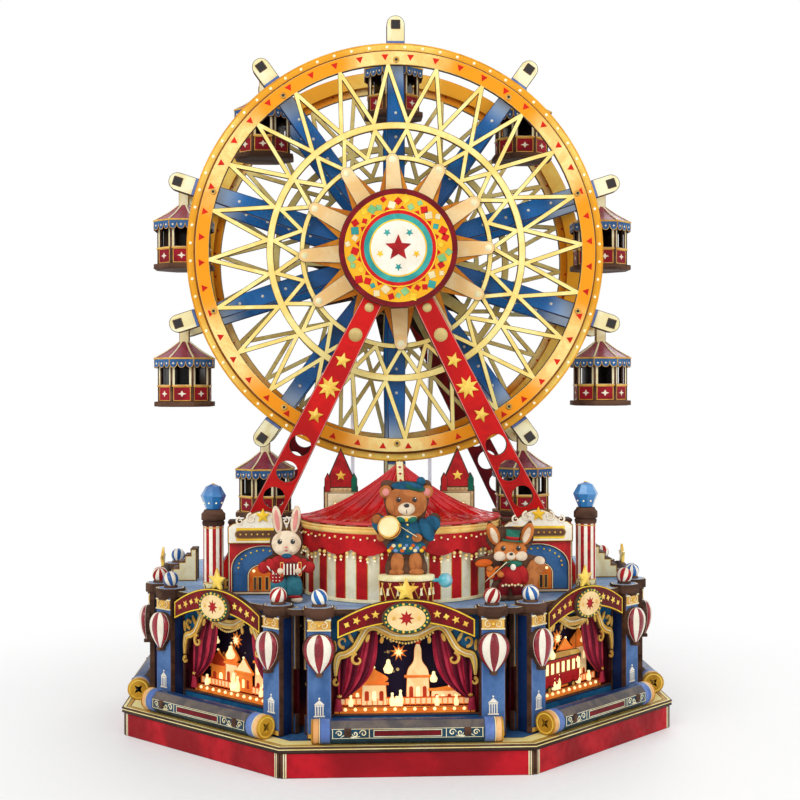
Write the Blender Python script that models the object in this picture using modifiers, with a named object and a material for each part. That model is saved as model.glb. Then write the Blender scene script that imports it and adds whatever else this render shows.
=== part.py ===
"""Ferris wheel music box: a double plywood wheel with ten gondolas over an octagonal theatre base.

The origin is the centre of the base's underside, +Z is up and the front faces -Y.
Each facade is modelled at the front and then turned about the vertical axis to its side.
"""
import math

import bmesh
import bpy
from mathutils import Matrix, Vector

# Sheet stock and clearances
PLY = 0.0025
GAP = 0.0003
EMBED = 0.0004
SHAFT_CLEARANCE = 0.0005
BOARD_CORNER_CLEARANCE = 0.0006
WORK_SCALE = 1000.0
MERGE = 0.000001

# Octagonal plinth
BASE_SIDE = 0.110
PLINTH_WALL_HEIGHT = 0.0107
PLINTH_WALL_INSET = 0.0010
FRONT_SIDES = (-90, -45, 0, 45, 90)
BACK_SIDES = (135, 180, 225)

# Deck over the theatres
DECK_APOTHEM = 0.118
BELT_SLOT_MARGIN = 0.0010
NOTCH_CLEARANCE = 0.0004

# Theatre fronts, with depths counted inward from the plinth's edge
FACADE_SETBACK = 0.0118
COLUMN_WIDTH = 0.0109
COLUMN_DEPTH = 0.0087
COLUMN_HEIGHT = 0.0527
COLUMN_SPACING = 0.0755
SILL_HEIGHT = 0.0112
HEADER_HEIGHT = 0.0085
CURTAIN_THICKNESS = 0.0022
CURTAIN_GAP_WIDTH = 0.040
CURTAIN_GAP_HEIGHT = 0.037
STAGE_DEPTH = 0.0070
CAP_RADIUS = 0.0072
CAP_THICKNESS = 0.0022
BALL_RADIUS = 0.0040
BALLOON_SIZE = (0.0138, 0.0060, 0.0185)
BALLOON_DROP = 0.0160

# Sign, medallion, star and swag of each theatre
SWAG_JOINT = 0.0005
MEDALLION_DROP = 0.0010
SIGN_BAND = 0.0100
SIGN_RISE = 0.0090
SIGN_TOP_ABOVE_DECK = 0.0047
MEDALLION_WIDTH = 0.0215
MEDALLION_HEIGHT = 0.0140
MEDALLION_THICKNESS = 0.0020
STAR_RADIUS = 0.0058
STAR_THICKNESS = 0.0020
SWAG_HEIGHT = 0.0075
SWAG_THICKNESS = 0.0020
SWAG_LOOPS = 4

# Scroll roller in front of each theatre
ROLLER_LENGTH = 0.0825
ROLLER_BODY_LENGTH = 0.0665
ROLLER_RADIUS = 0.0054
ROLLER_WAIST_RADIUS = 0.0046
ROLLER_CAP_LENGTH = 0.0030
ROLLER_RING_LENGTH = 0.0045

# Round tent on the deck
TENT_BACK_Y = -0.0600
TENT_RADIUS = 0.0460
TENT_WALL_HEIGHT = 0.0344
EAVE_HEIGHT = 0.0080
EAVE_THICKNESS = 0.0020
TENT_ROOF_HEIGHT = 0.0255
TENT_TIP_RADIUS = 0.0022
TENT_BOARD_PEAK = 0.0020
TENT_BOARD_MARGIN = 0.0010

# Castle board behind the tent
CASTLE_HALF_WIDTH = 0.084
CASTLE_HEIGHT = 0.0674
TOWER_X = 0.028
TOWER_WIDTH = 0.0165
TOWER_ROOF_HEIGHT = 0.0190
CASTLE_WALL_HEIGHT = 0.0344

# Booths, posts and stairs
BOOTH_GAP = 0.0017
BOOTH_Y = -0.0700
BOOTH_SIZE = (0.0328, 0.0100, 0.0344)
BOOTH_SIGN_HEIGHT = 0.0165
BOOTH_SIGN_RISE = 0.0060
POST_SPACING = 0.0234
POST_Y = -0.0710
POST_RADIUS = 0.0047
POST_HEIGHT = 0.0320
POST_CAP_RADIUS = 0.0056
POST_CAP_HEIGHT = 0.0074
LANTERN_RADIUS = 0.0060
LANTERN_HEIGHT = 0.0125
STAIR_X = 0.1000
STAIR_Y = -0.0200
STAIR_RISE = 0.0160
STAIR_RUN = 0.0150
STAIR_WIDTH = 0.0120
STAIR_STEPS = 4

# Figures on the deck
DRUM_SIZE = (0.0250, 0.0110, 0.0140)
DRUM_TENT_GAP = 0.0005
RABBIT_PLACE = (-0.0525, -0.0985)
FOX_PLACE = (0.0480, -0.0985)
BEAR_X = 0.0005
BEAR_HEIGHT = 0.0420
RABBIT_HEIGHT = 0.0430
FOX_HEIGHT = 0.0360

# Wheel, with radii from the axle
GONDOLA_DECK_CLEARANCE = 0.0082
AXLE_RADIUS = 0.0030
AXLE_SIDES = 12
WHEEL_PLATE_Y = 0.0320
RING_OUTER_RADIUS = 0.0995
RING_WIDTH = 0.0070
MIDDLE_RING_RADIUS = 0.0626
MIDDLE_RING_WIDTH = 0.0035
INNER_RING_RADIUS = 0.0467
INNER_RING_WIDTH = 0.0025
HUB_DISC_RADIUS = 0.0280
HUB_SPOKE_WIDTH = 0.0060
TRUSS_BAR_WIDTH = 0.0022
TRUSS_CELLS = 24
HUB_SPOKES = 12
TRUSS_START_DEG = 2.5
BAND_PROUD = 0.0045
BAND_WIDTH = 0.0080
HUB_BARREL_RADIUS = 0.0140
HUB_SPACER_RADIUS = 0.0270

# Gondola arms and gondolas
GONDOLAS = 10
ARM_HUB_RADIUS = 0.0240
ARM_PIVOT_RADIUS = 0.1140
ARM_WIDTH = 0.0090
ARM_THICKNESS = 0.0060
PIVOT_RADIUS = 0.0015
GONDOLA_ROD_REACH = 0.0040
HANGER_WIDTH = 0.0050
ROOF_APEX_DROP = 0.0070
EAVE_DROP = 0.0170
VALANCE_DROP = 0.0210
FLOOR_DROP = 0.0415
FLOOR_THICKNESS = 0.0025
CABIN_WALL_HEIGHT = 0.0080
EAVE_APOTHEM = 0.0150
CABIN_APOTHEM = 0.0130
WINDOW_WIDTH = 0.0072

# A-frames, bearings and badge
LEG_TOP_X = 0.0037
LEG_TOP_BELOW_AXLE = 0.0080
LEG_FOOT_X = 0.0820
LEG_TOP_WIDTH = 0.0092
LEG_FOOT_WIDTH = 0.0170
LEG_THICKNESS = 0.0040
LEG_HOLE_RADIUS = 0.0052
LEG_HOLES = (0.17, 0.29, 0.41)
LEG_HEAD_RADIUS = 0.0240
LEG_Y = 0.0460
BADGE_RADIUS = 0.0288

# Belt drive from the axle down to the movement
BELT_Y = 0.0388
PULLEY_RADIUS = 0.0200
PULLEY_FLANGE = 0.0020
PULLEY_RIM = 0.0007
BELT_WIDTH = 0.0028
BELT_THICKNESS = 0.0013

# Musical movement under the deck
MOVEMENT_Z = 0.0425
SHAFT_RADIUS = 0.0015
CYLINDER_RADIUS = 0.0070
CYLINDER_Y = (0.0500, 0.0850)
FRONT_UPRIGHT_Y = 0.0445
REAR_UPRIGHT_Y = 0.0880
UPRIGHT_HEIGHT = 0.0380
UPRIGHT_X = (-0.0250, 0.0380)
GEAR_RADIUS = 0.0128
GEAR_THICKNESS = 0.0025
GEAR_CLEARANCE = 0.0004
PINION_RADIUS = 0.0064
GOVERNOR_DROP = 0.0090
FAN_RADIUS = 0.0070
FAN_LENGTH = 0.0200
BARREL_RADIUS = 0.0110
BARREL_Y = (0.0520, 0.0800)
COMB_Y = (0.0520, 0.0830)
COMB_X = (-0.0340, -0.0060)
COMB_RISE = 0.0076
COMB_TEETH = 12
COMB_BLOCK_WIDTH = 0.0068
BEDPLATE_Y = (0.0340, 0.1000)
KEY_HANDLE_Y = 0.1225
KEY_WING = 0.0090


# Values that follow from the sizes above
def octagon_apothem(side):
    """Distance from the centre of an octagon to the middle of a side."""
    return side * (1 + math.sqrt(2)) / 2


HALF_SIDE_RATIO = math.tan(math.pi / 8)
BASE_APOTHEM = octagon_apothem(BASE_SIDE)
FLOOR_Z = PLINTH_WALL_HEIGHT + GAP + PLY
STAND_Z = FLOOR_Z + GAP
COLUMN_TOP = STAND_Z + COLUMN_HEIGHT
DECK_BOTTOM = COLUMN_TOP + GAP
DECK_TOP = DECK_BOTTOM + PLY
DECK_STAND = DECK_TOP + GAP
COLUMN_FRONT = BASE_APOTHEM - FACADE_SETBACK
COLUMN_BACK = COLUMN_FRONT - COLUMN_DEPTH
PROSCENIUM_FRONT = COLUMN_BACK - GAP
AXLE_Z = DECK_TOP + GONDOLA_DECK_CLEARANCE + FLOOR_DROP + ARM_PIVOT_RADIUS
CURTAIN_FRONT = PROSCENIUM_FRONT - PLY - GAP
RING_INNER_RADIUS = RING_OUTER_RADIUS - RING_WIDTH
BAND_OUTER_RADIUS = RING_OUTER_RADIUS + BAND_PROUD
BAND_INNER_RADIUS = BAND_OUTER_RADIUS - BAND_WIDTH
BACKDROP_FRONT = CURTAIN_FRONT - CURTAIN_THICKNESS - STAGE_DEPTH
ROLLER_CENTRE = (COLUMN_FRONT + BASE_APOTHEM) / 2
COLUMN_INNER = (COLUMN_SPACING - COLUMN_WIDTH) / 2
SIGN_BACK = DECK_APOTHEM + GAP
SIGN_FRONT = SIGN_BACK + PLY
SIGN_TOP = DECK_TOP + SIGN_TOP_ABOVE_DECK
TENT_TOP = DECK_STAND + TENT_WALL_HEIGHT
BOOTH_X = TENT_RADIUS + BOOTH_GAP + BOOTH_SIZE[0] / 2
POST_X = BOOTH_X + POST_SPACING
DRUM_Y = TENT_BACK_Y - TENT_RADIUS - DRUM_TENT_GAP - DRUM_SIZE[1] / 2
CASTLE_FRONT_Y = TENT_BACK_Y + PLY + GAP
BAND_Y = WHEEL_PLATE_Y - GAP - PLY
ARM_Y = BAND_Y - GAP - ARM_THICKNESS
GONDOLA_ROD_HALF = ARM_Y + GONDOLA_ROD_REACH
BADGE_Y = LEG_Y + LEG_THICKNESS + GAP
BARREL_X = 2 * GEAR_RADIUS + GEAR_CLEARANCE
GEAR_Y = REAR_UPRIGHT_Y + PLY + 2 * GAP
BEDPLATE_TOP = STAND_Z + PLY
GOVERNOR_X = -math.sqrt((GEAR_RADIUS + PINION_RADIUS + GEAR_CLEARANCE) ** 2 - GOVERNOR_DROP ** 2)
PULLEY_HALF = BELT_WIDTH / 2 + GAP + PULLEY_RIM


# Flat outlines, as lists of points
def ring_points(radius, count, start=0.0):
    """Points spaced evenly on a circle, from the angle start."""
    step = 2 * math.pi / count
    return [(radius * math.cos(start + i * step), radius * math.sin(start + i * step)) for i in range(count)]


def octagon(apothem):
    """Corners of an octagon whose sides face the axes."""
    return ring_points(apothem / math.cos(math.pi / 8), 8, math.pi / 8)


def arc(radius, start_deg, end_deg, steps, centre=(0.0, 0.0)):
    """Points along an arc, both ends included."""
    angles = [math.radians(start_deg + (end_deg - start_deg) * i / steps) for i in range(steps + 1)]
    return [(centre[0] + radius * math.cos(a), centre[1] + radius * math.sin(a)) for a in angles]


def rectangle(x0, x1, y0, y1):
    """Corners of a rectangle."""
    return [(x0, y0), (x1, y0), (x1, y1), (x0, y1)]


def mirrored(half):
    """A closed outline from its right half, listed from the bottom centre to the top centre."""
    left = [(-x, y) for x, y in reversed(half) if x > 0]
    return half + left


def star_points(radius, points=5, inner=0.45):
    """Corners of a star with one point straight up."""
    corners = []
    for i in range(2 * points):
        reach = radius if i % 2 == 0 else radius * inner
        angle = math.pi / 2 + math.pi * i / points
        corners.append((reach * math.cos(angle), reach * math.sin(angle)))
    return corners


def polar(radius, degrees):
    """A point at a radius and an angle in degrees."""
    angle = math.radians(degrees)
    return Vector((radius * math.cos(angle), radius * math.sin(angle)))


def inset_triangle(corners, insets):
    """A triangle whose sides, each from one corner to the next, move inward by their own distance."""
    middle = sum(corners, Vector((0.0, 0.0))) / 3
    lines = []
    for i, inset in enumerate(insets):
        start, end = corners[i], corners[(i + 1) % 3]
        along = (end - start).normalized()
        normal = Vector((-along.y, along.x))
        if normal.dot(middle - start) < 0:
            normal.negate()
        lines.append((start + normal * inset, along))
    moved = []
    for i in range(3):
        (p, u), (q, v) = lines[i - 1], lines[i]
        cross = u.x * v.y - u.y * v.x
        shift = ((q - p).x * v.y - (q - p).y * v.x) / cross
        corner = p + u * shift
        moved.append((corner.x, corner.y))
    return moved


def octagon_strip(outer, thickness, first_corner, sides):
    """Outline of a bent wall that follows some sides of the octagon, from a corner given in degrees."""
    corners = [math.radians(first_corner + 45 * i) for i in range(sides + 1)]
    far = outer / math.cos(math.pi / 8)
    near = (outer - thickness) / math.cos(math.pi / 8)
    outline = [(far * math.cos(a), far * math.sin(a)) for a in corners]
    return outline + [(near * math.cos(a), near * math.sin(a)) for a in reversed(corners)]


# Meshes
def new_mesh(bm, name="piece"):
    """Turns a bmesh into a mesh and frees it."""
    mesh = bpy.data.meshes.new(name)
    bm.to_mesh(mesh)
    bm.free()
    return mesh


def evaluated_mesh(guide):
    """The mesh of a guide object with its modifiers applied; the guide is removed."""
    bpy.context.scene.collection.objects.link(guide)
    depsgraph = bpy.context.evaluated_depsgraph_get()
    mesh = bpy.data.meshes.new_from_object(guide.evaluated_get(depsgraph))
    bpy.data.objects.remove(guide)
    return mesh


def sheet(loops, thickness):
    """A flat sheet in the XY plane, centred on z = 0; the loops after the first are holes."""
    curve = bpy.data.curves.new("outline", "CURVE")
    curve.dimensions = "2D"
    curve.fill_mode = "BOTH"
    curve.extrude = thickness / 2 * WORK_SCALE
    for loop in loops:
        spline = curve.splines.new("POLY")
        spline.points.add(len(loop) - 1)
        for point, place in zip(spline.points, loop):
            point.co = (place[0] * WORK_SCALE, place[1] * WORK_SCALE, 0.0, 1.0)
        spline.use_cyclic_u = True
    mesh = evaluated_mesh(bpy.data.objects.new("outline", curve))
    bm = bmesh.new()
    bm.from_mesh(mesh)
    bmesh.ops.scale(bm, vec=(1 / WORK_SCALE,) * 3, verts=bm.verts)
    bmesh.ops.remove_doubles(bm, verts=bm.verts, dist=MERGE)
    bmesh.ops.recalc_face_normals(bm, faces=bm.faces)
    return new_mesh(bm, "sheet")


def box(size, centre):
    """A box from its size and centre."""
    bm = bmesh.new()
    bmesh.ops.create_cube(bm, size=1.0)
    bmesh.ops.scale(bm, vec=size, verts=bm.verts)
    bmesh.ops.translate(bm, vec=centre, verts=bm.verts)
    return new_mesh(bm, "box")


def cylinder(radius, length, sides, centre=(0.0, 0.0, 0.0)):
    """A cylinder along Z from its radius, length and centre, with a flat side facing -Y."""
    bm = bmesh.new()
    bmesh.ops.create_cone(bm, cap_ends=True, segments=sides, radius1=radius, radius2=radius, depth=length)
    bmesh.ops.rotate(bm, matrix=Matrix.Rotation(math.pi / sides, 3, "Z"), verts=bm.verts)
    bmesh.ops.translate(bm, vec=centre, verts=bm.verts)
    return new_mesh(bm, "cylinder")


def ball(size, segments, rings):
    """A ball or a swollen disc from its three diameters."""
    bm = bmesh.new()
    bmesh.ops.create_uvsphere(bm, u_segments=segments, v_segments=rings, radius=0.5)
    bmesh.ops.scale(bm, vec=size, verts=bm.verts)
    return new_mesh(bm, "ball")


def turned(profile, sides, closed=False):
    """A shape turned about Z from (radius, height) points, listed down its outer side."""
    bm = bmesh.new()
    corners = [bm.verts.new((radius, 0.0, height)) for radius, height in profile]
    for start, end in zip(corners, corners[1:]):
        bm.edges.new((start, end))
    if closed:
        bm.edges.new((corners[-1], corners[0]))
    guide = bpy.data.objects.new("profile", new_mesh(bm, "profile"))
    screw = guide.modifiers.new("turn", "SCREW")
    screw.steps = sides
    screw.render_steps = sides
    screw.use_merge_vertices = True
    screw.merge_threshold = MERGE
    mesh = evaluated_mesh(guide)
    bm = bmesh.new()
    bm.from_mesh(mesh)
    bmesh.ops.remove_doubles(bm, verts=bm.verts, dist=MERGE)
    bmesh.ops.recalc_face_normals(bm, faces=bm.faces)
    return new_mesh(bm, "turned")


def combined(base, other, operation, solver="EXACT"):
    """The Boolean union or difference of two meshes, worked at millimetre scale."""
    larger = Matrix.Scale(WORK_SCALE, 4)
    guide = bpy.data.objects.new("base", moved(base, larger))
    tool = bpy.data.objects.new("tool", moved(other, larger))
    tool.hide_render = True
    tool.display_type = "WIRE"
    cutters.objects.link(tool)
    boolean = guide.modifiers.new("cut", "BOOLEAN")
    boolean.solver = solver
    boolean.operation = operation
    boolean.object = tool
    mesh = evaluated_mesh(guide)
    bpy.data.objects.remove(tool)
    bm = bmesh.new()
    bm.from_mesh(mesh)
    bmesh.ops.scale(bm, vec=(1 / WORK_SCALE,) * 3, verts=bm.verts)
    return new_mesh(bm, "combined")


def union(meshes, solver="EXACT"):
    """One mesh from several that overlap a little."""
    whole = meshes[0]
    for mesh in meshes[1:]:
        whole = combined(whole, mesh, "UNION", solver)
    return whole


def moved(mesh, matrix):
    """A copy of a mesh at another place."""
    copy = mesh.copy()
    copy.transform(matrix)
    return copy


# Placing
def upright(y_near, y_far):
    """Turns a sheet drawn in XY so that it stands between two planes facing Y."""
    return Matrix.Translation((0.0, (y_near + y_far) / 2, 0.0)) @ Matrix.Rotation(math.pi / 2, 4, "X")


def standing_sheet(loops, y_near, y_far):
    """A sheet whose outline is drawn in X and Z, between two planes facing Y."""
    return moved(sheet(loops, abs(y_far - y_near)), upright(y_near, y_far))


def lying_sheet(loops, z_low, z_high):
    """A sheet whose outline is drawn in X and Y, between two heights."""
    return moved(sheet(loops, z_high - z_low), Matrix.Translation((0.0, 0.0, (z_low + z_high) / 2)))


def along_y(mesh, x=0.0, z=0.0):
    """Turns a mesh made along Z so that its +Z points along +Y, at a place in X and Z."""
    return moved(mesh, Matrix.Translation((x, 0.0, z)) @ Matrix.Rotation(-math.pi / 2, 4, "X"))


def on_side(mesh, side):
    """A copy of a front piece on another side of the octagon, given in degrees."""
    return moved(mesh, Matrix.Rotation(math.radians(side), 4, "Z"))


def left_and_right(mesh):
    """A mesh and its mirror image across x = 0."""
    bm = bmesh.new()
    bm.from_mesh(mesh)
    bmesh.ops.scale(bm, vec=(-1.0, 1.0, 1.0), verts=bm.verts)
    bmesh.ops.reverse_faces(bm, faces=bm.faces)
    return [mesh, new_mesh(bm, "mirror")]


def front_and_rear(mesh):
    """A mesh and its mirror image across y = 0."""
    bm = bmesh.new()
    bm.from_mesh(mesh)
    bmesh.ops.scale(bm, vec=(1.0, -1.0, 1.0), verts=bm.verts)
    bmesh.ops.reverse_faces(bm, faces=bm.faces)
    return [mesh, new_mesh(bm, "mirror")]


def material(name, colour, roughness, metallic=0.0):
    """A plain finish."""
    finish = bpy.data.materials.get(name) or bpy.data.materials.new(name)
    finish.use_nodes = True
    shader = finish.node_tree.nodes["Principled BSDF"]
    shader.inputs["Base Color"].default_value = (*colour, 1.0)
    shader.inputs["Roughness"].default_value = roughness
    shader.inputs["Metallic"].default_value = metallic
    return finish


def add_part(name, mesh, finish, parent=None, smooth=False):
    """One named object from one closed mesh, with a finish given by colour, roughness and metallic value."""
    bm = bmesh.new()
    bm.from_mesh(mesh)
    bmesh.ops.triangulate(bm, faces=bm.faces)
    mesh = new_mesh(bm, name)
    if smooth:
        mesh.shade_smooth()
        mesh.set_sharp_from_angle(angle=math.radians(35))
    mesh.materials.append(material(name + "_finish", *finish))
    part = bpy.data.objects.new(name, mesh)
    part.parent = parent
    parts.objects.link(part)
    return part


def add_on_sides(name, mesh, finish):
    """The same piece at each theatre, numbered from the left side round to the right."""
    for number, side in enumerate(FRONT_SIDES, start=1):
        add_part(f"{name}_{number}", on_side(mesh, side), finish)


def add_pair(name, mesh, finish, smooth=False):
    """A piece on the right and its mirror image on the left."""
    right, left = left_and_right(mesh)
    add_part(name + "_right", right, finish, smooth=smooth)
    add_part(name + "_left", left, finish, smooth=smooth)


def add_axis(name, place):
    """An empty on a joint's axis, for the pieces that turn about it."""
    empty = bpy.data.objects.new(name, None)
    empty.empty_display_size = 0.01
    empty.location = place
    parts.objects.link(empty)
    return empty


# Base
def build_plinth():
    """Bottom plate, eight-sided wall and the stepped top plate."""
    wall_outer = BASE_APOTHEM - PLINTH_WALL_INSET
    wall_inner = wall_outer - PLY
    bottom = lying_sheet([octagon(wall_inner - GAP)], 0.0, PLY)
    add_part("bottom_plate", bottom, ((0.45, 0.28, 0.14), 0.7))
    walls = lying_sheet([octagon(wall_outer), octagon(wall_inner)], 0.0, PLINTH_WALL_HEIGHT)
    add_part("plinth_walls", walls, ((0.42, 0.01, 0.02), 0.5))
    top = lying_sheet([octagon(BASE_APOTHEM)], PLINTH_WALL_HEIGHT + GAP, FLOOR_Z)
    add_part("plinth_top_plate", top, ((0.93, 0.80, 0.40), 0.5))


def deck_outline():
    """The deck's octagon, notched where the theatre columns pass."""
    inner = COLUMN_INNER - NOTCH_CLEARANCE
    outer = COLUMN_INNER + COLUMN_WIDTH + NOTCH_CLEARANCE
    depth = COLUMN_BACK - NOTCH_CLEARANCE
    edge = [(-outer, -DECK_APOTHEM), (-outer, -depth), (-inner, -depth), (-inner, -DECK_APOTHEM)]
    edge += [(-x, y) for x, y in reversed(edge)]
    outline = []
    for side in (*FRONT_SIDES, *BACK_SIDES):
        turn = Matrix.Rotation(math.radians(side), 2)
        corner = Vector((-DECK_APOTHEM * HALF_SIDE_RATIO, -DECK_APOTHEM))
        points = [corner] + ([Vector(point) for point in edge] if side in FRONT_SIDES else [])
        outline += [tuple(turn @ point) for point in points]
    return outline


def build_deck():
    """Deck plate with a slot for each run of the belt, and the flights of steps on it."""
    slot_inner = PULLEY_RADIUS + GAP - BELT_SLOT_MARGIN
    slot_outer = PULLEY_RADIUS + GAP + BELT_THICKNESS + BELT_SLOT_MARGIN
    slot_half = BELT_WIDTH / 2 + BELT_SLOT_MARGIN
    slots = [rectangle(side * slot_inner, side * slot_outer, BELT_Y - slot_half, BELT_Y + slot_half)
             for side in (-1, 1)]
    deck = lying_sheet([deck_outline(), *slots], DECK_BOTTOM, DECK_TOP)
    foot = DECK_TOP - EMBED
    outline = [(STAIR_X, foot)]
    for step in range(STAIR_STEPS):
        height = DECK_TOP + STAIR_RISE * (STAIR_STEPS - step) / STAIR_STEPS
        outline.append((STAIR_X + STAIR_RUN * step / STAIR_STEPS, height))
        outline.append((STAIR_X + STAIR_RUN * (step + 1) / STAIR_STEPS, height))
    outline.append((STAIR_X + STAIR_RUN, foot))
    stair = standing_sheet([outline], STAIR_Y - STAIR_WIDTH / 2, STAIR_Y + STAIR_WIDTH / 2)
    add_part("deck_plate", union([deck, *left_and_right(stair)], "MANIFOLD"), ((0.10, 0.25, 0.48), 0.5))


def build_back_wall():
    """Wall that closes the three rear sides, with the key's hole in its middle."""
    wall = lying_sheet([octagon_strip(DECK_APOTHEM, PLY, 22.5, 3)], STAND_Z, COLUMN_TOP)
    hole = cylinder(SHAFT_RADIUS + SHAFT_CLEARANCE, 4 * PLY, 12, (0.0, 0.0, DECK_APOTHEM))
    wall = combined(wall, along_y(hole, BARREL_X, MOVEMENT_Z), "DIFFERENCE")
    add_part("back_wall", wall, ((0.42, 0.02, 0.02), 0.5))


def build_stages():
    """Curtains round the five stages and the backdrop behind them."""
    back = CURTAIN_FRONT - CURTAIN_THICKNESS
    curtains = lying_sheet([octagon_strip(CURTAIN_FRONT, CURTAIN_THICKNESS, 157.5, 5)], STAND_Z, COLUMN_TOP)
    half = CURTAIN_GAP_WIDTH / 2
    top = STAND_Z + CURTAIN_GAP_HEIGHT
    tie_z = STAND_Z + CURTAIN_GAP_HEIGHT / 2
    opening = [(0.0, STAND_Z - PLY), (half, STAND_Z - PLY), (1.3 * half, tie_z)]
    opening += arc(half / 2, -10, 180, 4, (half / 2, top - half / 2))
    cutter = standing_sheet([mirrored(opening)], -CURTAIN_FRONT - PLY, -back + PLY)
    for side in FRONT_SIDES:
        curtains = combined(curtains, on_side(cutter, side), "DIFFERENCE")
    add_part("stage_curtains", curtains, ((0.26, 0.01, 0.04), 0.8))
    board = lying_sheet([octagon_strip(BACKDROP_FRONT, PLY, 157.5, 5)], STAND_Z, COLUMN_TOP)
    add_part("backdrop", board, ((0.30, 0.52, 0.70), 0.6))


def swag_mesh():
    """Carved swag with a row of loops along its lower edge, below the header."""
    top = COLUMN_TOP - HEADER_HEIGHT + SWAG_HEIGHT / 3
    half = COLUMN_INNER + SWAG_JOINT
    edge = [(half, top), (-half, top)]
    loop_width = 2 * half / SWAG_LOOPS
    for loop in range(SWAG_LOOPS):
        for step in range(3):
            share = step / 3
            dip = SWAG_HEIGHT * (0.45 + 0.55 * math.sin(math.pi * share))
            edge.append((-half + loop_width * (loop + share), top - dip))
    edge.append((half, top - 0.45 * SWAG_HEIGHT))
    return standing_sheet([edge], -COLUMN_BACK - EMBED - SWAG_THICKNESS, -COLUMN_BACK)


def build_fronts():
    """Theatre fronts: sill and header boards, swag, and two columns with caps, balls and balloons."""
    inner = PROSCENIUM_FRONT - PLY
    half = inner * HALF_SIDE_RATIO - BOARD_CORNER_CLEARANCE
    board_y = -COLUMN_BACK - EMBED
    sill = standing_sheet([rectangle(-half, half, STAND_Z, STAND_Z + SILL_HEIGHT)], board_y, -inner)
    header = standing_sheet([rectangle(-half, half, COLUMN_TOP - HEADER_HEIGHT, COLUMN_TOP)], board_y, -inner)
    pieces = [sill, header, swag_mesh()]
    middle_y = -(COLUMN_FRONT + COLUMN_BACK) / 2
    height = DECK_STAND + EMBED - STAND_Z
    cap_top = DECK_STAND + CAP_THICKNESS
    for x in (-COLUMN_SPACING / 2, COLUMN_SPACING / 2):
        pieces.append(box((COLUMN_WIDTH, COLUMN_DEPTH, height), (x, middle_y, STAND_Z + height / 2)))
        pieces.append(cylinder(CAP_RADIUS, CAP_THICKNESS, 8, (x, middle_y, (DECK_STAND + cap_top) / 2)))
        place = Matrix.Translation((x, middle_y, cap_top + BALL_RADIUS - EMBED))
        pieces.append(moved(ball((2 * BALL_RADIUS,) * 3, 6, 4), place))
        place = Matrix.Translation((x, -COLUMN_FRONT + EMBED - BALLOON_SIZE[1] / 2, COLUMN_TOP - BALLOON_DROP))
        pieces.append(moved(ball(BALLOON_SIZE, 6, 4), place))
    add_on_sides("theatre_front", union(pieces, "MANIFOLD"), ((0.07, 0.16, 0.40), 0.5))


def build_signs():
    """Arched sign of each theatre, with its oval medallion and star."""
    half = COLUMN_INNER - GAP
    xs = [half * (1 - 2 * i / 6) for i in range(7)]
    top = [(x, SIGN_TOP - SIGN_RISE * (x / half) ** 2) for x in xs]
    low = [(x, SIGN_TOP - SIGN_BAND - (SIGN_RISE - SIGN_BAND / 5) * (x / half) ** 2) for x in reversed(xs)]
    sign = standing_sheet([top + low], -SIGN_FRONT, -SIGN_BACK)
    medallion_z = SIGN_TOP - MEDALLION_DROP - MEDALLION_HEIGHT / 2
    oval = [(x * MEDALLION_WIDTH / 2, medallion_z + z * MEDALLION_HEIGHT / 2) for x, z in ring_points(1.0, 14)]
    front = SIGN_FRONT - EMBED
    medallion = standing_sheet([oval], -front - MEDALLION_THICKNESS, -front)
    star_z = SIGN_TOP - 2 * EMBED + STAR_RADIUS * math.sin(math.radians(54))
    outline = [(x, z + star_z) for x, z in star_points(STAR_RADIUS)]
    star = standing_sheet([outline], -SIGN_BACK - STAR_THICKNESS, -SIGN_BACK - EMBED)
    add_on_sides("sign_board", union([sign, medallion, star], "MANIFOLD"), ((0.16, 0.01, 0.01), 0.5))


def build_rollers():
    """Eight-sided scroll roller lying in front of each theatre."""
    half = ROLLER_LENGTH / 2
    cap = half - ROLLER_CAP_LENGTH
    body = ROLLER_BODY_LENGTH / 2
    ring = body - ROLLER_RING_LENGTH
    profile = [(0.0, half), (ROLLER_RADIUS, half), (ROLLER_RADIUS, cap), (ROLLER_WAIST_RADIUS, cap),
               (ROLLER_WAIST_RADIUS, body), (ROLLER_RADIUS, body), (ROLLER_RADIUS, ring)]
    below = [(radius, -height) for radius, height in reversed(profile)]
    lift = STAND_Z + ROLLER_RADIUS * math.cos(math.pi / 8)
    place = Matrix.Translation((0.0, -ROLLER_CENTRE, lift)) @ Matrix.Rotation(math.pi / 2, 4, "Y")
    place = place @ Matrix.Rotation(math.pi / 8, 4, "Z")
    roller = moved(turned(profile + below, 8), place)
    add_on_sides("scroll_roller", roller, ((0.02, 0.10, 0.14), 0.4))


# Deck scenery
def half_ring(outer, inner, steps):
    """Outline of a half ring whose ends sink a little into the tent's backboard."""
    centre = (0.0, TENT_BACK_Y + EMBED)
    return arc(outer, 180, 360, steps, centre) + arc(inner, 360, 180, steps, centre)


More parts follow.
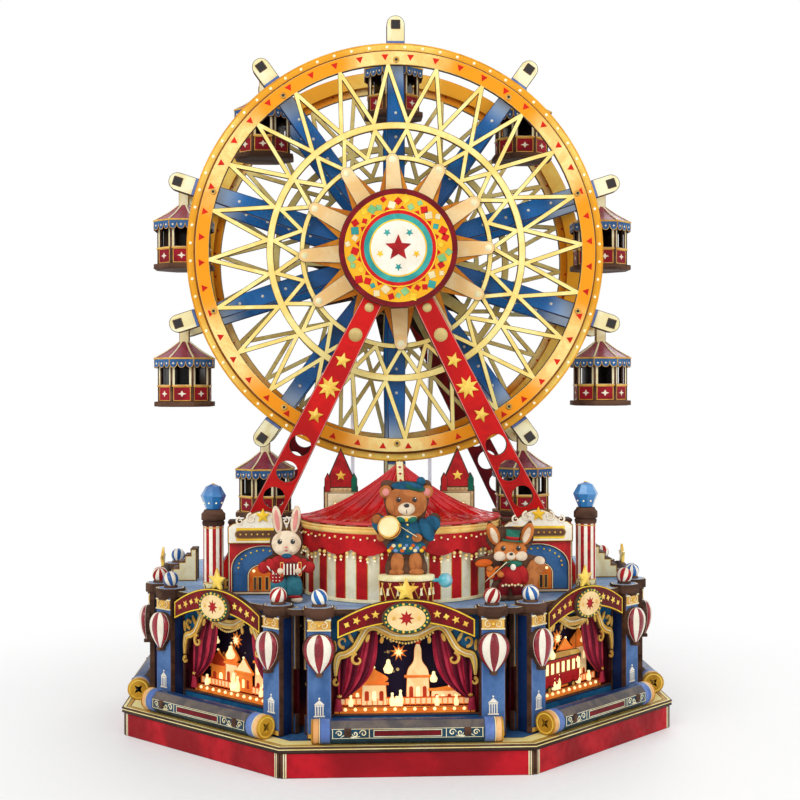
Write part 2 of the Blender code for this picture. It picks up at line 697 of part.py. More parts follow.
def build_tent():
    """Half-round tent: wall with its eave band and backboard, and the drooping roof."""
    wall = lying_sheet([half_ring(TENT_RADIUS, TENT_RADIUS - PLY, 12)], DECK_STAND, TENT_TOP)
    width = TENT_RADIUS + EAVE_THICKNESS
    band = lying_sheet([half_ring(width, TENT_RADIUS - EMBED, 12)], TENT_TOP - EAVE_HEIGHT, TENT_TOP - EMBED)
    base = TENT_TOP + GAP
    rise = TENT_ROOF_HEIGHT + TENT_BOARD_PEAK
    edge = width + TENT_BOARD_MARGIN
    half = [(0.0, DECK_STAND), (edge, DECK_STAND), (edge, TENT_TOP), (0.45 * width, TENT_TOP + 0.30 * rise),
            (0.12 * width, TENT_TOP + 0.75 * rise), (0.0, TENT_TOP + rise)]
    board = standing_sheet([mirrored(half)], TENT_BACK_Y, TENT_BACK_Y + PLY)
    add_part("tent_body", union([board, wall, band], "MANIFOLD"), ((0.75, 0.60, 0.45), 0.5))

    reach = width - TENT_TIP_RADIUS
    profile = [(0.0, base + TENT_ROOF_HEIGHT)]
    for i in range(6):
        share = i / 5
        height = PLY / 2 + (TENT_ROOF_HEIGHT - PLY / 2) * (1 - share) ** 1.6
        profile.append((TENT_TIP_RADIUS + reach * share, base + height))
    profile += [(width, base), (0.0, base)]
    cone = moved(turned(profile, 24), Matrix.Translation((0.0, TENT_BACK_Y, 0.0)))
    size = 4 * TENT_RADIUS
    behind = box((size, size, size), (0.0, TENT_BACK_Y - GAP + size / 2, base))
    add_part("tent_roof", combined(cone, behind, "DIFFERENCE"), ((0.45, 0.02, 0.04), 0.25), smooth=True)


def build_castle():
    """Castle board with two peaked towers and flanks that slope down outward."""
    left, right = TOWER_X - TOWER_WIDTH / 2, TOWER_X + TOWER_WIDTH / 2
    eave = CASTLE_HEIGHT - TOWER_ROOF_HEIGHT
    flank = [(CASTLE_HALF_WIDTH, 0.0)]
    for i in range(5):
        share = i / 4
        x = CASTLE_HALF_WIDTH + (right - CASTLE_HALF_WIDTH) * share
        flank.append((x, CASTLE_WALL_HEIGHT * (0.15 + 0.85 * share ** 1.7)))
    half = [(0.0, 0.0), *flank, (right, eave), (TOWER_X, CASTLE_HEIGHT), (left, eave),
            (left, CASTLE_WALL_HEIGHT), (0.0, CASTLE_WALL_HEIGHT)]
    outline = [(x, z + DECK_STAND) for x, z in mirrored(half)]
    board = standing_sheet([outline], CASTLE_FRONT_Y, CASTLE_FRONT_Y + PLY)
    add_part("castle_board", board, ((0.85, 0.70, 0.35), 0.5))


def build_booths():
    """Two ticket booths, each with an arched sign on its front."""
    width, depth, height = BOOTH_SIZE
    body = box(BOOTH_SIZE, (BOOTH_X, BOOTH_Y, DECK_STAND + height / 2))
    side = DECK_STAND + height
    low = side + BOOTH_SIGN_RISE - BOOTH_SIGN_HEIGHT
    arch = [(BOOTH_X + width / 2 * math.cos(a), side + BOOTH_SIGN_RISE * math.sin(a))
            for a in [math.pi * i / 8 for i in range(9)]]
    front = BOOTH_Y - depth / 2 + EMBED
    crest = standing_sheet([[(BOOTH_X - width / 2, low), (BOOTH_X + width / 2, low), *arch]], front - PLY, front)
    add_pair("ticket_booth", union([body, crest]), ((0.75, 0.30, 0.12), 0.5))


def build_posts():
    """Two striped posts with turned caps and faceted lanterns."""
    cap_z = DECK_STAND + POST_HEIGHT
    lantern_z = cap_z + POST_CAP_HEIGHT
    waist = 0.55 * LANTERN_RADIUS
    profile = [(0.0, lantern_z + LANTERN_HEIGHT), (waist, lantern_z + 0.88 * LANTERN_HEIGHT),
               (LANTERN_RADIUS, lantern_z + 0.5 * LANTERN_HEIGHT), (waist, lantern_z),
               (0.7 * POST_CAP_RADIUS, lantern_z), (POST_CAP_RADIUS, cap_z + 0.4 * POST_CAP_HEIGHT),
               (POST_CAP_RADIUS, cap_z), (POST_RADIUS, cap_z), (POST_RADIUS, DECK_STAND), (0.0, DECK_STAND)]
    post = moved(turned(profile, 12), Matrix.Translation((POST_X, POST_Y, 0.0)))
    add_pair("striped_post", post, ((0.75, 0.65, 0.60), 0.4), smooth=True)


def figure(half, height, x, y, foot_z):
    """A flat standing figure from its right half outline in millimetres."""
    tall = max(z for _, z in half)
    outline = [(x + px * height / tall, foot_z + pz * height / tall) for px, pz in mirrored(half)]
    return standing_sheet([outline], y - PLY / 2, y + PLY / 2)


def build_figures():
    """Toy bear on a drum, a rabbit and a fox, each cut from flat sheet."""
    width, depth, height = DRUM_SIZE
    profile = [(0.0, height), (0.5, height), (0.5, height * 0.86), (0.46, height * 0.80), (0.46, height * 0.14),
               (0.5, height * 0.08), (0.5, 0.0), (0.0, 0.0)]
    place = Matrix.Translation((BEAR_X, DRUM_Y, DECK_STAND)) @ Matrix.Diagonal((width, depth, 1.0, 1.0))
    drum = moved(turned(profile, 16), place)

    bear = [(0, 0), (8, 0), (9, 4), (7.5, 9), (10, 14), (14.5, 22), (14.5, 26), (11.5, 26.5), (8.2, 22),
            (8.2, 26), (9.5, 31), (9.8, 34), (11, 37.5), (9.8, 40.5), (6.8, 40.6), (4, 39.8), (0, 40.2)]
    bear_piece = figure(bear, BEAR_HEIGHT, BEAR_X, DRUM_Y, DECK_STAND + height - EMBED)
    add_part("bear_on_drum", union([drum, bear_piece]), ((0.45, 0.22, 0.08), 0.6))
    rabbit = [(0, 0), (6.5, 0), (7, 6), (6, 12), (8, 16), (12, 14), (12.5, 17), (8, 20.5), (6, 22),
              (7.5, 26), (7, 29.5), (5, 32), (6.5, 37), (6, 42), (3.6, 43), (1.8, 38), (0, 32.5)]
    piece = figure(rabbit, RABBIT_HEIGHT, *RABBIT_PLACE, DECK_STAND)
    add_part("rabbit_figure", piece, ((0.75, 0.65, 0.55), 0.6))
    fox = [(0, 0), (8, 0), (8.5, 5), (7, 10), (10, 14), (15.5, 16), (15.5, 19), (9, 20), (7, 21.5),
           (10, 25), (10.5, 28), (9.5, 35.5), (5.5, 32), (0, 32.5)]
    add_part("fox_figure", figure(fox, FOX_HEIGHT, *FOX_PLACE, DECK_STAND), ((0.75, 0.28, 0.06), 0.6))


# A-frames
def leg_outline():
    """Right leg of an A-frame with its round holes, in X and Z."""
    foot = Vector((LEG_FOOT_X, DECK_STAND))
    top = Vector((LEG_TOP_X, AXLE_Z - LEG_TOP_BELOW_AXLE))
    along = (top - foot).normalized()
    across = Vector((along.y, -along.x))
    corners = []
    for side in (-1, 1):
        corner = foot + across * (side * LEG_FOOT_WIDTH / 2)
        corners.append(corner - along * ((corner.y - DECK_STAND) / along.y))
    corners += [top + across * (LEG_TOP_WIDTH / 2), top - across * (LEG_TOP_WIDTH / 2)]
    holes = []
    for share in LEG_HOLES:
        centre = foot + (top - foot) * share
        holes.append([(x + centre.x, z + centre.y) for x, z in ring_points(LEG_HOLE_RADIUS, 10)])
    return [[tuple(corner) for corner in corners], *holes]


def build_frames():
    """Front and rear A-frames, each two legs with a round head that carries the axle, and the front badge."""
    far = LEG_Y + LEG_THICKNESS
    leg = standing_sheet(leg_outline(), -far, -LEG_Y)
    head = along_y(cylinder(LEG_HEAD_RADIUS, LEG_THICKNESS, 20, (0.0, 0.0, -(far + LEG_Y) / 2)), z=AXLE_Z)
    bore = along_y(cylinder(AXLE_RADIUS + SHAFT_CLEARANCE, 4 * LEG_THICKNESS, AXLE_SIDES, (0.0, 0.0, -LEG_Y)), z=AXLE_Z)
    frame = combined(union([*left_and_right(leg), head]), bore, "DIFFERENCE")
    front, rear = front_and_rear(frame)
    add_part("front_frame", front, ((0.45, 0.01, 0.01), 0.4))
    add_part("rear_frame", rear, ((0.45, 0.01, 0.01), 0.4))
    rim = [(x, z + AXLE_Z) for x, z in ring_points(BADGE_RADIUS, 32)]
    badge = standing_sheet([rim], -BADGE_Y - PLY, -BADGE_Y)
    add_part("hub_badge", badge, ((0.80, 0.10, 0.10), 0.4))


# Wheel, modelled about its own axis
def truss_cells(outer_radius, inner_radius, outer_start):
    """Triangular cells between two rings, drawn between bars that zigzag from ring to ring."""
    step = 360 / TRUSS_CELLS
    half_bar = TRUSS_BAR_WIDTH / 2
    cells = []
    for i in range(TRUSS_CELLS):
        node = outer_start + i * step
        wide_out = [polar(outer_radius, node), polar(outer_radius, node + step), polar(inner_radius, node + step / 2)]
        wide_in = [polar(inner_radius, node - step / 2), polar(inner_radius, node + step / 2),
                   polar(outer_radius, node)]
        for corners in (wide_out, wide_in):
            cells.append(inset_triangle(corners, (half_bar / 2, half_bar, half_bar)))
    return cells


def spoke_cells():
    """Openings between the hub spokes."""
    step = 360 / HUB_SPOKES
    outer = INNER_RING_RADIUS - INNER_RING_WIDTH / 2
    cells = []
    for i in range(HUB_SPOKES):
        start = TRUSS_START_DEG + i * step
        outer_cut = math.degrees(math.asin(HUB_SPOKE_WIDTH / 2 / outer))
        inner_cut = math.degrees(math.asin(HUB_SPOKE_WIDTH / 2 / HUB_DISC_RADIUS))
        far = arc(outer, start + outer_cut, start + step - outer_cut, 2)
        near = arc(HUB_DISC_RADIUS, start + step - inner_cut, start + inner_cut, 1)
        cells.append(far + near)
    return cells


def build_wheel_plates(axis):
    """Front and rear truss plates."""
    step = 360 / TRUSS_CELLS
    loops = [ring_points(RING_OUTER_RADIUS, 48)]
    loops += truss_cells(RING_INNER_RADIUS, MIDDLE_RING_RADIUS + MIDDLE_RING_WIDTH / 2, TRUSS_START_DEG)
    loops += truss_cells(MIDDLE_RING_RADIUS - MIDDLE_RING_WIDTH / 2, INNER_RING_RADIUS + INNER_RING_WIDTH / 2,
                         TRUSS_START_DEG + step / 2)
    loops += spoke_cells()
    loops.append(ring_points(AXLE_RADIUS + GAP, AXLE_SIDES))
    plate = standing_sheet(loops, -WHEEL_PLATE_Y - PLY, -WHEEL_PLATE_Y)
    front, rear = front_and_rear(plate)
    add_part("front_wheel_plate", front, ((0.90, 0.70, 0.25), 0.5), parent=axis)
    add_part("rear_wheel_plate", rear, ((0.90, 0.70, 0.25), 0.5), parent=axis)


def build_rim(axis):
    """Outer bands that stand out round the plates' edges."""
    loops = [ring_points(BAND_OUTER_RADIUS, 48), ring_points(BAND_INNER_RADIUS, 48)]
    front, rear = front_and_rear(standing_sheet(loops, -BAND_Y - PLY, -BAND_Y))
    add_part("front_rim_band", front, ((0.93, 0.65, 0.15), 0.5), parent=axis)
    add_part("rear_rim_band", rear, ((0.93, 0.65, 0.15), 0.5), parent=axis)


def build_arms(axis):
    """Ten arms to a side, joined at the hub, each ending in the bearing of a gondola's rod."""
    half = ARM_WIDTH / 2
    root = math.sqrt(ARM_HUB_RADIUS ** 2 - half ** 2)
    arm = [(root, -half), *arc(half, -90, 90, 4, (ARM_PIVOT_RADIUS, 0.0)), (root, half)]
    bearing = [(x + ARM_PIVOT_RADIUS, z) for x, z in ring_points(PIVOT_RADIUS + SHAFT_CLEARANCE, 6)]
    outline, holes = [], [ring_points(AXLE_RADIUS + GAP, AXLE_SIDES)]
    for i in range(GONDOLAS):
        turn = Matrix.Rotation(math.pi / 2 + 2 * math.pi * i / GONDOLAS, 2)
        outline += [tuple(turn @ Vector(point)) for point in arm]
        holes.append([tuple(turn @ Vector(point)) for point in bearing])
    arms = standing_sheet([outline, *holes], -ARM_Y - ARM_THICKNESS, -ARM_Y)
    loops = [ring_points(HUB_SPACER_RADIUS, 16), ring_points(AXLE_RADIUS + GAP, AXLE_SIDES)]
    spacer = standing_sheet(loops, -WHEEL_PLATE_Y + GAP, -ARM_Y - ARM_THICKNESS + EMBED)
    front, rear = front_and_rear(union([arms, spacer]))
    add_part("front_arms", front, ((0.02, 0.12, 0.40), 0.45), parent=axis)
    add_part("rear_arms", rear, ((0.02, 0.12, 0.40), 0.45), parent=axis)


def build_hub(axis):
    """Axle with the belt pulley turned on it, and the hub barrel between the arms."""
    axle_end = LEG_Y + LEG_THICKNESS
    groove = BELT_WIDTH / 2 + GAP
    flange = PULLEY_RADIUS + PULLEY_FLANGE
    stations = [(AXLE_RADIUS, -axle_end, BELT_Y - PULLEY_HALF), (flange, BELT_Y - PULLEY_HALF, BELT_Y - groove),
                (PULLEY_RADIUS, BELT_Y - groove, BELT_Y + groove), (flange, BELT_Y + groove, BELT_Y + PULLEY_HALF),
                (AXLE_RADIUS, BELT_Y + PULLEY_HALF, axle_end)]
    add_part("axle", shaft_piece(stations, AXLE_SIDES), ((0.75, 0.76, 0.78), 0.25, 1.0), parent=axis, smooth=True)
    half = ARM_Y - GAP
    bore = AXLE_RADIUS + GAP
    profile = [(bore, half), (HUB_BARREL_RADIUS, half), (HUB_BARREL_RADIUS, -half), (bore, -half)]
    hub = along_y(turned(profile, AXLE_SIDES, closed=True))
    add_part("wheel_hub", hub, ((0.60, 0.40, 0.20), 0.5), parent=axis, smooth=True)


def gondola_mesh():
    """Eight-sided cabin with open windows, hung from a rod by a flat hanger."""
    corner = 1 / math.cos(math.pi / 8)
    shell = [(0.0, -ROOF_APEX_DROP), (EAVE_APOTHEM, -EAVE_DROP), (EAVE_APOTHEM, -VALANCE_DROP),
             (CABIN_APOTHEM, -VALANCE_DROP), (CABIN_APOTHEM, -FLOOR_DROP + FLOOR_THICKNESS),
             (EAVE_APOTHEM, -FLOOR_DROP + FLOOR_THICKNESS), (EAVE_APOTHEM, -FLOOR_DROP), (0.0, -FLOOR_DROP)]
    shape = turned([(r * corner, z) for r, z in shell], 8)
    cabin = moved(shape, Matrix.Rotation(math.pi / 8, 4, "Z"))
    sill = -FLOOR_DROP + FLOOR_THICKNESS + CABIN_WALL_HEIGHT
    window_height = -VALANCE_DROP - sill
    for i in range(4):
        window = box((WINDOW_WIDTH, 4 * CABIN_APOTHEM, window_height), (0.0, 0.0, sill + window_height / 2))
        turn = Matrix.Rotation(math.pi * i / 4, 4, "Z")
        cabin = combined(cabin, moved(window, turn), "DIFFERENCE", "MANIFOLD")
    rod = along_y(cylinder(PIVOT_RADIUS, 2 * GONDOLA_ROD_HALF, 8))
    hanger_low = (ROOF_APEX_DROP + EAVE_DROP) / 2
    hanger = box((HANGER_WIDTH, HANGER_WIDTH, hanger_low), (0.0, 0.0, -hanger_low / 2))
    return combined(combined(cabin, hanger, "UNION"), rod, "UNION")


def build_gondolas():
    """Ten gondolas, each with its origin on its own pivot."""
    mesh = gondola_mesh()
    for i in range(GONDOLAS):
        angle = math.pi / 2 + 2 * math.pi * i / GONDOLAS
        gondola = add_part(f"gondola_{i + 1:02d}", mesh, ((0.32, 0.04, 0.10), 0.4))
        gondola.location = (ARM_PIVOT_RADIUS * math.cos(angle), 0.0, AXLE_Z + ARM_PIVOT_RADIUS * math.sin(angle))


# Belt and movement
def build_belt():
    """Flat belt round the axle's pulley and the movement's pulley."""
    inner = PULLEY_RADIUS + GAP
    loops = []
    for radius in (inner + BELT_THICKNESS, inner):
        loops.append(arc(radius, 0, 180, 10, (0.0, AXLE_Z)) + arc(radius, 180, 360, 10, (0.0, MOVEMENT_Z)))
    belt = standing_sheet(loops, BELT_Y - BELT_WIDTH / 2, BELT_Y + BELT_WIDTH / 2)
    add_part("drive_belt", belt, ((0.85, 0.84, 0.80), 0.7))


def build_bedplate():
    """Bedplate with two uprights that carry the shafts, and the comb's block."""
    plate = lying_sheet([rectangle(COMB_X[0], UPRIGHT_X[1], *BEDPLATE_Y)], STAND_Z, BEDPLATE_TOP)
    low = BEDPLATE_TOP - EMBED
    outline = rectangle(*UPRIGHT_X, low, low + UPRIGHT_HEIGHT)
    holes = []
    for x, z in ((0.0, MOVEMENT_Z), (BARREL_X, MOVEMENT_Z), (GOVERNOR_X, MOVEMENT_Z - GOVERNOR_DROP)):
        holes.append([(x + px, z + pz) for px, pz in ring_points(SHAFT_RADIUS + SHAFT_CLEARANCE, 12)])
    front = standing_sheet([outline, *holes], FRONT_UPRIGHT_Y, FRONT_UPRIGHT_Y + PLY)
    rear = standing_sheet([outline, *holes], REAR_UPRIGHT_Y, REAR_UPRIGHT_Y + PLY)
    block_top = MOVEMENT_Z + COMB_RISE - GAP
    block = box((COMB_BLOCK_WIDTH, COMB_Y[1] - COMB_Y[0], block_top - low),
                (COMB_X[0] + COMB_BLOCK_WIDTH / 2, sum(COMB_Y) / 2, (block_top + low) / 2))
    add_part("movement_bedplate", union([plate, front, rear, block]), ((0.70, 0.55, 0.25), 0.4, 0.8))


def build_comb():
    """Steel comb whose teeth reach over the cylinder."""
    y0, y1 = COMB_Y
    pitch = (y1 - y0) / COMB_TEETH
    root = COMB_X[0] + 1.6 * COMB_BLOCK_WIDTH
    outline = [(COMB_X[0], y1), (COMB_X[0], y0)]
    for i in range(COMB_TEETH):
        start = y0 + i * pitch
        outline += [(COMB_X[1], start), (COMB_X[1], start + 0.6 * pitch)]
        if i < COMB_TEETH - 1:
            outline += [(root, start + 0.6 * pitch), (root, start + pitch)]
    outline += [(root, y1 - 0.4 * pitch), (root, y1)]
    comb = lying_sheet([outline], MOVEMENT_Z + COMB_RISE, MOVEMENT_Z + COMB_RISE + PLY / 2)
    add_part("music_comb", comb, ((0.60, 0.61, 0.63), 0.3, 1.0))


def shaft_piece(stations, sides):
    """A stepped shaft along Y from (radius, low y, high y) stations that follow one another."""
    profile = [(0.0, stations[-1][2])]
    for radius, low, high in reversed(stations):
        profile += [(radius, high), (radius, low)]
    profile.append((0.0, stations[0][1]))
    return along_y(turned(profile, sides))


def build_cylinder():
    """Pinned cylinder with its pulley and gear on one shaft."""
    axis = add_axis("cylinder_axis", (0.0, 0.0, MOVEMENT_Z))
    groove = BELT_WIDTH / 2 + GAP
    flange = PULLEY_RADIUS + PULLEY_FLANGE
    stations = [(flange, BELT_Y - PULLEY_HALF, BELT_Y - groove), (PULLEY_RADIUS, BELT_Y - groove, BELT_Y + groove),
                (flange, BELT_Y + groove, BELT_Y + PULLEY_HALF), (SHAFT_RADIUS, BELT_Y + PULLEY_HALF, CYLINDER_Y[0]),
                (CYLINDER_RADIUS, *CYLINDER_Y), (SHAFT_RADIUS, CYLINDER_Y[1], GEAR_Y),
                (GEAR_RADIUS, GEAR_Y, GEAR_Y + GEAR_THICKNESS)]
    add_part("music_cylinder", shaft_piece(stations, 12), ((0.85, 0.65, 0.25), 0.3, 1.0), parent=axis, smooth=True)


def build_barrel():
    """Spring barrel with its gear."""
    axis = add_axis("barrel_axis", (BARREL_X, 0.0, MOVEMENT_Z))
    stations = [(SHAFT_RADIUS, FRONT_UPRIGHT_Y, BARREL_Y[0]), (BARREL_RADIUS, *BARREL_Y),
                (SHAFT_RADIUS, BARREL_Y[1], GEAR_Y), (GEAR_RADIUS, GEAR_Y, GEAR_Y + GEAR_THICKNESS)]
    add_part("spring_barrel", shaft_piece(stations, 12), ((0.80, 0.60, 0.22), 0.3, 1.0), parent=axis, smooth=True)


def build_governor():
    """Air-brake governor: a small shaft with its pinion and two fan blades."""
    axis = add_axis("governor_axis", (GOVERNOR_X, 0.0, MOVEMENT_Z - GOVERNOR_DROP))
    stations = [(SHAFT_RADIUS, FRONT_UPRIGHT_Y, GEAR_Y), (PINION_RADIUS, GEAR_Y, GEAR_Y + GEAR_THICKNESS)]
    middle = (FRONT_UPRIGHT_Y + PLY + REAR_UPRIGHT_Y) / 2
    fan = box((2 * FAN_RADIUS, FAN_LENGTH, SHAFT_RADIUS), (0.0, middle, 0.0))
    mesh = combined(shaft_piece(stations, 8), fan, "UNION")
    add_part("governor", mesh, ((0.85, 0.65, 0.25), 0.3, 1.0), parent=axis)


def build_key():
    """Winding key: a shaft through the rear panel and a winged handle outside it."""
    axis = add_axis("key_axis", (BARREL_X, 0.0, MOVEMENT_Z))
    start = GEAR_Y + GEAR_THICKNESS + GAP
    middle = (start + KEY_HANDLE_Y + PLY / 2) / 2
    shaft = along_y(cylinder(SHAFT_RADIUS, KEY_HANDLE_Y + PLY / 2 - start, 12, (0.0, 0.0, middle)))
    half = [(0.0, -0.35 * KEY_WING), (0.4 * KEY_WING, -0.3 * KEY_WING)]
    half += arc(0.5 * KEY_WING, -70, 110, 5, (0.55 * KEY_WING, 0.15 * KEY_WING))
    half.append((0.0, 0.35 * KEY_WING))
    handle = standing_sheet([mirrored(half)], KEY_HANDLE_Y, KEY_HANDLE_Y + PLY)
    add_part("winding_key", combined(shaft, handle, "UNION"), ((0.80, 0.60, 0.25), 0.3, 1.0), parent=axis)


def clear_scene():
    """Removes every object of the scene."""
    for thing in list(bpy.data.objects):
        bpy.data.objects.remove(thing, do_unlink=True)


def main():
    """Builds every sub-part."""
    build_plinth()
    build_deck()
    build_back_wall()
    build_stages()
    build_fronts()
    build_signs()
    build_rollers()
    build_tent()
    build_castle()
    build_booths()
    build_posts()
    build_figures()
    build_frames()
    wheel_axis = add_axis("wheel_axis", (0.0, 0.0, AXLE_Z))
    build_wheel_plates(wheel_axis)
    build_rim(wheel_axis)
    build_arms(wheel_axis)
    build_hub(wheel_axis)
    build_gondolas()
    build_belt()
    build_bedplate()
    build_comb()
    build_cylinder()
    build_barrel()
    build_governor()
    build_key()


clear_scene()
parts = bpy.data.collections.new("ferris_wheel_music_box")
bpy.context.scene.collection.children.link(parts)
cutters = bpy.data.collections.new("cutters")
bpy.context.scene.collection.children.link(cutters)
main()
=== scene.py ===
"""Visual model of the ferris wheel music box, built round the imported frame.

Shapes are drawn in millimetres in the frame's own axes, with the front towards -Y and +Z up, and are scaled to
metres when a piece is finished. A theatre is drawn at the front and then turned to each of its five sides.
"""

import functools
import itertools
import logging
import math
from dataclasses import dataclass, field
from enum import Enum
from typing import Callable, Sequence

import bmesh
import bpy
from mathutils import Matrix, Vector


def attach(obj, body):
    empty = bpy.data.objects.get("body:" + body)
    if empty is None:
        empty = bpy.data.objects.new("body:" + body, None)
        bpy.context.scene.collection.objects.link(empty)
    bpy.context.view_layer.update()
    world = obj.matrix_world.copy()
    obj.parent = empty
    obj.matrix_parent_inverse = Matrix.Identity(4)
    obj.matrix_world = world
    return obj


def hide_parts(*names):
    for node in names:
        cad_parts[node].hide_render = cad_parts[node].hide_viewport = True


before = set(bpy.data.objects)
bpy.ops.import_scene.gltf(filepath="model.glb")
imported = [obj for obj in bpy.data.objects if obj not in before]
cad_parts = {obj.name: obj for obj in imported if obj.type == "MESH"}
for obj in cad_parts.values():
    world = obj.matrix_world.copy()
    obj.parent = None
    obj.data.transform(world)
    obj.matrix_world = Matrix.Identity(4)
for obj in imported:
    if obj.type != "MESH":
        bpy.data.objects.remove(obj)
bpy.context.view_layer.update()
LOG = logging.getLogger("music_box")

Point = tuple[float, float]
Outline = Sequence[Point]
Lines = Sequence[tuple[float, int]]
RGB = tuple[int, int, int]
Shape = bmesh.types.BMesh
Socket = bpy.types.NodeSocket

MM = 0.001
PLY = 2.5
MERGE = 0.002
FRONT_SIDES = (-90, -45, 0, 45, 90)
BACK_SIDES = (135, 180, 225)
SIDE_RATIO = math.tan(math.pi / 8)
AXLE_Z = 233.0
STAND_Z = 13.8
DECK_TOP = 69.3
DECK_STAND = 69.6
ARMS = 10
PIVOT = 114.0
BORE = 3.4
BELT_Y = 38.8
KEY_X = 26.0
MOVEMENT_Z = 42.5
DECK_APOTHEM = 118.0


class Body(str, Enum):
    """Bodies of the frame that pieces ride on; gondolas have their own numbered bodies."""

    BASE = "base"
    WHEEL = "wheel"
    CYLINDER = "music_cylinder"
    KEY = "winding_key"


# Shader nodes
def linear(colour: RGB) -> tuple[float, float, float, float]:
    """Turns a colour as seen on a screen into the linear values that the shader takes.

    Args:
        colour: Red, green and blue from 0 to 255.

    Returns:
        Linear red, green, blue and a full alpha.
    """
    channels = [value / 255 for value in colour]
    values = [c / 12.92 if c <= 0.04045 else ((c + 0.055) / 1.055) ** 2.4 for c in channels]
    return (values[0], values[1], values[2], 1.0)


class NodeSheet:
    """A node tree with short calls for placing and joining nodes."""

    def __init__(self, tree: bpy.types.NodeTree) -> None:
        """Keeps the tree that nodes are placed in."""
        self.tree = tree

    def node(self, kind: str, **settings: object) -> bpy.types.Node:
        """Places a node.

        Args:
            kind: The node's type name without the leading "ShaderNode".
            **settings: Properties of the node, by name.

        Returns:
            The new node.
        """
        made = self.tree.nodes.new("ShaderNode" + kind)
        for name, value in settings.items():
            setattr(made, name, value)
        return made

    def link(self, source: Socket, target: Socket) -> None:
        """Joins an output to an input."""
        self.tree.links.new(source, target)

    def sum_of(self, operation: str, first: object, second: float | Socket = 0.0) -> Socket:
        """One step of arithmetic.

        Args:
            operation: The Math node's operation.
            first: A socket, or a number.
            second: A socket, or a number.

        Returns:
            The socket that holds the result.
        """
        step = self.node("Math", operation=operation)
        for socket, value in zip(step.inputs, (first, second)):
            if isinstance(value, Socket):
                self.link(value, socket)
            else:
                socket.default_value = value
        return step.outputs[0]

    def noise(self, scale: float | Socket, vector: Socket, detail: float = 3.0, distortion: float = 0.0) -> Socket:
        """Noise read at a vector.

        Args:
            scale: Features per metre, as a number or a socket.
            vector: Where the noise is read.
            detail: Octaves of finer noise.
            distortion: How far the noise is pulled about.

        Returns:
            The noise value.
        """
        made = self.node("TexNoise")
        made.inputs["Detail"].default_value = detail
        made.inputs["Distortion"].default_value = distortion
        if isinstance(scale, Socket):
            self.link(scale, made.inputs["Scale"])
        else:
            made.inputs["Scale"].default_value = scale
        self.link(vector, made.inputs["Vector"])
        return made.outputs["Fac"]

    def ramp(self, value: Socket, low: float, high: float, to_low: float, to_high: float) -> Socket:
        """Maps a value from one range to another, held within its ends.

        Args:
            value: The value to map.
            low: Where the source range starts.
            high: Where the source range ends.
            to_low: The result at the start.
            to_high: The result at the end.

        Returns:
            The mapped value.
        """
        made = self.node("MapRange", interpolation_type="SMOOTHSTEP")
        self.link(value, made.inputs["Value"])
        for socket, number in zip(made.inputs[1:5], (low, high, to_low, to_high)):
            socket.default_value = number
        return made.outputs["Result"]

    def mixed(self, share: Socket, first: object, second: object, blend: str = "MIX") -> Socket:
        """Mixes two colours.

        Args:
            share: How much of the second colour shows.
            first: A socket or a linear colour.
            second: A socket or a linear colour.
            blend: The Mix node's blend type.

        Returns:
            The mixed colour.
        """
        made = self.node("Mix", data_type="RGBA", blend_type=blend)
        self.link(share, made.inputs[0])
        for socket, value in ((made.inputs[6], first), (made.inputs[7], second)):
            if isinstance(value, Socket):
                self.link(value, socket)
            else:
                socket.default_value = value
        return made.outputs[2]


class GroupSheet(NodeSheet):
    """A shader node group with named inputs and outputs, built once."""

    SOCKETS = {"colour": "NodeSocketColor", "value": "NodeSocketFloat"}

    def __init__(self, name: str, inputs: dict[str, str], outputs: dict[str, str]) -> None:
        """Makes the group and its sockets.

        Args:
            name: The group's name.
            inputs: Kind of each input, by its name.
            outputs: Kind of each output, by its name.
        """
        super().__init__(bpy.data.node_groups.new(name, "ShaderNodeTree"))
        for way, sockets in (("INPUT", inputs), ("OUTPUT", outputs)):
            for socket, kind in sockets.items():
                self.tree.interface.new_socket(name=socket, in_out=way, socket_type=self.SOCKETS[kind])
        self.source = self.tree.nodes.new("NodeGroupInput").outputs
        self.result = self.tree.nodes.new("NodeGroupOutput").inputs
        self.place = self.node("TexCoord").outputs["Object"]


@functools.cache
def painterly_group() -> bpy.types.NodeTree:
    """Brushy print: two tones in soft blotches, darkened by fine speckle."""
    sheet = GroupSheet("painterly", {"Base": "colour", "Shade": "colour", "Scale": "value", "Spread": "value"},
                       {"Colour": "colour", "Fine": "value"})
    blotch = sheet.noise(sheet.source["Scale"], sheet.place, 4.0, 0.8)
    share = sheet.sum_of("MULTIPLY", sheet.ramp(blotch, 0.40, 0.62, 0.0, 1.0), sheet.source["Spread"])
    tone = sheet.mixed(share, sheet.source["Base"], sheet.source["Shade"])
    fine = sheet.noise(sheet.sum_of("MULTIPLY", sheet.source["Scale"], 11.0), sheet.place, 5.0)
    speckle = sheet.ramp(fine, 0.45, 0.75, 0.0, 0.35)
    sheet.link(sheet.mixed(speckle, tone, sheet.source["Shade"]), sheet.result["Colour"])
    sheet.link(fine, sheet.result["Fine"])
    return sheet.tree


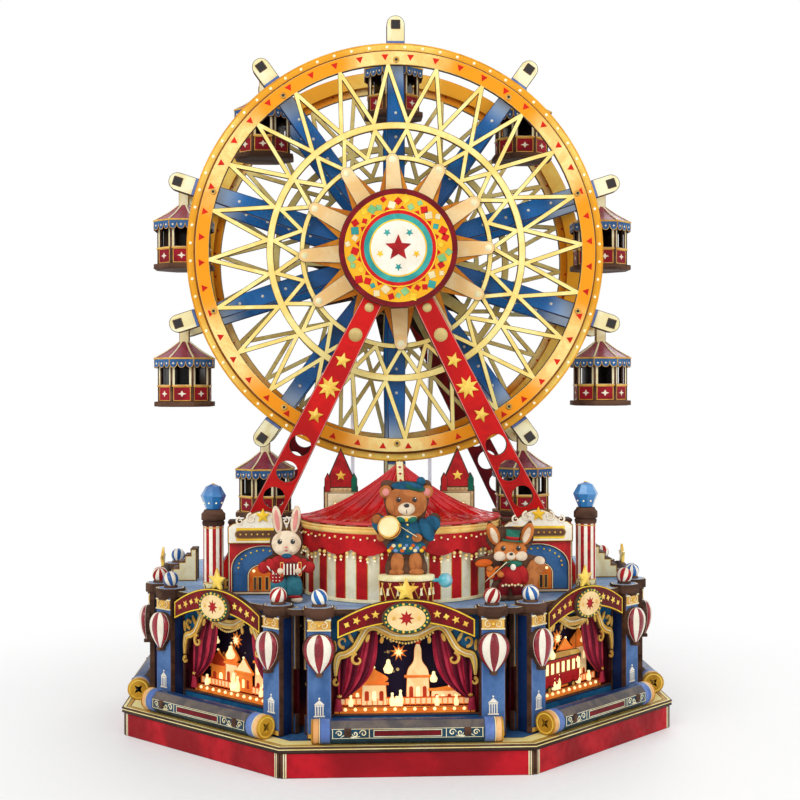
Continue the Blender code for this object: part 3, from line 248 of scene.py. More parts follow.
@functools.cache
def grain_group() -> bpy.types.NodeTree:
    """Long wood fibres with darker pores, on both raw and burnt plywood."""
    sheet = GroupSheet("wood_grain", {"Light": "colour", "Dark": "colour", "Scale": "value"},
                       {"Colour": "colour", "Fibre": "value"})
    stretch = sheet.node("Mapping")
    stretch.inputs["Scale"].default_value = (0.16, 1.0, 1.0)
    sheet.link(sheet.place, stretch.inputs["Vector"])
    fibre = sheet.noise(sheet.source["Scale"], stretch.outputs["Vector"], 6.0, 0.4)
    pores = sheet.noise(sheet.sum_of("MULTIPLY", sheet.source["Scale"], 5.0), stretch.outputs["Vector"], 2.0)
    both = sheet.sum_of("ADD", sheet.ramp(fibre, 0.35, 0.68, 0.0, 0.75), sheet.ramp(pores, 0.58, 0.72, 0.0, 0.4))
    sheet.link(sheet.mixed(both, sheet.source["Light"], sheet.source["Dark"]), sheet.result["Colour"])
    sheet.link(fibre, sheet.result["Fibre"])
    return sheet.tree


@functools.cache
def brushed_group() -> bpy.types.NodeTree:
    """Fine brushing and tarnish on metal."""
    sheet = GroupSheet("brushed", {"Bright": "colour", "Dull": "colour", "Scale": "value"},
                       {"Colour": "colour", "Scratch": "value"})
    stretch = sheet.node("Mapping")
    stretch.inputs["Scale"].default_value = (1.0, 0.05, 1.0)
    sheet.link(sheet.place, stretch.inputs["Vector"])
    scratch = sheet.noise(sheet.source["Scale"], stretch.outputs["Vector"], 4.0)
    tarnish = sheet.ramp(sheet.noise(90.0, sheet.place), 0.42, 0.70, 0.0, 0.8)
    sheet.link(sheet.mixed(tarnish, sheet.source["Bright"], sheet.source["Dull"]), sheet.result["Colour"])
    sheet.link(scratch, sheet.result["Scratch"])
    return sheet.tree


@functools.cache
def wheel_tone_group() -> bpy.types.NodeTree:
    """Pale and deep gold that take turns six times round the axle."""
    sheet = GroupSheet("wheel_tone", {"Pale": "colour", "Deep": "colour"}, {"Colour": "colour"})
    centre = sheet.node("Mapping")
    centre.inputs["Location"].default_value = (0.0, 0.0, -AXLE_Z * MM)
    sheet.link(sheet.place, centre.inputs["Vector"])
    parts = sheet.node("SeparateXYZ")
    sheet.link(centre.outputs["Vector"], parts.inputs["Vector"])
    angle = sheet.sum_of("ARCTAN2", parts.outputs["X"], parts.outputs["Z"])
    turn = sheet.sum_of("COSINE", sheet.sum_of("MULTIPLY", angle, 6.0))
    uneven = sheet.sum_of("MULTIPLY", sheet.noise(40.0, sheet.place), 1.2)
    wave = sheet.sum_of("SUBTRACT", turn, uneven)
    sheet.link(sheet.mixed(sheet.ramp(wave, -0.9, 0.3, 0.0, 1.0), sheet.source["Deep"], sheet.source["Pale"]),
               sheet.result["Colour"])
    return sheet.tree


# Finishes
class MaterialSheet(NodeSheet):
    """The node tree of one material, with its shader and the nodes that most finishes share."""

    def __init__(self, name: str) -> None:
        """Makes the material and keeps its shader."""
        self.material = bpy.data.materials.new(name)
        self.material.use_nodes = True
        super().__init__(self.material.node_tree)
        self.shader = self.tree.nodes["Principled BSDF"]

    def placed(self, group: bpy.types.NodeTree, **values: object) -> bpy.types.Node:
        """Places a node group and sets its inputs.

        Args:
            group: The group to place.
            **values: Numbers and linear colours, by input name.

        Returns:
            The group's node.
        """
        made = self.node("Group", node_tree=group)
        for name, value in values.items():
            made.inputs[name].default_value = value
        return made

    def relief(self, height: Socket, strength: float, depth: float = 0.0004) -> None:
        """Feeds a height to the shader as a bump.

        Args:
            height: The height value.
            strength: How strongly it shows.
            depth: The bump's depth in metres.
        """
        bump = self.node("Bump")
        bump.inputs["Strength"].default_value = strength
        bump.inputs["Distance"].default_value = depth
        self.link(height, bump.inputs["Height"])
        self.link(bump.outputs["Normal"], self.shader.inputs["Normal"])

    def surface(self, colour: Socket, height: Socket, rough: Point, shine: float = 0.5) -> None:
        """Feeds colour, roughness and shine to the shader.

        Args:
            colour: The base colour.
            height: The fine value that roughness follows.
            rough: Lowest and highest roughness.
            shine: Specular level.
        """
        self.link(colour, self.shader.inputs["Base Color"])
        self.link(self.ramp(height, 0.3, 0.7, *rough), self.shader.inputs["Roughness"])
        self.shader.inputs["Specular IOR Level"].default_value = shine


@dataclass(frozen=True)
class Finish:
    """A finish of the object, whose material is made when a piece first asks for it."""

    name: str

    @functools.cache
    def material(self) -> bpy.types.Material:
        """Makes the material, or gives the one made before."""
        sheet = MaterialSheet(self.name)
        self.dress(sheet)
        return sheet.material

    def dress(self, sheet: MaterialSheet) -> None:
        """Joins up the finish's nodes."""
        raise NotImplementedError


@dataclass(frozen=True)
class Paint(Finish):
    """A printed or painted face in two tones."""

    base: RGB
    shade: RGB
    rough: Point = (0.40, 0.60)
    scale: float = 75.0
    spread: float = 0.75
    coat: float = 0.0
    bump: float = 0.16
    glow: float = 0.0
    shine: float = 0.16

    def dress(self, sheet: MaterialSheet) -> None:
        """Joins up the finish's nodes."""
        tone = sheet.placed(painterly_group(), Base=linear(self.base), Shade=linear(self.shade), Scale=self.scale,
                            Spread=self.spread)
        sheet.surface(tone.outputs["Colour"], tone.outputs["Fine"], self.rough, self.shine)
        sheet.relief(tone.outputs["Fine"], self.bump)
        sheet.shader.inputs["Coat Weight"].default_value = self.coat
        sheet.shader.inputs["Coat Roughness"].default_value = 0.15
        # Painted light: glow makes the face emit its base colour though it is no lamp.
        if self.glow:
            sheet.shader.inputs["Emission Color"].default_value = linear(self.base)
            sheet.shader.inputs["Emission Strength"].default_value = self.glow


@dataclass(frozen=True)
class Timber(Finish):
    """Raw or burnt plywood with grain."""

    light: RGB
    dark: RGB
    rough: Point = (0.55, 0.80)
    scale: float = 160.0

    def dress(self, sheet: MaterialSheet) -> None:
        """Joins up the finish's nodes."""
        grain = sheet.placed(grain_group(), Light=linear(self.light), Dark=linear(self.dark), Scale=self.scale)
        sheet.surface(grain.outputs["Colour"], grain.outputs["Fibre"], self.rough, 0.15)
        sheet.relief(grain.outputs["Fibre"], 0.35)


@dataclass(frozen=True)
class Metal(Finish):
    """Brushed metal."""

    bright: RGB
    dull: RGB
    rough: Point = (0.18, 0.38)

    def dress(self, sheet: MaterialSheet) -> None:
        """Joins up the finish's nodes."""
        brushed = sheet.placed(brushed_group(), Bright=linear(self.bright), Dull=linear(self.dull), Scale=900.0)
        sheet.surface(brushed.outputs["Colour"], brushed.outputs["Scratch"], self.rough)
        sheet.relief(brushed.outputs["Scratch"], 0.12, 0.0001)
        sheet.shader.inputs["Metallic"].default_value = 1.0


@dataclass(frozen=True)
class WheelPrint(Finish):
    """Gold print whose tone changes round the axle."""

    pale: RGB
    deep: RGB

    def dress(self, sheet: MaterialSheet) -> None:
        """Joins up the finish's nodes."""
        turn = sheet.placed(wheel_tone_group(), Pale=linear(self.pale), Deep=linear(self.deep))
        tone = sheet.placed(painterly_group(), Shade=linear(self.deep), Scale=110.0, Spread=0.35)
        sheet.link(turn.outputs["Colour"], tone.inputs["Base"])
        sheet.surface(tone.outputs["Colour"], tone.outputs["Fine"], (0.32, 0.52), 0.25)
        sheet.relief(tone.outputs["Fine"], 0.14)


@dataclass(frozen=True)
class ArmPrintAndSheen(Finish):
    """Blue print with a painted sheen: a pale colour mixed in towards the rim of the wheel, standing in for a
    highlight.
    """

    base: RGB
    shade: RGB
    sheen: RGB

    def dress(self, sheet: MaterialSheet) -> None:
        """Joins up the finish's nodes."""
        centred = sheet.node("VectorMath", operation="SUBTRACT")
        sheet.link(sheet.node("TexCoord").outputs["Object"], centred.inputs[0])
        centred.inputs[1].default_value = (0.0, 0.0, AXLE_Z * MM)
        reach = sheet.node("VectorMath", operation="LENGTH")
        sheet.link(centred.outputs[0], reach.inputs[0])
        # Painted sheen: the pale colour rises to a share of 0.6 between 83 mm and 99 mm from the axle.
        pale = sheet.ramp(reach.outputs["Value"], 0.083, 0.099, 0.0, 0.6)
        tone = sheet.placed(painterly_group(), Base=linear(self.base), Shade=linear(self.shade), Scale=45.0, Spread=0.6)
        colour = sheet.mixed(pale, tone.outputs["Colour"], linear(self.sheen))
        sheet.surface(colour, tone.outputs["Fine"], (0.25, 0.42), 0.4)
        sheet.relief(tone.outputs["Fine"], 0.12)


@dataclass(frozen=True)
class NightSky(Finish):
    """Backdrop print: night blue above a warm glow, with small lights."""

    sky: RGB
    glow: RGB
    low: float
    high: float

    def dress(self, sheet: MaterialSheet) -> None:
        """Joins up the finish's nodes."""
        place = sheet.node("TexCoord").outputs["Object"]
        parts = sheet.node("SeparateXYZ")
        sheet.link(place, parts.inputs["Vector"])
        cloud = sheet.noise(60.0, place, 4.0, 0.6)
        ragged = sheet.sum_of("ADD", parts.outputs["Z"], sheet.sum_of("MULTIPLY", cloud, 0.012))
        rise = sheet.ramp(ragged, self.low * MM, self.high * MM, 0.0, 1.0)
        colour = sheet.mixed(rise, linear(self.glow), linear(self.sky))
        cells = sheet.node("TexVoronoi")
        cells.inputs["Scale"].default_value = 190.0
        sheet.link(place, cells.inputs["Vector"])
        stars = sheet.ramp(cells.outputs["Distance"], 0.10, 0.17, 1.0, 0.0)
        colour = sheet.mixed(stars, colour, linear((255, 225, 150)))
        sheet.surface(colour, cloud, (0.45, 0.65), 0.1)
        sheet.relief(cloud, 0.1)


@dataclass(frozen=True)
class Glass(Finish):
    """Tinted, see-through plastic with a soft haze."""

    tint: RGB
    haze: Point = (0.08, 0.22)
    clear: float = 0.7

    def dress(self, sheet: MaterialSheet) -> None:
        """Joins up the finish's nodes."""
        place = sheet.node("TexCoord").outputs["Object"]
        swirl = sheet.noise(150.0, place, 4.0, 0.5)
        colour = sheet.mixed(sheet.ramp(swirl, 0.4, 0.7, 0.0, 0.5), linear(self.tint), linear((240, 250, 255)))
        sheet.surface(colour, swirl, self.haze)
        sheet.shader.inputs["Transmission Weight"].default_value = self.clear
        sheet.shader.inputs["IOR"].default_value = 1.45


BURNT = Timber("burnt_edge", (92, 62, 46), (46, 30, 24))
BROWN = Timber("brown_ply", (104, 72, 52), (58, 38, 30))
RAW_PLY = Timber("raw_ply", (214, 178, 128), (168, 126, 80))
CRIMSON = Paint("plinth_crimson", (190, 22, 36), (126, 10, 20), scale=24.0, spread=0.8)
DARK_CRIMSON = Paint("dark_crimson", (128, 18, 28), (88, 12, 20))
CREAM_TOP = Paint("plinth_cream", (255, 244, 180), (244, 220, 130), scale=50.0)
GOLD_LINE = Paint("gold_line", (226, 178, 84), (178, 128, 50))
DARK_LINE = Paint("dark_line", (62, 42, 36), (40, 26, 24))
FLOOR_BLUE = Paint("floor_blue", (66, 112, 160), (40, 78, 128), scale=45.0)
DECK_BLUE = Paint("deck_blue", (150, 180, 214), (96, 132, 184), scale=60.0)
COLUMN_BLUE = Paint("column_blue", (84, 120, 172), (50, 86, 138), scale=55.0)
TEAL = Paint("header_teal", (40, 112, 156), (16, 72, 118), scale=70.0)
NAVY = Paint("navy_side", (20, 50, 102), (10, 30, 72))
GOLD = Paint("carved_gold", (240, 194, 92), (206, 140, 44), rough=(0.3, 0.48), scale=140.0, coat=0.3)
BRIGHT_GOLD = Paint("star_gold", (250, 216, 92), (222, 164, 44), rough=(0.25, 0.42), scale=90.0, coat=0.4)
CREAM = Paint("cream_print", (246, 238, 200), (226, 206, 150))
WHITE = Paint("white_print", (250, 244, 228), (226, 214, 190), spread=0.5)
RED = Paint("bright_red", (204, 28, 30), (156, 16, 22), coat=0.2)
ORANGE = Paint("orange_print", (234, 116, 34), (190, 74, 22))
BALLOON = Paint("balloon_red", (156, 10, 34), (110, 6, 20), rough=(0.2, 0.35), coat=0.3, shine=0.4)
PEACH_FIELD = Paint("medallion_field", (250, 222, 164), (238, 196, 128))
MAROON = Paint("sign_maroon", (126, 14, 22), (78, 8, 14))
YELLOW = Paint("yellow_edge", (252, 214, 62), (232, 176, 36))
GREEN = Paint("medallion_green", (16, 100, 76), (8, 66, 54))
CURTAIN = Paint("curtain_front", (206, 48, 76), (158, 24, 54), rough=(0.45, 0.65), scale=120.0, shine=0.3)
CURTAIN_DARK = Paint("curtain_rear", (120, 30, 50), (78, 14, 34), rough=(0.6, 0.8))
ROLLER_TEAL = Paint("roller_teal", (16, 66, 88), (8, 42, 60), rough=(0.25, 0.4), shine=0.3)
ROLLER_ASH = Paint("roller_ash", (112, 100, 92), (74, 72, 76), scale=90.0)
ROLLER_BLUE = Paint("roller_blue", (26, 66, 118), (14, 44, 86), rough=(0.3, 0.45), shine=0.3)
RING_BLUE = Paint("ring_blue", (112, 138, 196), (78, 106, 168))
PEACH = Paint("ring_peach", (244, 196, 136), (222, 154, 92))
CAP_GOLD = Paint("cap_gold", (208, 158, 46), (164, 112, 26))
LEG_RED = Paint("leg_red", (206, 18, 16), (168, 8, 12), scale=40.0, shine=0.2)
KNOB_TAN = Paint("knob_tan", (214, 190, 122), (184, 156, 88), rough=(0.3, 0.45), shine=0.4)
ARM_BLUE = ArmPrintAndSheen("arm_blue", (0, 106, 180), (0, 72, 138), (214, 230, 240))
BALL_BLUE = Paint("ball_blue", (24, 100, 172), (10, 70, 134), rough=(0.2, 0.35), shine=0.4)
ARM_CREAM = Paint("arm_cream", (250, 244, 204), (232, 216, 150))
BADGE_RED = Paint("badge_red", (216, 30, 30), (186, 20, 24))
BADGE_GOLD = Paint("badge_gold", (252, 190, 44), (240, 164, 26), rough=(0.3, 0.45))
BADGE_TEAL = Paint("badge_teal", (66, 170, 162), (40, 134, 134))
TRUSS = Paint("truss_yellow", (255, 238, 156), (246, 212, 112), scale=60.0, shine=0.25)
TRUSS_BACK = Paint("truss_back", (252, 232, 150), (226, 192, 104), scale=60.0)
# Painted shade: brown for a thin ring on the rim band, where the step beside the plate's rim falls in shade.
BAND_EDGE_SHADE = Paint("band_edge_shade", (176, 98, 16), (140, 70, 8), scale=70.0)
EAVE = Paint("tent_eave", (246, 208, 128), (232, 178, 84), scale=60.0, shine=0.3)
BADGE_LEAF = Paint("badge_leaf", (150, 206, 140), (110, 176, 110))
SPOKE_PEACH = Paint("spoke_peach", (252, 220, 164), (244, 194, 122), scale=60.0)
SPOKE_ORANGE = Paint("spoke_orange", (226, 142, 40), (190, 102, 22))
TRIANGLE_RED = Paint("triangle_red", (222, 40, 18), (188, 24, 14))
RING_PRINT = WheelPrint("ring_gold", (255, 230, 150), (250, 154, 12))
BAND_PRINT = WheelPrint("band_gold", (255, 220, 110), (244, 168, 34))
# The glow of the next five finishes is painted light: the beads, windows and scenery prints that take them are no
# lamps.
LIGHT = Paint("small_light", (255, 246, 214), (255, 232, 170), rough=(0.15, 0.3), glow=0.35)
BULB = Paint("warm_bulb", (255, 236, 176), (255, 214, 120), rough=(0.15, 0.3), glow=0.9)
LIT_CREAM = Paint("lit_cream", (255, 226, 168), (248, 180, 96), scale=130.0, glow=0.35)
LIT_ORANGE = Paint("lit_orange", (246, 140, 52), (220, 84, 28), scale=130.0, glow=0.3)
LIT_ROOF = Paint("lit_roof", (214, 70, 34), (160, 36, 26), scale=130.0, glow=0.1)
LIT_BLUE = Paint("lit_teal", (96, 140, 140), (60, 100, 110), scale=130.0)
TENT_RED = Paint("tent_red", (196, 22, 28), (150, 12, 20))
TENT_CREAM = Paint("tent_cream", (240, 234, 206), (218, 206, 168))
ROOF_RED = Paint("tent_roof_red", (200, 10, 24), (150, 2, 14), rough=(0.1, 0.2), scale=45.0, coat=0.35, bump=0.05,
                 shine=0.3)
ROOF_RIDGE = Paint("tent_ridge", (216, 70, 70), (186, 34, 44), rough=(0.2, 0.35), shine=0.4)
STONE = Paint("castle_stone", (214, 190, 140), (176, 144, 96))
BEAD = Paint("garland_bead", (250, 222, 140), (236, 190, 90), rough=(0.2, 0.35), coat=0.4)
GONDOLA_ROOF = Paint("gondola_roof", (150, 40, 70), (108, 22, 48), rough=(0.25, 0.4), shine=0.4)
VALANCE_BLUE = Paint("valance_blue", (62, 108, 158), (36, 78, 128))
PANEL_RED = Paint("gondola_panel", (164, 24, 40), (120, 14, 28))
LANTERN_BLUE = Paint("lantern_blue", (52, 138, 200), (20, 84, 150), rough=(0.1, 0.22), scale=60.0, coat=0.5, shine=0.5)
FUR_BROWN = Paint("fur_brown", (188, 116, 62), (148, 82, 40), rough=(0.6, 0.8), scale=180.0, bump=0.4)
FUR_CREAM = Paint("fur_cream", (236, 216, 188), (206, 178, 146), rough=(0.6, 0.8), scale=180.0, bump=0.4)
FUR_FOX = Paint("fur_fox", (206, 122, 58), (162, 84, 34), rough=(0.6, 0.8), scale=180.0, bump=0.4)
PINK = Paint("ear_pink", (228, 150, 140), (206, 118, 112))
COAT_BLUE = Paint("coat_blue", (34, 92, 122), (18, 62, 88), rough=(0.55, 0.75), scale=160.0)
TROUSER_TEAL = Paint("trouser_teal", (52, 118, 132), (32, 84, 98), rough=(0.55, 0.75), scale=160.0)
CLOTH_RED = Paint("cloth_red", (178, 34, 36), (132, 18, 24), rough=(0.55, 0.75), scale=160.0)
CLOTH_GREEN = Paint("cloth_green", (40, 112, 92), (22, 78, 62), rough=(0.55, 0.75), scale=160.0)
EYE = Paint("bead_eye", (34, 24, 22), (20, 14, 12), rough=(0.1, 0.2), coat=0.8)
NIGHT = NightSky("stage_sky", (34, 26, 54), (222, 120, 40), 8.0, 34.0)
CYAN = Glass("cyan_ball", (70, 200, 220), clear=0.35)
# Painted light: glow=0.3 brightens the belt where side light leaves it in shade.
PALE_BELT = Paint("belt_pale", (240, 240, 250), (224, 226, 240), rough=(0.2, 0.35), glow=0.3, shine=0.5)
STEEL = Metal("steel", (196, 198, 204), (150, 152, 160))
BRASS = Metal("brass", (222, 178, 92), (176, 128, 58))


# Outlines
def ring(radius: float, count: int, start: float = 0.0, centre: Point = (0.0, 0.0)) -> list[Point]:
    """Points spaced evenly on a circle.

    Args:
        radius: The circle's radius.
        count: How many points.
        start: Angle of the first point in degrees.
        centre: The circle's centre.

    Returns:
        The points, anticlockwise.
    """
    angles = [math.radians(start + 360 * i / count) for i in range(count)]
    return [(centre[0] + radius * math.cos(a), centre[1] + radius * math.sin(a)) for a in angles]


def arc(radius: float, start: float, end: float, steps: int, centre: Point = (0.0, 0.0)) -> list[Point]:
    """Points along an arc, both ends included.

    Args:
        radius: The arc's radius.
        start: Angle of its first point in degrees.
        end: Angle of its last point in degrees.
        steps: How many stretches it has.
        centre: The arc's centre.

    Returns:
        The points in order.
    """
    angles = [math.radians(start + (end - start) * i / steps) for i in range(steps + 1)]
    return [(centre[0] + radius * math.cos(a), centre[1] + radius * math.sin(a)) for a in angles]


def oval(width: float, height: float, count: int, tilt: float = 0.0) -> list[Point]:
    """Outline of an oval.

    Args:
        width: Its whole width.
        height: Its whole height.
        count: How many points.
        tilt: How far it is turned, in degrees.

    Returns:
        The points in order.
    """
    turn = Matrix.Rotation(math.radians(tilt), 2)
    return [tuple(turn @ Vector((x * width / 2, y * height / 2))) for x, y in ring(1.0, count)]


def rectangle(x0: float, x1: float, z0: float, z1: float) -> list[Point]:
    """Corners of a rectangle."""
    return [(x0, z0), (x1, z0), (x1, z1), (x0, z1)]


def octagon(apothem: float) -> list[Point]:
    """Corners of an octagon whose sides face the axes."""
    return ring(apothem / math.cos(math.pi / 8), 8, 22.5)


def star(radius: float, points: int = 5, inner: float = 0.45, turn: float = 90.0) -> list[Point]:
    """Outline of a star.

    Args:
        radius: Distance of its tips from its centre.
        points: How many tips.
        inner: Share of the radius where its inner corners lie.
        turn: Angle of the first tip in degrees.

    Returns:
        The points in order.
    """
    corners = []
    for i, (x, z) in enumerate(ring(radius, 2 * points, turn)):
        share = inner if i % 2 else 1.0
        corners.append((x * share, z * share))
    return corners


def arched(half: float, low: float, spring: float, steps: int, rise: float = 1.0) -> list[Point]:
    """Outline of an opening with a round top.

    Args:
        half: Half its width.
        low: Height of its sill.
        spring: Height where its arch starts.
        steps: How many stretches the arch has.
        rise: Height of the arch as a share of a half circle's.

    Returns:
        The points in order.
    """
    curve = [(x, spring + z * rise) for x, z in arc(half, 0, 180, steps)[1:-1]]
    return [(-half, low), (half, low), (half, spring), *curve, (-half, spring)]


def mirrored(half: Outline) -> list[Point]:
    """A closed outline from its right half, listed from the bottom centre to the top centre."""
    return [*half, *((-x, z) for x, z in reversed(half) if x > 0)]


def smooth_line(points: Outline, steps: int) -> list[Point]:
    """A curve that passes through points.

    Args:
        points: The points it passes through.
        steps: How many stretches lie between two of them.

    Returns:
        The curve's points.
    """
    ends = [points[0], *points, points[-1]]
    curve = []
    for i in range(1, len(ends) - 2):
        a, b, c, d = (Vector(ends[i + k]) for k in (-1, 0, 1, 2))
        bend, twist = 2 * a - 5 * b + 4 * c - d, 3 * b - a - 3 * c + d
        for step in range(steps):
            t = step / steps
            place = 0.5 * (2 * b + (c - a) * t + bend * t ** 2 + twist * t ** 3)
            curve.append((place.x, place.y))
    return [*curve, tuple(points[-1])]


def ribbon(line: Outline, widths: Sequence[float]) -> list[Point]:
    """Outline of a band that follows a line.

    Args:
        line: The band's middle line.
        widths: Widths spread evenly along the line.

    Returns:
        The band's outline.
    """
    left, right = [], []
    for i, place in enumerate(line):
        along = Vector(line[min(i + 1, len(line) - 1)]) - Vector(line[max(i - 1, 0)])
        share = i / (len(line) - 1) * (len(widths) - 1)
        low = min(int(share), len(widths) - 2)
        half = (widths[low] + (widths[low + 1] - widths[low]) * (share - low)) / 2
        across = Vector((-along.y, along.x)).normalized() * half
        left.append((place[0] + across.x, place[1] + across.y))
        right.append((place[0] - across.x, place[1] - across.y))
    return left + right[::-1]


def spiral(centre: Point, start: float, end: float, radius: float, last: float, steps: int = 18) -> list[Point]:
    """Middle line of a scroll that winds inward.

    Args:
        centre: The scroll's centre.
        start: First angle in degrees.
        end: Last angle in degrees.
        radius: Radius at the first angle.
        last: Radius at the last angle.
        steps: How many stretches.

    Returns:
        The line's points.
    """
    line = []
    for i in range(steps + 1):
        share = i / steps
        angle = math.radians(start + (end - start) * share)
        reach = radius + (last - radius) * share
        line.append((centre[0] + reach * math.cos(angle), centre[1] + reach * math.sin(angle)))
    return line


# Shapes
def sharp_edges(shape: Shape, least: float) -> list[bmesh.types.BMEdge]:
    """Edges whose two faces meet at more than an angle in degrees."""
    limit = math.radians(least)
    return [edge for edge in shape.edges if len(edge.link_faces) == 2 and edge.calc_face_angle(0.0) > limit]


def softened(shape: Shape, width: float, segments: int = 1, least: float = 30.0) -> Shape:
    """Rounds the sharp edges of a shape.

    Args:
        shape: The shape, which is changed.
        width: How wide the rounding is.
        segments: How many faces it has across.
        least: Angle in degrees over which an edge counts as sharp.

    Returns:
        The same shape.
    """
    bmesh.ops.bevel(shape, geom=sharp_edges(shape, least), offset=width, offset_type="OFFSET", segments=segments,
                    profile=0.5, affect="EDGES", clamp_overlap=True, material=-1)
    return shape


def board(outline: Outline, thickness: float = PLY, holes: Sequence[Outline] = (),
          borders: Lines = (), bevel: float = 0.18, back: int = 1) -> Shape:
    """A board drawn in X and Z, with its printed face towards -Y at y = 0 and its back at y = thickness.

    Args:
        outline: The board's outline.
        thickness: The board's thickness.
        holes: Outlines of its holes.
        borders: Width and finish index of each printed line along the edges, from the outside in.
        bevel: Width of the worn edge.
        back: Finish index of its back.

    Returns:
        The shape. Finish 0 is its face and finish 1 its edges.
    """
    shape = bmesh.new()
    edges = []
    for loop in (outline, *holes):
        corners = [shape.verts.new((x, 0.0, z)) for x, z in loop]
        edges += [shape.edges.new(pair) for pair in zip(corners, corners[1:] + corners[:1])]
    bmesh.ops.triangle_fill(shape, use_beauty=True, edges=edges, normal=(0.0, -1.0, 0.0))
    inner = list(shape.faces)
    for width, index in borders:
        made = bmesh.ops.inset_region(shape, faces=inner, thickness=width, use_even_offset=True, use_boundary=True)
        for face in made["faces"]:
            face.material_index = index
    made = bmesh.ops.extrude_face_region(shape, geom=list(shape.faces))
    far = [item for item in made["geom"] if isinstance(item, bmesh.types.BMVert)]
    bmesh.ops.translate(shape, vec=(0.0, thickness, 0.0), verts=far)
    bmesh.ops.recalc_face_normals(shape, faces=shape.faces)
    if bevel:
        softened(shape, bevel)
    for face in shape.faces:
        if face.normal.y > -0.99:
            face.material_index = back if face.normal.y > 0.99 else 1
    return shape


def flat_board(outline: Outline, thickness: float = PLY, holes: Sequence[Outline] = (),
               borders: Lines = (), bevel: float = 0.18) -> Shape:
    """A board drawn in X and Y that lies with its printed face up at z = 0; it takes what board() takes."""
    shape = board(outline, thickness, holes, borders, bevel)
    bmesh.ops.rotate(shape, matrix=Matrix.Rotation(-math.pi / 2, 3, "X"), verts=shape.verts)
    return shape


def block(size: Sequence[float], centre: Sequence[float], bevel: float = 0.2, segments: int = 2) -> Shape:
    """A block with worn edges.

    Args:
        size: Its three sides.
        centre: Its centre.
        bevel: Width of the worn edge.
        segments: How many faces the worn edge has across.

    Returns:
        The shape.
    """
    shape = bmesh.new()
    bmesh.ops.create_cube(shape, size=1.0)
    bmesh.ops.scale(shape, vec=size, verts=shape.verts)
    bmesh.ops.translate(shape, vec=centre, verts=shape.verts)
    return softened(shape, bevel, segments)


def turned(profile: Outline, sides: int, start: float = 0.0) -> Shape:
    """A shape turned about Z.

    Args:
        profile: Radius and height of each point; the first and last lie on the axis in a closed shape.
        sides: How many faces it has round it.
        start: Angle of its first section in degrees, from +X.

    Returns:
        The shape.
    """
    shape = bmesh.new()
    angle = math.radians(start)
    corners = [shape.verts.new((r * math.cos(angle), r * math.sin(angle), z)) for r, z in profile]
    edges = [shape.edges.new(pair) for pair in zip(corners, corners[1:])]
    bmesh.ops.spin(shape, geom=corners + edges, cent=(0.0, 0.0, 0.0), axis=(0.0, 0.0, 1.0), dvec=(0.0, 0.0, 0.0),
                   angle=2 * math.pi, steps=sides, use_merge=True)
    bmesh.ops.remove_doubles(shape, verts=shape.verts, dist=MERGE)
    bmesh.ops.recalc_face_normals(shape, faces=shape.faces)
    return shape


def ball(size: Sequence[float], centre: Sequence[float] = (0.0, 0.0, 0.0), sides: int = 16, rings: int = 10) -> Shape:
    """A ball or a swollen disc.

    Args:
        size: Its three diameters.
        centre: Its centre.
        sides: How many faces it has round it.
        rings: How many faces it has from pole to pole.

    Returns:
        The shape.
    """
    shape = bmesh.new()
    bmesh.ops.create_uvsphere(shape, u_segments=sides, v_segments=rings, radius=0.5)
    bmesh.ops.scale(shape, vec=size, verts=shape.verts)
    bmesh.ops.translate(shape, vec=centre, verts=shape.verts)
    return shape


def bead(radius: float, centre: Sequence[float]) -> Shape:
    """A small bead with few faces."""
    shape = bmesh.new()
    bmesh.ops.create_icosphere(shape, subdivisions=2, radius=radius)
    bmesh.ops.translate(shape, vec=centre, verts=shape.verts)
    return shape


def raised_star(radius: float, rise: float, thickness: float, points: int = 5, inner: float = 0.45) -> Shape:
    """A star whose face rises to its middle, with its back at y = 0.

    Args:
        radius: Distance of its tips from its centre.
        rise: How far its middle stands out from its rim.
        thickness: Thickness of its rim.
        points: How many tips.
        inner: Share of the radius where its inner corners lie.

    Returns:
        The shape.
    """
    shape = bmesh.new()
    corners = [shape.verts.new((x, 0.0, z)) for x, z in star(radius, points, inner)]
    face = shape.faces.new(corners)
    made = bmesh.ops.extrude_face_region(shape, geom=[face])
    near = [item for item in made["geom"] if isinstance(item, bmesh.types.BMVert)]
    bmesh.ops.translate(shape, vec=(0.0, -thickness, 0.0), verts=near)
    front = [item for item in made["geom"] if isinstance(item, bmesh.types.BMFace)]
    crown = bmesh.ops.poke(shape, faces=front)
    bmesh.ops.translate(shape, vec=(0.0, -rise, 0.0), verts=crown["verts"])
    bmesh.ops.recalc_face_normals(shape, faces=shape.faces)
    return softened(shape, 0.08, 1, 20.0)


def mirror_x(shape: Shape) -> Shape:
    """A mirror image of a shape across x = 0."""
    copy = shape.copy()
    bmesh.ops.scale(copy, vec=(-1.0, 1.0, 1.0), verts=copy.verts)
    bmesh.ops.reverse_faces(copy, faces=copy.faces)
    return copy


def painted(shape: Shape, index_of: Callable[[Vector, Vector], int]) -> Shape:
    """Chooses the finish of each face from its centre and its normal.

    Args:
        shape: The shape, which is changed.
        index_of: Gives the finish's index.

    Returns:
        The same shape.
    """
    shape.normal_update()
    for face in shape.faces:
        face.material_index = index_of(face.calc_center_median(), face.normal)
    return shape


def moved(x: float = 0.0, y: float = 0.0, z: float = 0.0) -> Matrix:
    """A shift."""
    return Matrix.Translation((x, y, z))


def turned_by(degrees: float, axis: str = "Z") -> Matrix:
    """A turn about an axis."""
    return Matrix.Rotation(math.radians(degrees), 4, axis)


ALONG_Y = turned_by(-90.0, "X")
THEATRES = {number: turned_by(side) for number, side in enumerate(FRONT_SIDES, start=1)}
WHEEL_FACES = {"front": moved(z=AXLE_Z), "rear": moved(z=AXLE_Z) @ turned_by(180.0)}


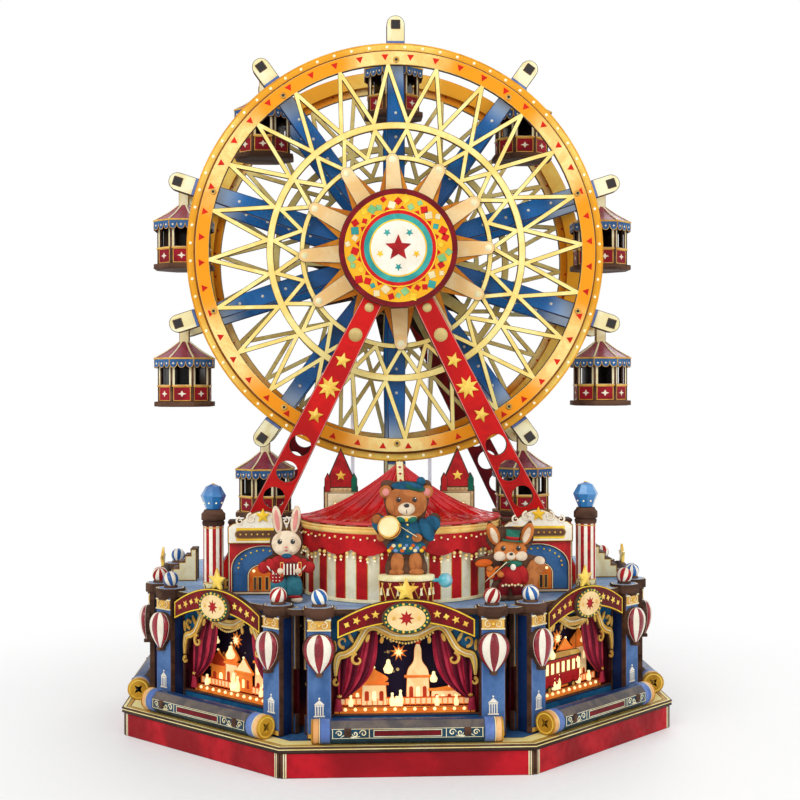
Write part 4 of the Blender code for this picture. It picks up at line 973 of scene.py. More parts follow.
@dataclass
class Piece:
    """One named piece of the model, gathered from shapes that each have their own finishes."""

    name: str
    shape: Shape = field(default_factory=bmesh.new)
    finishes: list[Finish] = field(default_factory=list)

    def add(self, shape: Shape, finishes: Finish | Sequence[Finish], place: Matrix | None = None) -> None:
        """Adds a shape, which is used up.

        Args:
            shape: The shape.
            finishes: Its finish, or the finishes that its faces' indices stand for.
            place: Where it goes.
        """
        wanted = list(finishes) if isinstance(finishes, (list, tuple)) else [finishes]
        for finish in wanted:
            if finish not in self.finishes:
                self.finishes.append(finish)
        order = [self.finishes.index(finish) for finish in wanted]
        for face in shape.faces:
            face.material_index = order[min(face.material_index, len(order) - 1)]
        mesh = bpy.data.meshes.new("shape")
        shape.to_mesh(mesh)
        shape.free()
        if place is not None:
            mesh.transform(place)
        self.shape.from_mesh(mesh)
        bpy.data.meshes.remove(mesh)

    def copied(self, name: str, place: Matrix) -> "Piece":
        """The same piece under another name and at another place."""
        copy = Piece(name, self.shape.copy(), list(self.finishes))
        bmesh.ops.transform(copy.shape, matrix=place, verts=copy.shape.verts)
        return copy

    def finish(self, body: str, slot: str, replaces: Sequence[str] = (),
               smooth: float | None = 35.0) -> bpy.types.Object:
        """Turns the piece into an object of the scene that rides on a body.

        Args:
            body: The body it rides on.
            slot: The record's material slot; it is not used.
            replaces: Nodes that it stands for.
            smooth: Angle in degrees below which neighbouring faces are shaded as one, or None for flat faces.

        Returns:
            The object.
        """
        bmesh.ops.scale(self.shape, vec=(MM, MM, MM), verts=self.shape.verts)
        mesh = bpy.data.meshes.new(self.name)
        self.shape.to_mesh(mesh)
        self.shape.free()
        if smooth is not None:
            mesh.shade_smooth()
            mesh.set_sharp_from_angle(angle=math.radians(smooth))
        for finish in self.finishes:
            mesh.materials.append(finish.material())
        made = bpy.data.objects.new(self.name, mesh)
        bpy.context.scene.collection.objects.link(made)
        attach(made, body.value if isinstance(body, Body) else body)
        if replaces:
            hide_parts(*replaces)
        return made


def spread(groups: dict[str, Piece], places: dict[int, Matrix] | dict[str, Matrix], body: Body, slot: str,
           pattern: str, node: str) -> None:
    """Puts copies of pieces at several places; the first piece of each place stands for a node of the frame.

    Args:
        groups: The pieces, by name.
        places: Where the copies go, by the number or side that their names take.
        body: The body that they ride on.
        slot: The record's material slot.
        pattern: A copy's name, with a field for the place and one for the piece.
        node: The node's name, with a field for the place.
    """
    for place, turn in places.items():
        for order, (name, source) in enumerate(groups.items()):
            copy = source.copied(pattern.format(place, name), turn)
            copy.finish(body, slot, [] if order else [node.format(place)])


def dress_node(name: str, finish: Finish) -> None:
    """Gives a node of the frame a better finish."""
    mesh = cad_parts[name].data
    mesh.materials.clear()
    mesh.materials.append(finish.material())
    LOG.info("%s: dressed in %s", name, mesh.materials[0].name)


@dataclass
class Plinth:
    """Octagonal plinth: eight printed wall panels, the stepped top plate and the bottom plate."""

    apothem: float = 132.8
    wall_inset: float = 1.0
    wall_height: float = 10.7
    top_z: float = 13.5
    stage_floor: float = 122.0
    corner_strip: float = 1.6
    strip_widths: tuple[float, ...] = (0.5, 0.4, 0.5)
    plate_foot: float = 11.0
    step_height: float = 0.7

    def build(self) -> None:
        """Builds and dresses the walls and both plates."""
        self.build_walls()
        self.build_top()
        dress_node("bottom_plate", RAW_PLY)

    def build_walls(self) -> None:
        """Panels with burnt corners and thin gold and dark lines beside them."""
        outer = self.apothem - self.wall_inset
        half = outer * SIDE_RATIO
        walls = Piece("plinth_wall_panels")
        for side in (*FRONT_SIDES, *BACK_SIDES):
            panel = board(rectangle(-half + 0.4, half - 0.4, 0.0, self.wall_height), PLY, borders=((0.35, 2),),
                          bevel=0.2)
            reach = half - self.corner_strip
            cuts = [reach]
            for width in self.strip_widths:
                cuts.append(cuts[-1] - width)
            for cut in cuts:
                for way in (-1, 1):
                    everything = [*panel.verts, *panel.edges, *panel.faces]
                    bmesh.ops.bisect_plane(panel, geom=everything, dist=0.0001, plane_co=(way * cut, 0.0, 0.0),
                                           plane_no=(1.0, 0.0, 0.0))

            def strip(centre: Vector, normal: Vector) -> int:
                """Finish of a face by its distance from the corner."""
                across = abs(centre.x)
                if normal.y > -0.9 or across > cuts[0]:
                    return 1
                if across > cuts[1]:
                    return 3
                if across > cuts[2]:
                    return 1
                return 3 if across > cuts[3] else 0

            walls.add(painted(panel, strip), (CRIMSON, BURNT, GOLD_LINE, CREAM), turned_by(side) @ moved(y=-outer))
        walls.finish(Body.BASE, "crimson_panel", ["plinth_walls"])

    def build_top(self) -> None:
        """Top plate with printed lines that follow its edge, and the blue floor inside them."""
        inner = self.apothem - self.stage_floor - 4.3
        lines = ((0.7, 1), (1.3, 4), (0.4, 2), (1.5, 3), (0.4, 2), (inner, 4), (0.4, 2))
        plate = flat_board(octagon(self.apothem), 0.8, borders=lines, bevel=0.2)
        top = Piece("plinth_top")
        for inset, low, finish in ((0.5, self.plate_foot, GOLD_LINE), (0.15, 11.5, DARK_LINE), (0.3, 12.1, CREAM_TOP)):
            high = low + self.step_height
            step = flat_board(octagon(self.apothem - inset), high - self.plate_foot, [octagon(self.apothem - 6.0)],
                              bevel=0.1)
            top.add(step, finish, moved(z=high))
        top.add(plate, (FLOOR_BLUE, BURNT, DARK_LINE, GOLD_LINE, CREAM_TOP), moved(z=self.top_z))
        top.finish(Body.BASE, "cream_top", ["plinth_top_plate"])


@dataclass
class Deck:
    """Deck plate over the theatres, with its belt slots and two flights of steps."""

    notch_half: tuple[float, float] = (31.9, 43.6)
    notch_depth: float = 111.9
    slot_x: tuple[float, float] = (19.3, 22.6)
    slot_y: tuple[float, float] = (36.4, 41.2)
    stair_x: float = 100.0
    stair_y: float = -20.0
    stair_rise: float = 16.0
    stair_run: float = 15.0
    stair_width: float = 12.0
    steps: int = 5

    def build(self) -> None:
        """Builds and dresses the plate and both flights."""
        plate = flat_board(self.outline(), PLY, self.slots(), borders=((0.6, 1), (0.7, 2), (0.35, 1)))
        deck = Piece("deck_boards")
        deck.add(plate, (DECK_BLUE, BURNT, CREAM), moved(z=DECK_TOP))
        deck.finish(Body.BASE, "deck_print", ["deck_plate"])
        for name, turn in (("right", Matrix.Identity(4)), ("left", Matrix.Diagonal((-1.0, 1.0, 1.0, 1.0)))):
            self.build_stair(name, turn)

    def outline(self) -> list[Point]:
        """The deck's octagon, notched where the theatre columns pass."""
        inner, outer = self.notch_half
        edge = [(-outer, -DECK_APOTHEM), (-outer, -self.notch_depth), (-inner, -self.notch_depth),
                (-inner, -DECK_APOTHEM)]
        edge += [(-x, y) for x, y in reversed(edge)]
        points = []
        for side in (*FRONT_SIDES, *BACK_SIDES):
            corner = (-DECK_APOTHEM * SIDE_RATIO, -DECK_APOTHEM)
            for point in [corner] + (edge if side in FRONT_SIDES else []):
                place = turned_by(side) @ Vector((*point, 0.0))
                points.append((place.x, place.y))
        return points

    def slots(self) -> list[list[Point]]:
        """Slots for the belt's two runs."""
        (near, far), depth = self.slot_x, self.slot_y
        return [rectangle(near, far, *depth), rectangle(-far, -near, *depth)]

    def build_stair(self, name: str, turn: Matrix) -> None:
        """One flight: two cream stringers with dark treads between them.

        Args:
            name: Which side it stands on.
            turn: Mirrors it to that side.
        """
        flight = Piece(f"stair_{name}")
        run, rise = self.stair_run / self.steps, self.stair_rise / self.steps
        heights = [DECK_TOP + rise * (self.steps - step) for step in range(self.steps)]
        outline = [(self.stair_x, DECK_TOP)]
        for step, height in enumerate(heights):
            outline += [(self.stair_x + run * step, height), (self.stair_x + run * (step + 1), height)]
        outline.append((self.stair_x + self.stair_run, DECK_TOP))
        for y in (self.stair_y - self.stair_width / 2, self.stair_y + self.stair_width / 2 - 2.0):
            flight.add(board(outline, 2.0, borders=((0.35, 1), (0.3, 2))), (CREAM, BURNT, GOLD_LINE), turn @ moved(y=y))
        for step, height in enumerate(heights):
            spot = (self.stair_x + run * (step + 0.5), self.stair_y, height - 0.4)
            flight.add(block((run + 0.3, self.stair_width - 0.6, 1.0), spot, 0.15), BURNT, turn)
            spot = (self.stair_x + run * (step + 1) - 0.4, self.stair_y, height - rise / 2)
            flight.add(block((0.8, self.stair_width - 2.4, rise), spot, 0.1), RED, turn)
        made = flight.finish(Body.BASE, "deck_print")
        if name == "left":
            made.data.flip_normals()


@dataclass
class BackWall:
    """Wall round the three rear sides, with printed panels and the key's hole."""

    low: float = STAND_Z
    high: float = 66.5
    hole: float = 2.0

    def build(self) -> None:
        """Builds and dresses the three panels."""
        half = DECK_APOTHEM * SIDE_RATIO - 0.3
        wall = Piece("back_wall_panels")
        for side in BACK_SIDES:
            holes = [ring(self.hole, 24, 0.0, (-KEY_X, MOVEMENT_Z))] if side == 180 else []
            panel = board(rectangle(-half, half, self.low, self.high), PLY, holes,
                          borders=((0.7, 1), (1.0, 2), (0.4, 1)), bevel=0.25)
            place = turned_by(side) @ moved(y=-DECK_APOTHEM)
            wall.add(panel, (CRIMSON, BURNT, GOLD_LINE), place)
            self.add_trim(wall, half, place, side == 180)
        wall.finish(Body.BASE, "crimson_panel", ["back_wall"])

    def add_trim(self, wall: Piece, half: float, place: Matrix, middle: bool) -> None:
        """Adds raised stars, scrolls and corner diamonds to one panel.

        Args:
            wall: The piece that the trim joins.
            half: Half the panel's width.
            place: Where the panel goes.
            middle: Whether it is the middle panel, where the key needs room.
        """
        centre_z = (self.low + self.high) / 2
        for x in (-1, 1):
            for z in (-1, 1):
                spot = moved(x * (half - 7.0), 0.05, centre_z + z * 19.0)
                wall.add(raised_star(3.0, 0.5, 0.3, 4, 0.5), BRIGHT_GOLD, place @ spot)
        for x in ((-1, 0, 1) if not middle else (1,)):
            wall.add(raised_star(6.5 if x == 0 else 4.4, 0.9, 0.4), BRIGHT_GOLD,
                     place @ moved(x * 20.0, 0.05, centre_z))
        for way in (-1, 1):
            for z in (-1, 1):
                line = [*smooth_line([(4.0, z * 17.0), (14.0, z * 19.0), (26.0, z * 16.0)], 6),
                        *spiral((26.0, z * 12.6), 90.0 * z, -210.0 * z, 3.4, 0.9, 14)[1:]]
                scroll = board(ribbon([(way * x, y + centre_z) for x, y in line], (0.6, 1.5, 1.3, 1.0, 0.6)), 0.4,
                               bevel=0.1)
                wall.add(scroll, (GOLD, BURNT), place @ moved(y=-0.35))


class Picture(Enum):
    """What the backdrop of a theatre shows."""

    PAVILION = "pavilion"
    ROOFTOPS = "rooftops"
    TOWERS = "towers"
    TRAM = "tram"
    GARDEN = "garden"


class Roof(Enum):
    """Form of a small building's roof."""

    GABLE = "gable"
    ONION = "onion"
    BELL = "bell"


@dataclass(frozen=True)
class House:
    """One flat cut-out building of a picture."""

    x: float
    half: float
    height: float
    form: Roof
    roof: float
    wall: Paint
    crown: Paint
    columns: int = 2
    rows: int = 1


PICTURES = {
    Picture.TOWERS: (
        House(-21.0, 5.0, 8.0, Roof.GABLE, 4.0, LIT_ORANGE, LIT_ROOF, 3),
        House(20.0, 8.6, 6.6, Roof.GABLE, 1.6, LIT_CREAM, LIT_ORANGE, 5),
        House(-13.6, 5.8, 9.6, Roof.ONION, 7.4, LIT_CREAM, LIT_ORANGE, 3),
        House(6.0, 5.4, 12.4, Roof.BELL, 15.6, LIT_CREAM, LIT_CREAM, 3)),
    Picture.ROOFTOPS: (
        House(-19.0, 5.4, 9.0, Roof.ONION, 8.0, LIT_ORANGE, LIT_ROOF, 2),
        House(-8.4, 4.4, 12.0, Roof.ONION, 9.5, LIT_CREAM, LIT_ORANGE, 2),
        House(1.4, 5.6, 9.0, Roof.GABLE, 7.0, LIT_ORANGE, LIT_CREAM, 3),
        House(11.4, 4.4, 14.6, Roof.BELL, 11.0, LIT_CREAM, LIT_ORANGE, 2, 2),
        House(21.6, 5.8, 8.0, Roof.ONION, 7.0, LIT_ORANGE, LIT_ROOF, 3)),
    Picture.GARDEN: (
        House(-16.0, 6.6, 9.0, Roof.ONION, 9.0, LIT_CREAM, LIT_ROOF, 3),
        House(-2.0, 4.4, 13.0, Roof.BELL, 12.0, LIT_ORANGE, LIT_CREAM, 2, 2),
        House(9.0, 5.6, 8.0, Roof.GABLE, 5.0, LIT_CREAM, LIT_ROOF, 3),
        House(20.4, 5.2, 11.0, Roof.ONION, 8.0, LIT_ORANGE, LIT_CREAM, 2)),
    Picture.PAVILION: (
        House(-20.0, 5.6, 11.0, Roof.ONION, 8.0, LIT_CREAM, LIT_ORANGE, 2, 2),
        House(-8.0, 5.4, 7.0, Roof.GABLE, 5.0, LIT_ORANGE, LIT_ROOF, 3),
        House(4.0, 5.4, 12.4, Roof.BELL, 13.0, LIT_CREAM, LIT_CREAM, 3),
        House(17.0, 7.0, 8.0, Roof.ONION, 9.0, LIT_ORANGE, LIT_ROOF, 4)),
    Picture.TRAM: (
        House(-21.0, 5.0, 15.0, Roof.ONION, 8.0, LIT_ORANGE, LIT_ROOF, 2, 2),
        House(-8.0, 5.0, 19.0, Roof.GABLE, 5.0, LIT_CREAM, LIT_ROOF, 2, 3),
        House(5.0, 5.6, 17.0, Roof.GABLE, 6.0, LIT_ORANGE, LIT_ORANGE, 3, 3),
        House(19.0, 6.0, 17.0, Roof.ONION, 9.0, LIT_CREAM, LIT_ORANGE, 3, 2)),
}


@dataclass
class Stages:
    """Curtains round the five stages, with the backdrop and its cut-out scenery behind them."""

    curtain_y: float = -109.2
    backdrop_y: float = -100.0
    low: float = STAND_Z
    ground: float = 24.4
    high: float = 66.4
    folds: int = 6
    pictures: tuple[Picture, ...] = (Picture.GARDEN, Picture.ROOFTOPS, Picture.TOWERS, Picture.TRAM, Picture.PAVILION)

    def build(self) -> None:
        """Builds and dresses the curtains and the scenery of every side."""
        curtains, backdrop = Piece("stage_curtain_folds"), Piece("backdrop_boards")
        for side in FRONT_SIDES:
            turn = turned_by(side)
            for drape, finish in self.drapes():
                curtains.add(drape, finish, turn)
            half = -self.backdrop_y * SIDE_RATIO - 0.4
            backing = board(rectangle(-half, half, self.low, self.high), PLY, bevel=0.1)
            backdrop.add(backing, (NIGHT, BURNT), turn @ moved(y=self.backdrop_y))
        curtains.finish(Body.BASE, "curtain_print", ["stage_curtains"], smooth=70.0)
        backdrop.finish(Body.BASE, "backdrop_print", ["backdrop"])
        for number, (side, picture) in enumerate(zip(FRONT_SIDES, self.pictures), start=1):
            scenery = Piece(f"stage_scenery_{number}")
            self.add_picture(scenery, picture, turned_by(side))
            scenery.finish(Body.BASE, "backdrop_print")

    def drape(self, rim: Callable[[float], tuple[float, float]], top: float, low: float, y: float, depth: float,
              folds: int) -> Shape:
        """A hanging drape with rounded folds.

        Args:
            rim: Gives the inner and outer x at a share of the height from the top.
            top: Height of its upper edge.
            low: Height of its lower edge.
            y: Its middle plane.
            depth: How deep the folds are.
            folds: How many folds lie side by side.

        Returns:
            The shape.
        """
        shape = bmesh.new()
        bmesh.ops.create_grid(shape, x_segments=8 * folds, y_segments=22, size=0.5)
        painted(shape, lambda centre, _normal: int((centre.x + 0.5) * folds + 0.3) % 2)
        for vert in shape.verts:
            across, down = vert.co.x + 0.5, 0.5 - vert.co.y
            inner, outer = rim(down)
            wave = math.cos(2 * math.pi * folds * across + 0.6 * down)
            vert.co = (inner + (outer - inner) * across, y - depth * wave * (0.5 + 0.5 * down),
                       top + (low - top) * down)
        bmesh.ops.recalc_face_normals(shape, faces=shape.faces)
        bmesh.ops.solidify(shape, geom=shape.faces[:], thickness=0.4)
        return shape

    def drapes(self) -> list[tuple[Shape, Finish | Sequence[Finish]]]:
        """Both front drapes, drawn aside to their ties, and the dark rear ones."""

        def swept(down: float) -> tuple[float, float]:
            """Front drape: its inner edge sweeps out to the tie."""
            return (12.0 + 14.5 * down ** 4, 20.0 + 9.6 * min(1.0, down * 2.0) ** 0.7)

        def hanging(down: float) -> tuple[float, float]:
            """Rear drape: it hangs straight."""
            return (28.4 + 1.0 * math.sin(3 * down), 41.0)

        made = []
        for mirror in (False, True):
            front = self.drape(swept, 62.0, 28.6, self.curtain_y + 0.3, 0.7, self.folds)
            rear = self.drape(hanging, 64.0, self.low + 0.2, self.curtain_y + 1.9, 0.3, 4)
            tie = ball((2.6, 1.6, 1.9), (29.0, self.curtain_y - 0.4, 29.6), 16, 10)
            tail = turned([(0.0, 29.6), (1.3, 28.6), (1.6, 26.2), (2.2, 23.0), (0.0, 23.0)], 12)
            bmesh.ops.scale(tail, vec=(1.0, 0.5, 1.0), verts=tail.verts)
            bmesh.ops.translate(tail, vec=(29.6, self.curtain_y, 0.0), verts=tail.verts)
            for shape, finish in ((front, (CURTAIN, CURTAIN_DARK)), (rear, (CURTAIN_DARK, MAROON)), (tie, GOLD),
                                  (tail, CURTAIN)):
                made.append((mirror_x(shape) if mirror else shape, finish))
        return made

    def add_house(self, scenery: Piece, house: House, place: Matrix) -> None:
        """Adds one building: a wall, a ledge, a roof and rows of lit windows.

        Args:
            scenery: The piece that it joins.
            house: Its sizes and colours.
            place: Where its plane lies.
        """
        half, base, top = house.half, self.ground, self.ground + house.height
        wall = board([(half, base), (half * 0.92, top), (-half * 0.92, top), (-half, base)], 0.8, borders=((0.25, 1),),
                     bevel=0.1)
        scenery.add(wall, (house.wall, LIT_ORANGE), place)
        scenery.add(block((2 * half + 1.4, 1.4, 1.1), (0.0, 0.2, top), 0.15, 1), LIT_ORANGE, place)
        tip = house.roof
        side = {
            Roof.GABLE: [(half * 1.15, 0.0), (half * 0.4, tip * 0.6), (0.0, tip)],
            Roof.ONION: smooth_line([(half * 0.6, 0.0), (half * 1.1, tip * 0.3), (half * 0.6, tip * 0.6),
                                     (half * 0.12, tip * 0.82), (0.0, tip)], 4),
            Roof.BELL: smooth_line([(half * 0.95, 0.0), (half * 0.8, tip * 0.22), (half * 0.36, tip * 0.45),
                                    (half * 0.28, tip * 0.8), (0.0, tip)], 4),
        }[house.form]
        crown = board([(x, top + z) for x, z in mirrored([(0.0, 0.0), *side])], 1.1, bevel=0.12)
        scenery.add(crown, (house.crown, LIT_ORANGE), place)
        if house.form is Roof.BELL:
            scenery.add(ball((half * 0.5, 0.9, half * 0.46), (0.0, -0.2, top + tip), 16, 10), LIT_ROOF, place)
        else:
            scenery.add(bead(0.55, (0.0, 0.0, top + tip)), BULB, place)
        step, rise = 2 * half * 0.84 / house.columns, house.height / house.rows
        for row, column in itertools.product(range(house.rows), range(house.columns)):
            x, z = (column - (house.columns - 1) / 2) * step, base + rise * (row + 0.22)
            arch = [(x + px, pz) for px, pz in arched(step * 0.3, z, z + rise * 0.36, 6)]
            pane = BULB if (row + column) % 2 else (LIT_ROOF, LIT_BLUE)[column % 2]
            scenery.add(board(arch, 0.3, bevel=0.05), (pane, LIT_ORANGE), place @ moved(y=-0.2))

    def add_picture(self, scenery: Piece, picture: Picture, turn: Matrix) -> None:
        """Adds the cut-outs, hanging lamps and footlights of one stage; the lamps and footlights are cut-outs whose
        glow is painted light.

        Args:
            scenery: The piece that they join.
            picture: Which picture it is.
            turn: Turns them to their side.
        """
        near = self.backdrop_y - 3.4
        for order, house in enumerate(PICTURES[picture]):
            self.add_house(scenery, house, turn @ moved(house.x, near - 0.9 * (order % 3)))
        if picture is Picture.TRAM:
            self.add_tram(scenery, turn @ moved(y=near - 3.2))
        fence = board(rectangle(-30.0, 30.0, self.ground, self.ground + 3.6), 0.6, borders=((0.3, 1), (0.3, 2)),
                      bevel=0.1)
        scenery.add(fence, (LIT_CREAM, LIT_ROOF, LIT_ORANGE), turn @ moved(y=near - 1.6))
        for i in range(25):
            scenery.add(block((0.5, 0.4, 3.0), ((i - 12) * 2.4, near - 1.8, self.ground + 1.6), 0.1, 1), LIT_ORANGE,
                        turn)
        for x, height in ((-5.6, 6.0), (-3.6, 4.4), (-1.9, 7.2), (14.4, 4.6), (-24.0, 5.2), (23.0, 5.0)):
            figure = turned([(0.0, height), (0.7, height - 0.5), (0.5, height - 1.6), (1.2, height * 0.4), (1.0, 0.0),
                             (0.0, 0.0)], 12)
            scenery.add(figure, BULB, turn @ moved(x, near - 2.6, self.ground))
        for x, z, radius in ((-7.3, 40.8, 2.3), (12.9, 36.2, 1.8), (-17.0, 46.0, 1.3), (18.5, 44.5, 1.3)):
            bulb = turned([(0.0, z + radius * 1.9), (radius * 0.35, z + radius * 1.7), (radius * 0.45, z + radius),
                           (radius * 1.0, z), (radius * 0.75, z - radius * 0.75), (0.0, z - radius)], 18)
            scenery.add(bulb, BULB, turn @ moved(x=x, y=near - 2.2))
            wire = turned([(0.0, self.high), (0.12, self.high), (0.12, z + radius * 1.5), (0.0, z + radius * 1.5)], 6)
            scenery.add(wire, DARK_LINE, turn @ moved(x=x, y=near - 2.2))
        scenery.add(raised_star(4.0, 0.8, 0.5, 9, 0.42), LIT_ORANGE, turn @ moved(-2.7, near - 2.0, 48.2))
        scenery.add(raised_star(2.2, 0.8, 0.5, 7, 0.42), BULB, turn @ moved(-2.7, near - 2.6, 48.2))
        scenery.add(ball((2.2, 1.4, 1.6), (-10.6, near - 2.0, 53.0), 14, 8), CLOTH_RED, turn)
        for i in range(13):
            scenery.add(bead(0.8, ((i - 6) * 4.4, near - 4.2, self.ground - 1.2)), BULB, turn)
        apron = board(rectangle(-32.0, 32.0, self.low, self.ground), 1.0, borders=((0.4, 2), (0.3, 1)), bevel=0.1)
        scenery.add(apron, (LIT_ORANGE, LIT_ROOF, GOLD), turn @ moved(y=near - 4.0))

    def add_tram(self, scenery: Piece, place: Matrix) -> None:
        """Adds a small red tram with lit windows."""
        base = self.ground - 0.6
        scenery.add(board(rectangle(-15.5, 14.5, base + 2.0, base + 15.0), 1.2, borders=((0.5, 1),)), (RED, BROWN),
                    place)
        roof = mirrored([(0.0, 0.0), (16.5, 0.0), (14.0, 2.4), (0.0, 3.2)])
        scenery.add(board([(x - 0.5, z + base + 15.0) for x, z in roof], 1.6), (GOLD, BROWN), place)
        for i in range(7):
            x = -13.2 + i * 4.2
            scenery.add(board(rectangle(x, x + 2.7, base + 8.0, base + 13.4), 0.3, borders=((0.3, 1),), bevel=0.05),
                        (BULB, GOLD), place @ moved(y=-0.25))
        for x in (-10.0, 9.0):
            scenery.add(board(ring(2.1, 20, 0.0, (x, base + 1.4)), 1.5), (DARK_LINE, BROWN), place)
            scenery.add(board(ring(1.0, 16, 0.0, (x, base + 1.4)), 0.3, bevel=0.05), (GOLD, BROWN),
                        place @ moved(y=-0.25))


@dataclass
class TheatreFront:
    """Front of one theatre: boards, columns, capitals, balls, balloons and the carved swag."""

    column_x: float = 37.75
    column_front: float = -121.0
    column_back: float = -112.3
    column_width: float = 10.9
    column_top: float = 70.0
    cap_radius: float = 7.2
    cap_z: float = 66.3
    cap_thickness: float = 4.3
    ball_z: float = 74.4
    ball_radius: float = 3.8
    balloon_z: float = 50.5
    balloon_y: float = -121.0
    header_top: float = 66.5
    sill_height: float = 8.4
    board_half: float = 44.6
    board_y: float = -112.6
    gores: int = 10

    def build(self) -> None:
        """Builds the front once and copies it to the five sides."""
        groups = {"boards": self.boards(), "columns": self.columns(), "caps": self.caps(), "balloons": self.balloons(),
                  "swag": self.swag()}
        for number, turn in THEATRES.items():
            spread(groups, {number: turn}, Body.BASE, "facade_print", "theatre_{}_{}", "theatre_front_{}")
            balls = Piece(f"theatre_{number}_balls")
            for way, colour in ((-1, BALL_BLUE), (1, CLOTH_RED)):
                place = moved(way * self.column_x, self.middle_y, self.ball_z) @ turned_by(25 * way, "Y")
                balls.add(self.striped_ball(), (colour, WHITE), turn @ place)
            balls.finish(Body.BASE, "facade_print", smooth=60.0)

    @property
    def middle_y(self) -> float:
        """Middle plane of the columns."""
        return (self.column_front + self.column_back) / 2

    def boards(self) -> Piece:
        """Header with its curved lower edge, and the sill."""
        piece = Piece("boards")
        half = [(0.0, 58.0), (6.0, 58.6), (12.0, 61.4), (16.5, 60.6), (20.5, 54.5), (25.0, 50.0), (29.5, 47.0),
                (31.0, 42.0), (self.board_half, 42.0), (self.board_half, self.header_top), (0.0, self.header_top)]
        piece.add(board(mirrored(half), PLY, borders=((0.4, 1), (0.35, 2))), (TEAL, BURNT, GOLD_LINE),
                  moved(y=self.board_y))
        reach = self.board_half - 0.2
        sill = board(rectangle(-reach, reach, STAND_Z, STAND_Z + self.sill_height), PLY, borders=((0.4, 1), (0.5, 2)))
        piece.add(sill, (TEAL, BURNT, NAVY), moved(y=self.board_y))
        return piece

    def columns(self) -> Piece:
        """Two columns: navy core, blue front board, gold capital and foot, and a small white pavilion print."""
        piece = Piece("columns")
        depth = self.column_back - self.column_front
        for way in (-1, 1):
            x = way * self.column_x
            core = block((self.column_width - 1.4, depth - PLY, self.column_top - STAND_Z),
                         (x, self.middle_y + PLY / 2, (self.column_top + STAND_Z) / 2), 0.3)
            piece.add(core, NAVY)
            half = self.column_width / 2
            front = board(rectangle(-half, half, STAND_Z, self.column_top - 0.5), PLY, borders=((0.45, 1), (0.3, 2)))
            piece.add(front, (COLUMN_BLUE, BURNT, RING_BLUE), moved(x, self.column_front))
            piece.add(block((self.column_width, 0.9, self.column_top - STAND_Z - 0.6),
                            (x, self.column_back - 0.5, (self.column_top + STAND_Z) / 2), 0.15), BURNT)
            self.add_capital(piece, x)
            piece.add(board(rectangle(-half + 0.5, half - 0.5, STAND_Z + 0.4, STAND_Z + 2.4), 0.3, bevel=0.08),
                      (GOLD, BURNT), moved(x, self.column_front - 0.25))
            self.add_pavilion(piece, x)
        return piece

    def add_capital(self, piece: Piece, x: float) -> None:
        """Adds a gold capital with beads and two small scrolls."""
        y = self.column_front
        half = self.column_width / 2 - 0.5
        piece.add(board(rectangle(-half, half, 60.6, 65.6), 0.5, borders=((0.3, 1),), bevel=0.1), (GOLD, GOLD_LINE),
                  moved(x, y - 0.45))
        for way in (-1, 1):
            line = spiral((way * 2.2, 63.0), 90.0, 90.0 - way * 400.0, 1.7, 0.4, 16)
            piece.add(board(ribbon(line, (0.7, 0.5, 0.4)), 0.35, bevel=0.08), (CREAM, GOLD_LINE), moved(x, y - 0.75))
        for z in (60.9, 65.3):
            piece.add(block((2 * half + 0.5, 1.0, 0.7), (x, y - 0.3, z), 0.15), CREAM)
        piece.add(bead(0.6, (x, y - 0.8, 63.0)), BRIGHT_GOLD)

    def add_pavilion(self, piece: Piece, x: float) -> None:
        """Adds a small white pavilion print near the foot."""
        place = moved(x, self.column_front - 0.12, 5.8)
        shapes = [rectangle(-2.4, 2.4, 17.6, 18.2), rectangle(-2.0, 2.0, 22.2, 22.7),
                  [(-2.3, 22.9), (2.3, 22.9), (0.0, 25.0)], ring(0.45, 10, 0.0, (0.0, 25.6))]
        shapes += [rectangle(dx - 0.25, dx + 0.25, 18.2, 22.2) for dx in (-1.6, -0.5, 0.5, 1.6)]
        for outline in shapes:
            piece.add(board(outline, 0.2, bevel=0.0), WHITE, place)

    def caps(self) -> Piece:
        """Octagonal caps with a moulding below and a ring that holds the ball."""
        piece = Piece("caps")
        for way in (-1, 1):
            x = way * self.column_x
            cap = flat_board(ring(self.cap_radius, 8, 22.5), self.cap_thickness, borders=((0.6, 1), (0.5, 2), (0.3, 1)),
                             bevel=0.25)
            piece.add(cap, (DECK_BLUE, BURNT, WHITE), moved(x, self.middle_y, self.cap_z + self.cap_thickness))
            under = flat_board(ring(self.cap_radius - 1.0, 8, 22.5), 1.2, bevel=0.3)
            piece.add(under, (BROWN, BURNT), moved(x, self.middle_y, self.cap_z))
            cup = turned([(0.0, 0.9), (2.0, 0.9), (2.4, 1.3), (3.0, 1.2), (3.3, 0.5), (3.3, 0.0), (0.0, 0.0)], 28)
            piece.add(cup, BROWN, moved(x, self.middle_y, self.cap_z + self.cap_thickness))
        return piece

    def striped_ball(self) -> Shape:
        """A ball with upright stripes."""
        made = ball((2 * self.ball_radius,) * 3, sides=24, rings=16)

        def stripe(centre: Vector, _normal: Vector) -> int:
            """Finish by the angle round the ball."""
            return int((math.degrees(math.atan2(centre.y, centre.x)) + 360.0) // 30) % 2

        return painted(made, stripe)

    def balloons(self) -> Piece:
        """Two hot-air balloons: a brown backing, a ribbed striped envelope and a basket."""
        piece = Piece("balloons")
        profile = smooth_line([(0.0, 9.0), (3.6, 8.3), (6.3, 5.4), (6.8, 1.8), (5.4, -2.4), (3.0, -5.6), (1.5, -7.2),
                               (1.3, -7.6)], 3)
        for way in (-1, 1):
            x = way * self.column_x
            outline = mirrored([(0.0, -9.2), (1.5, -9.2), (1.7, -7.2),
                                *[(r + 0.35, z) for r, z in reversed(profile[:-1]) if z > -7.0]])
            piece.add(board(outline, 2.2, bevel=0.25), (BROWN, BURNT), moved(x, self.balloon_y - 2.0, self.balloon_z))
            skin = turned([*profile, (0.0, -7.6)], 4 * self.gores, start=-90.0)

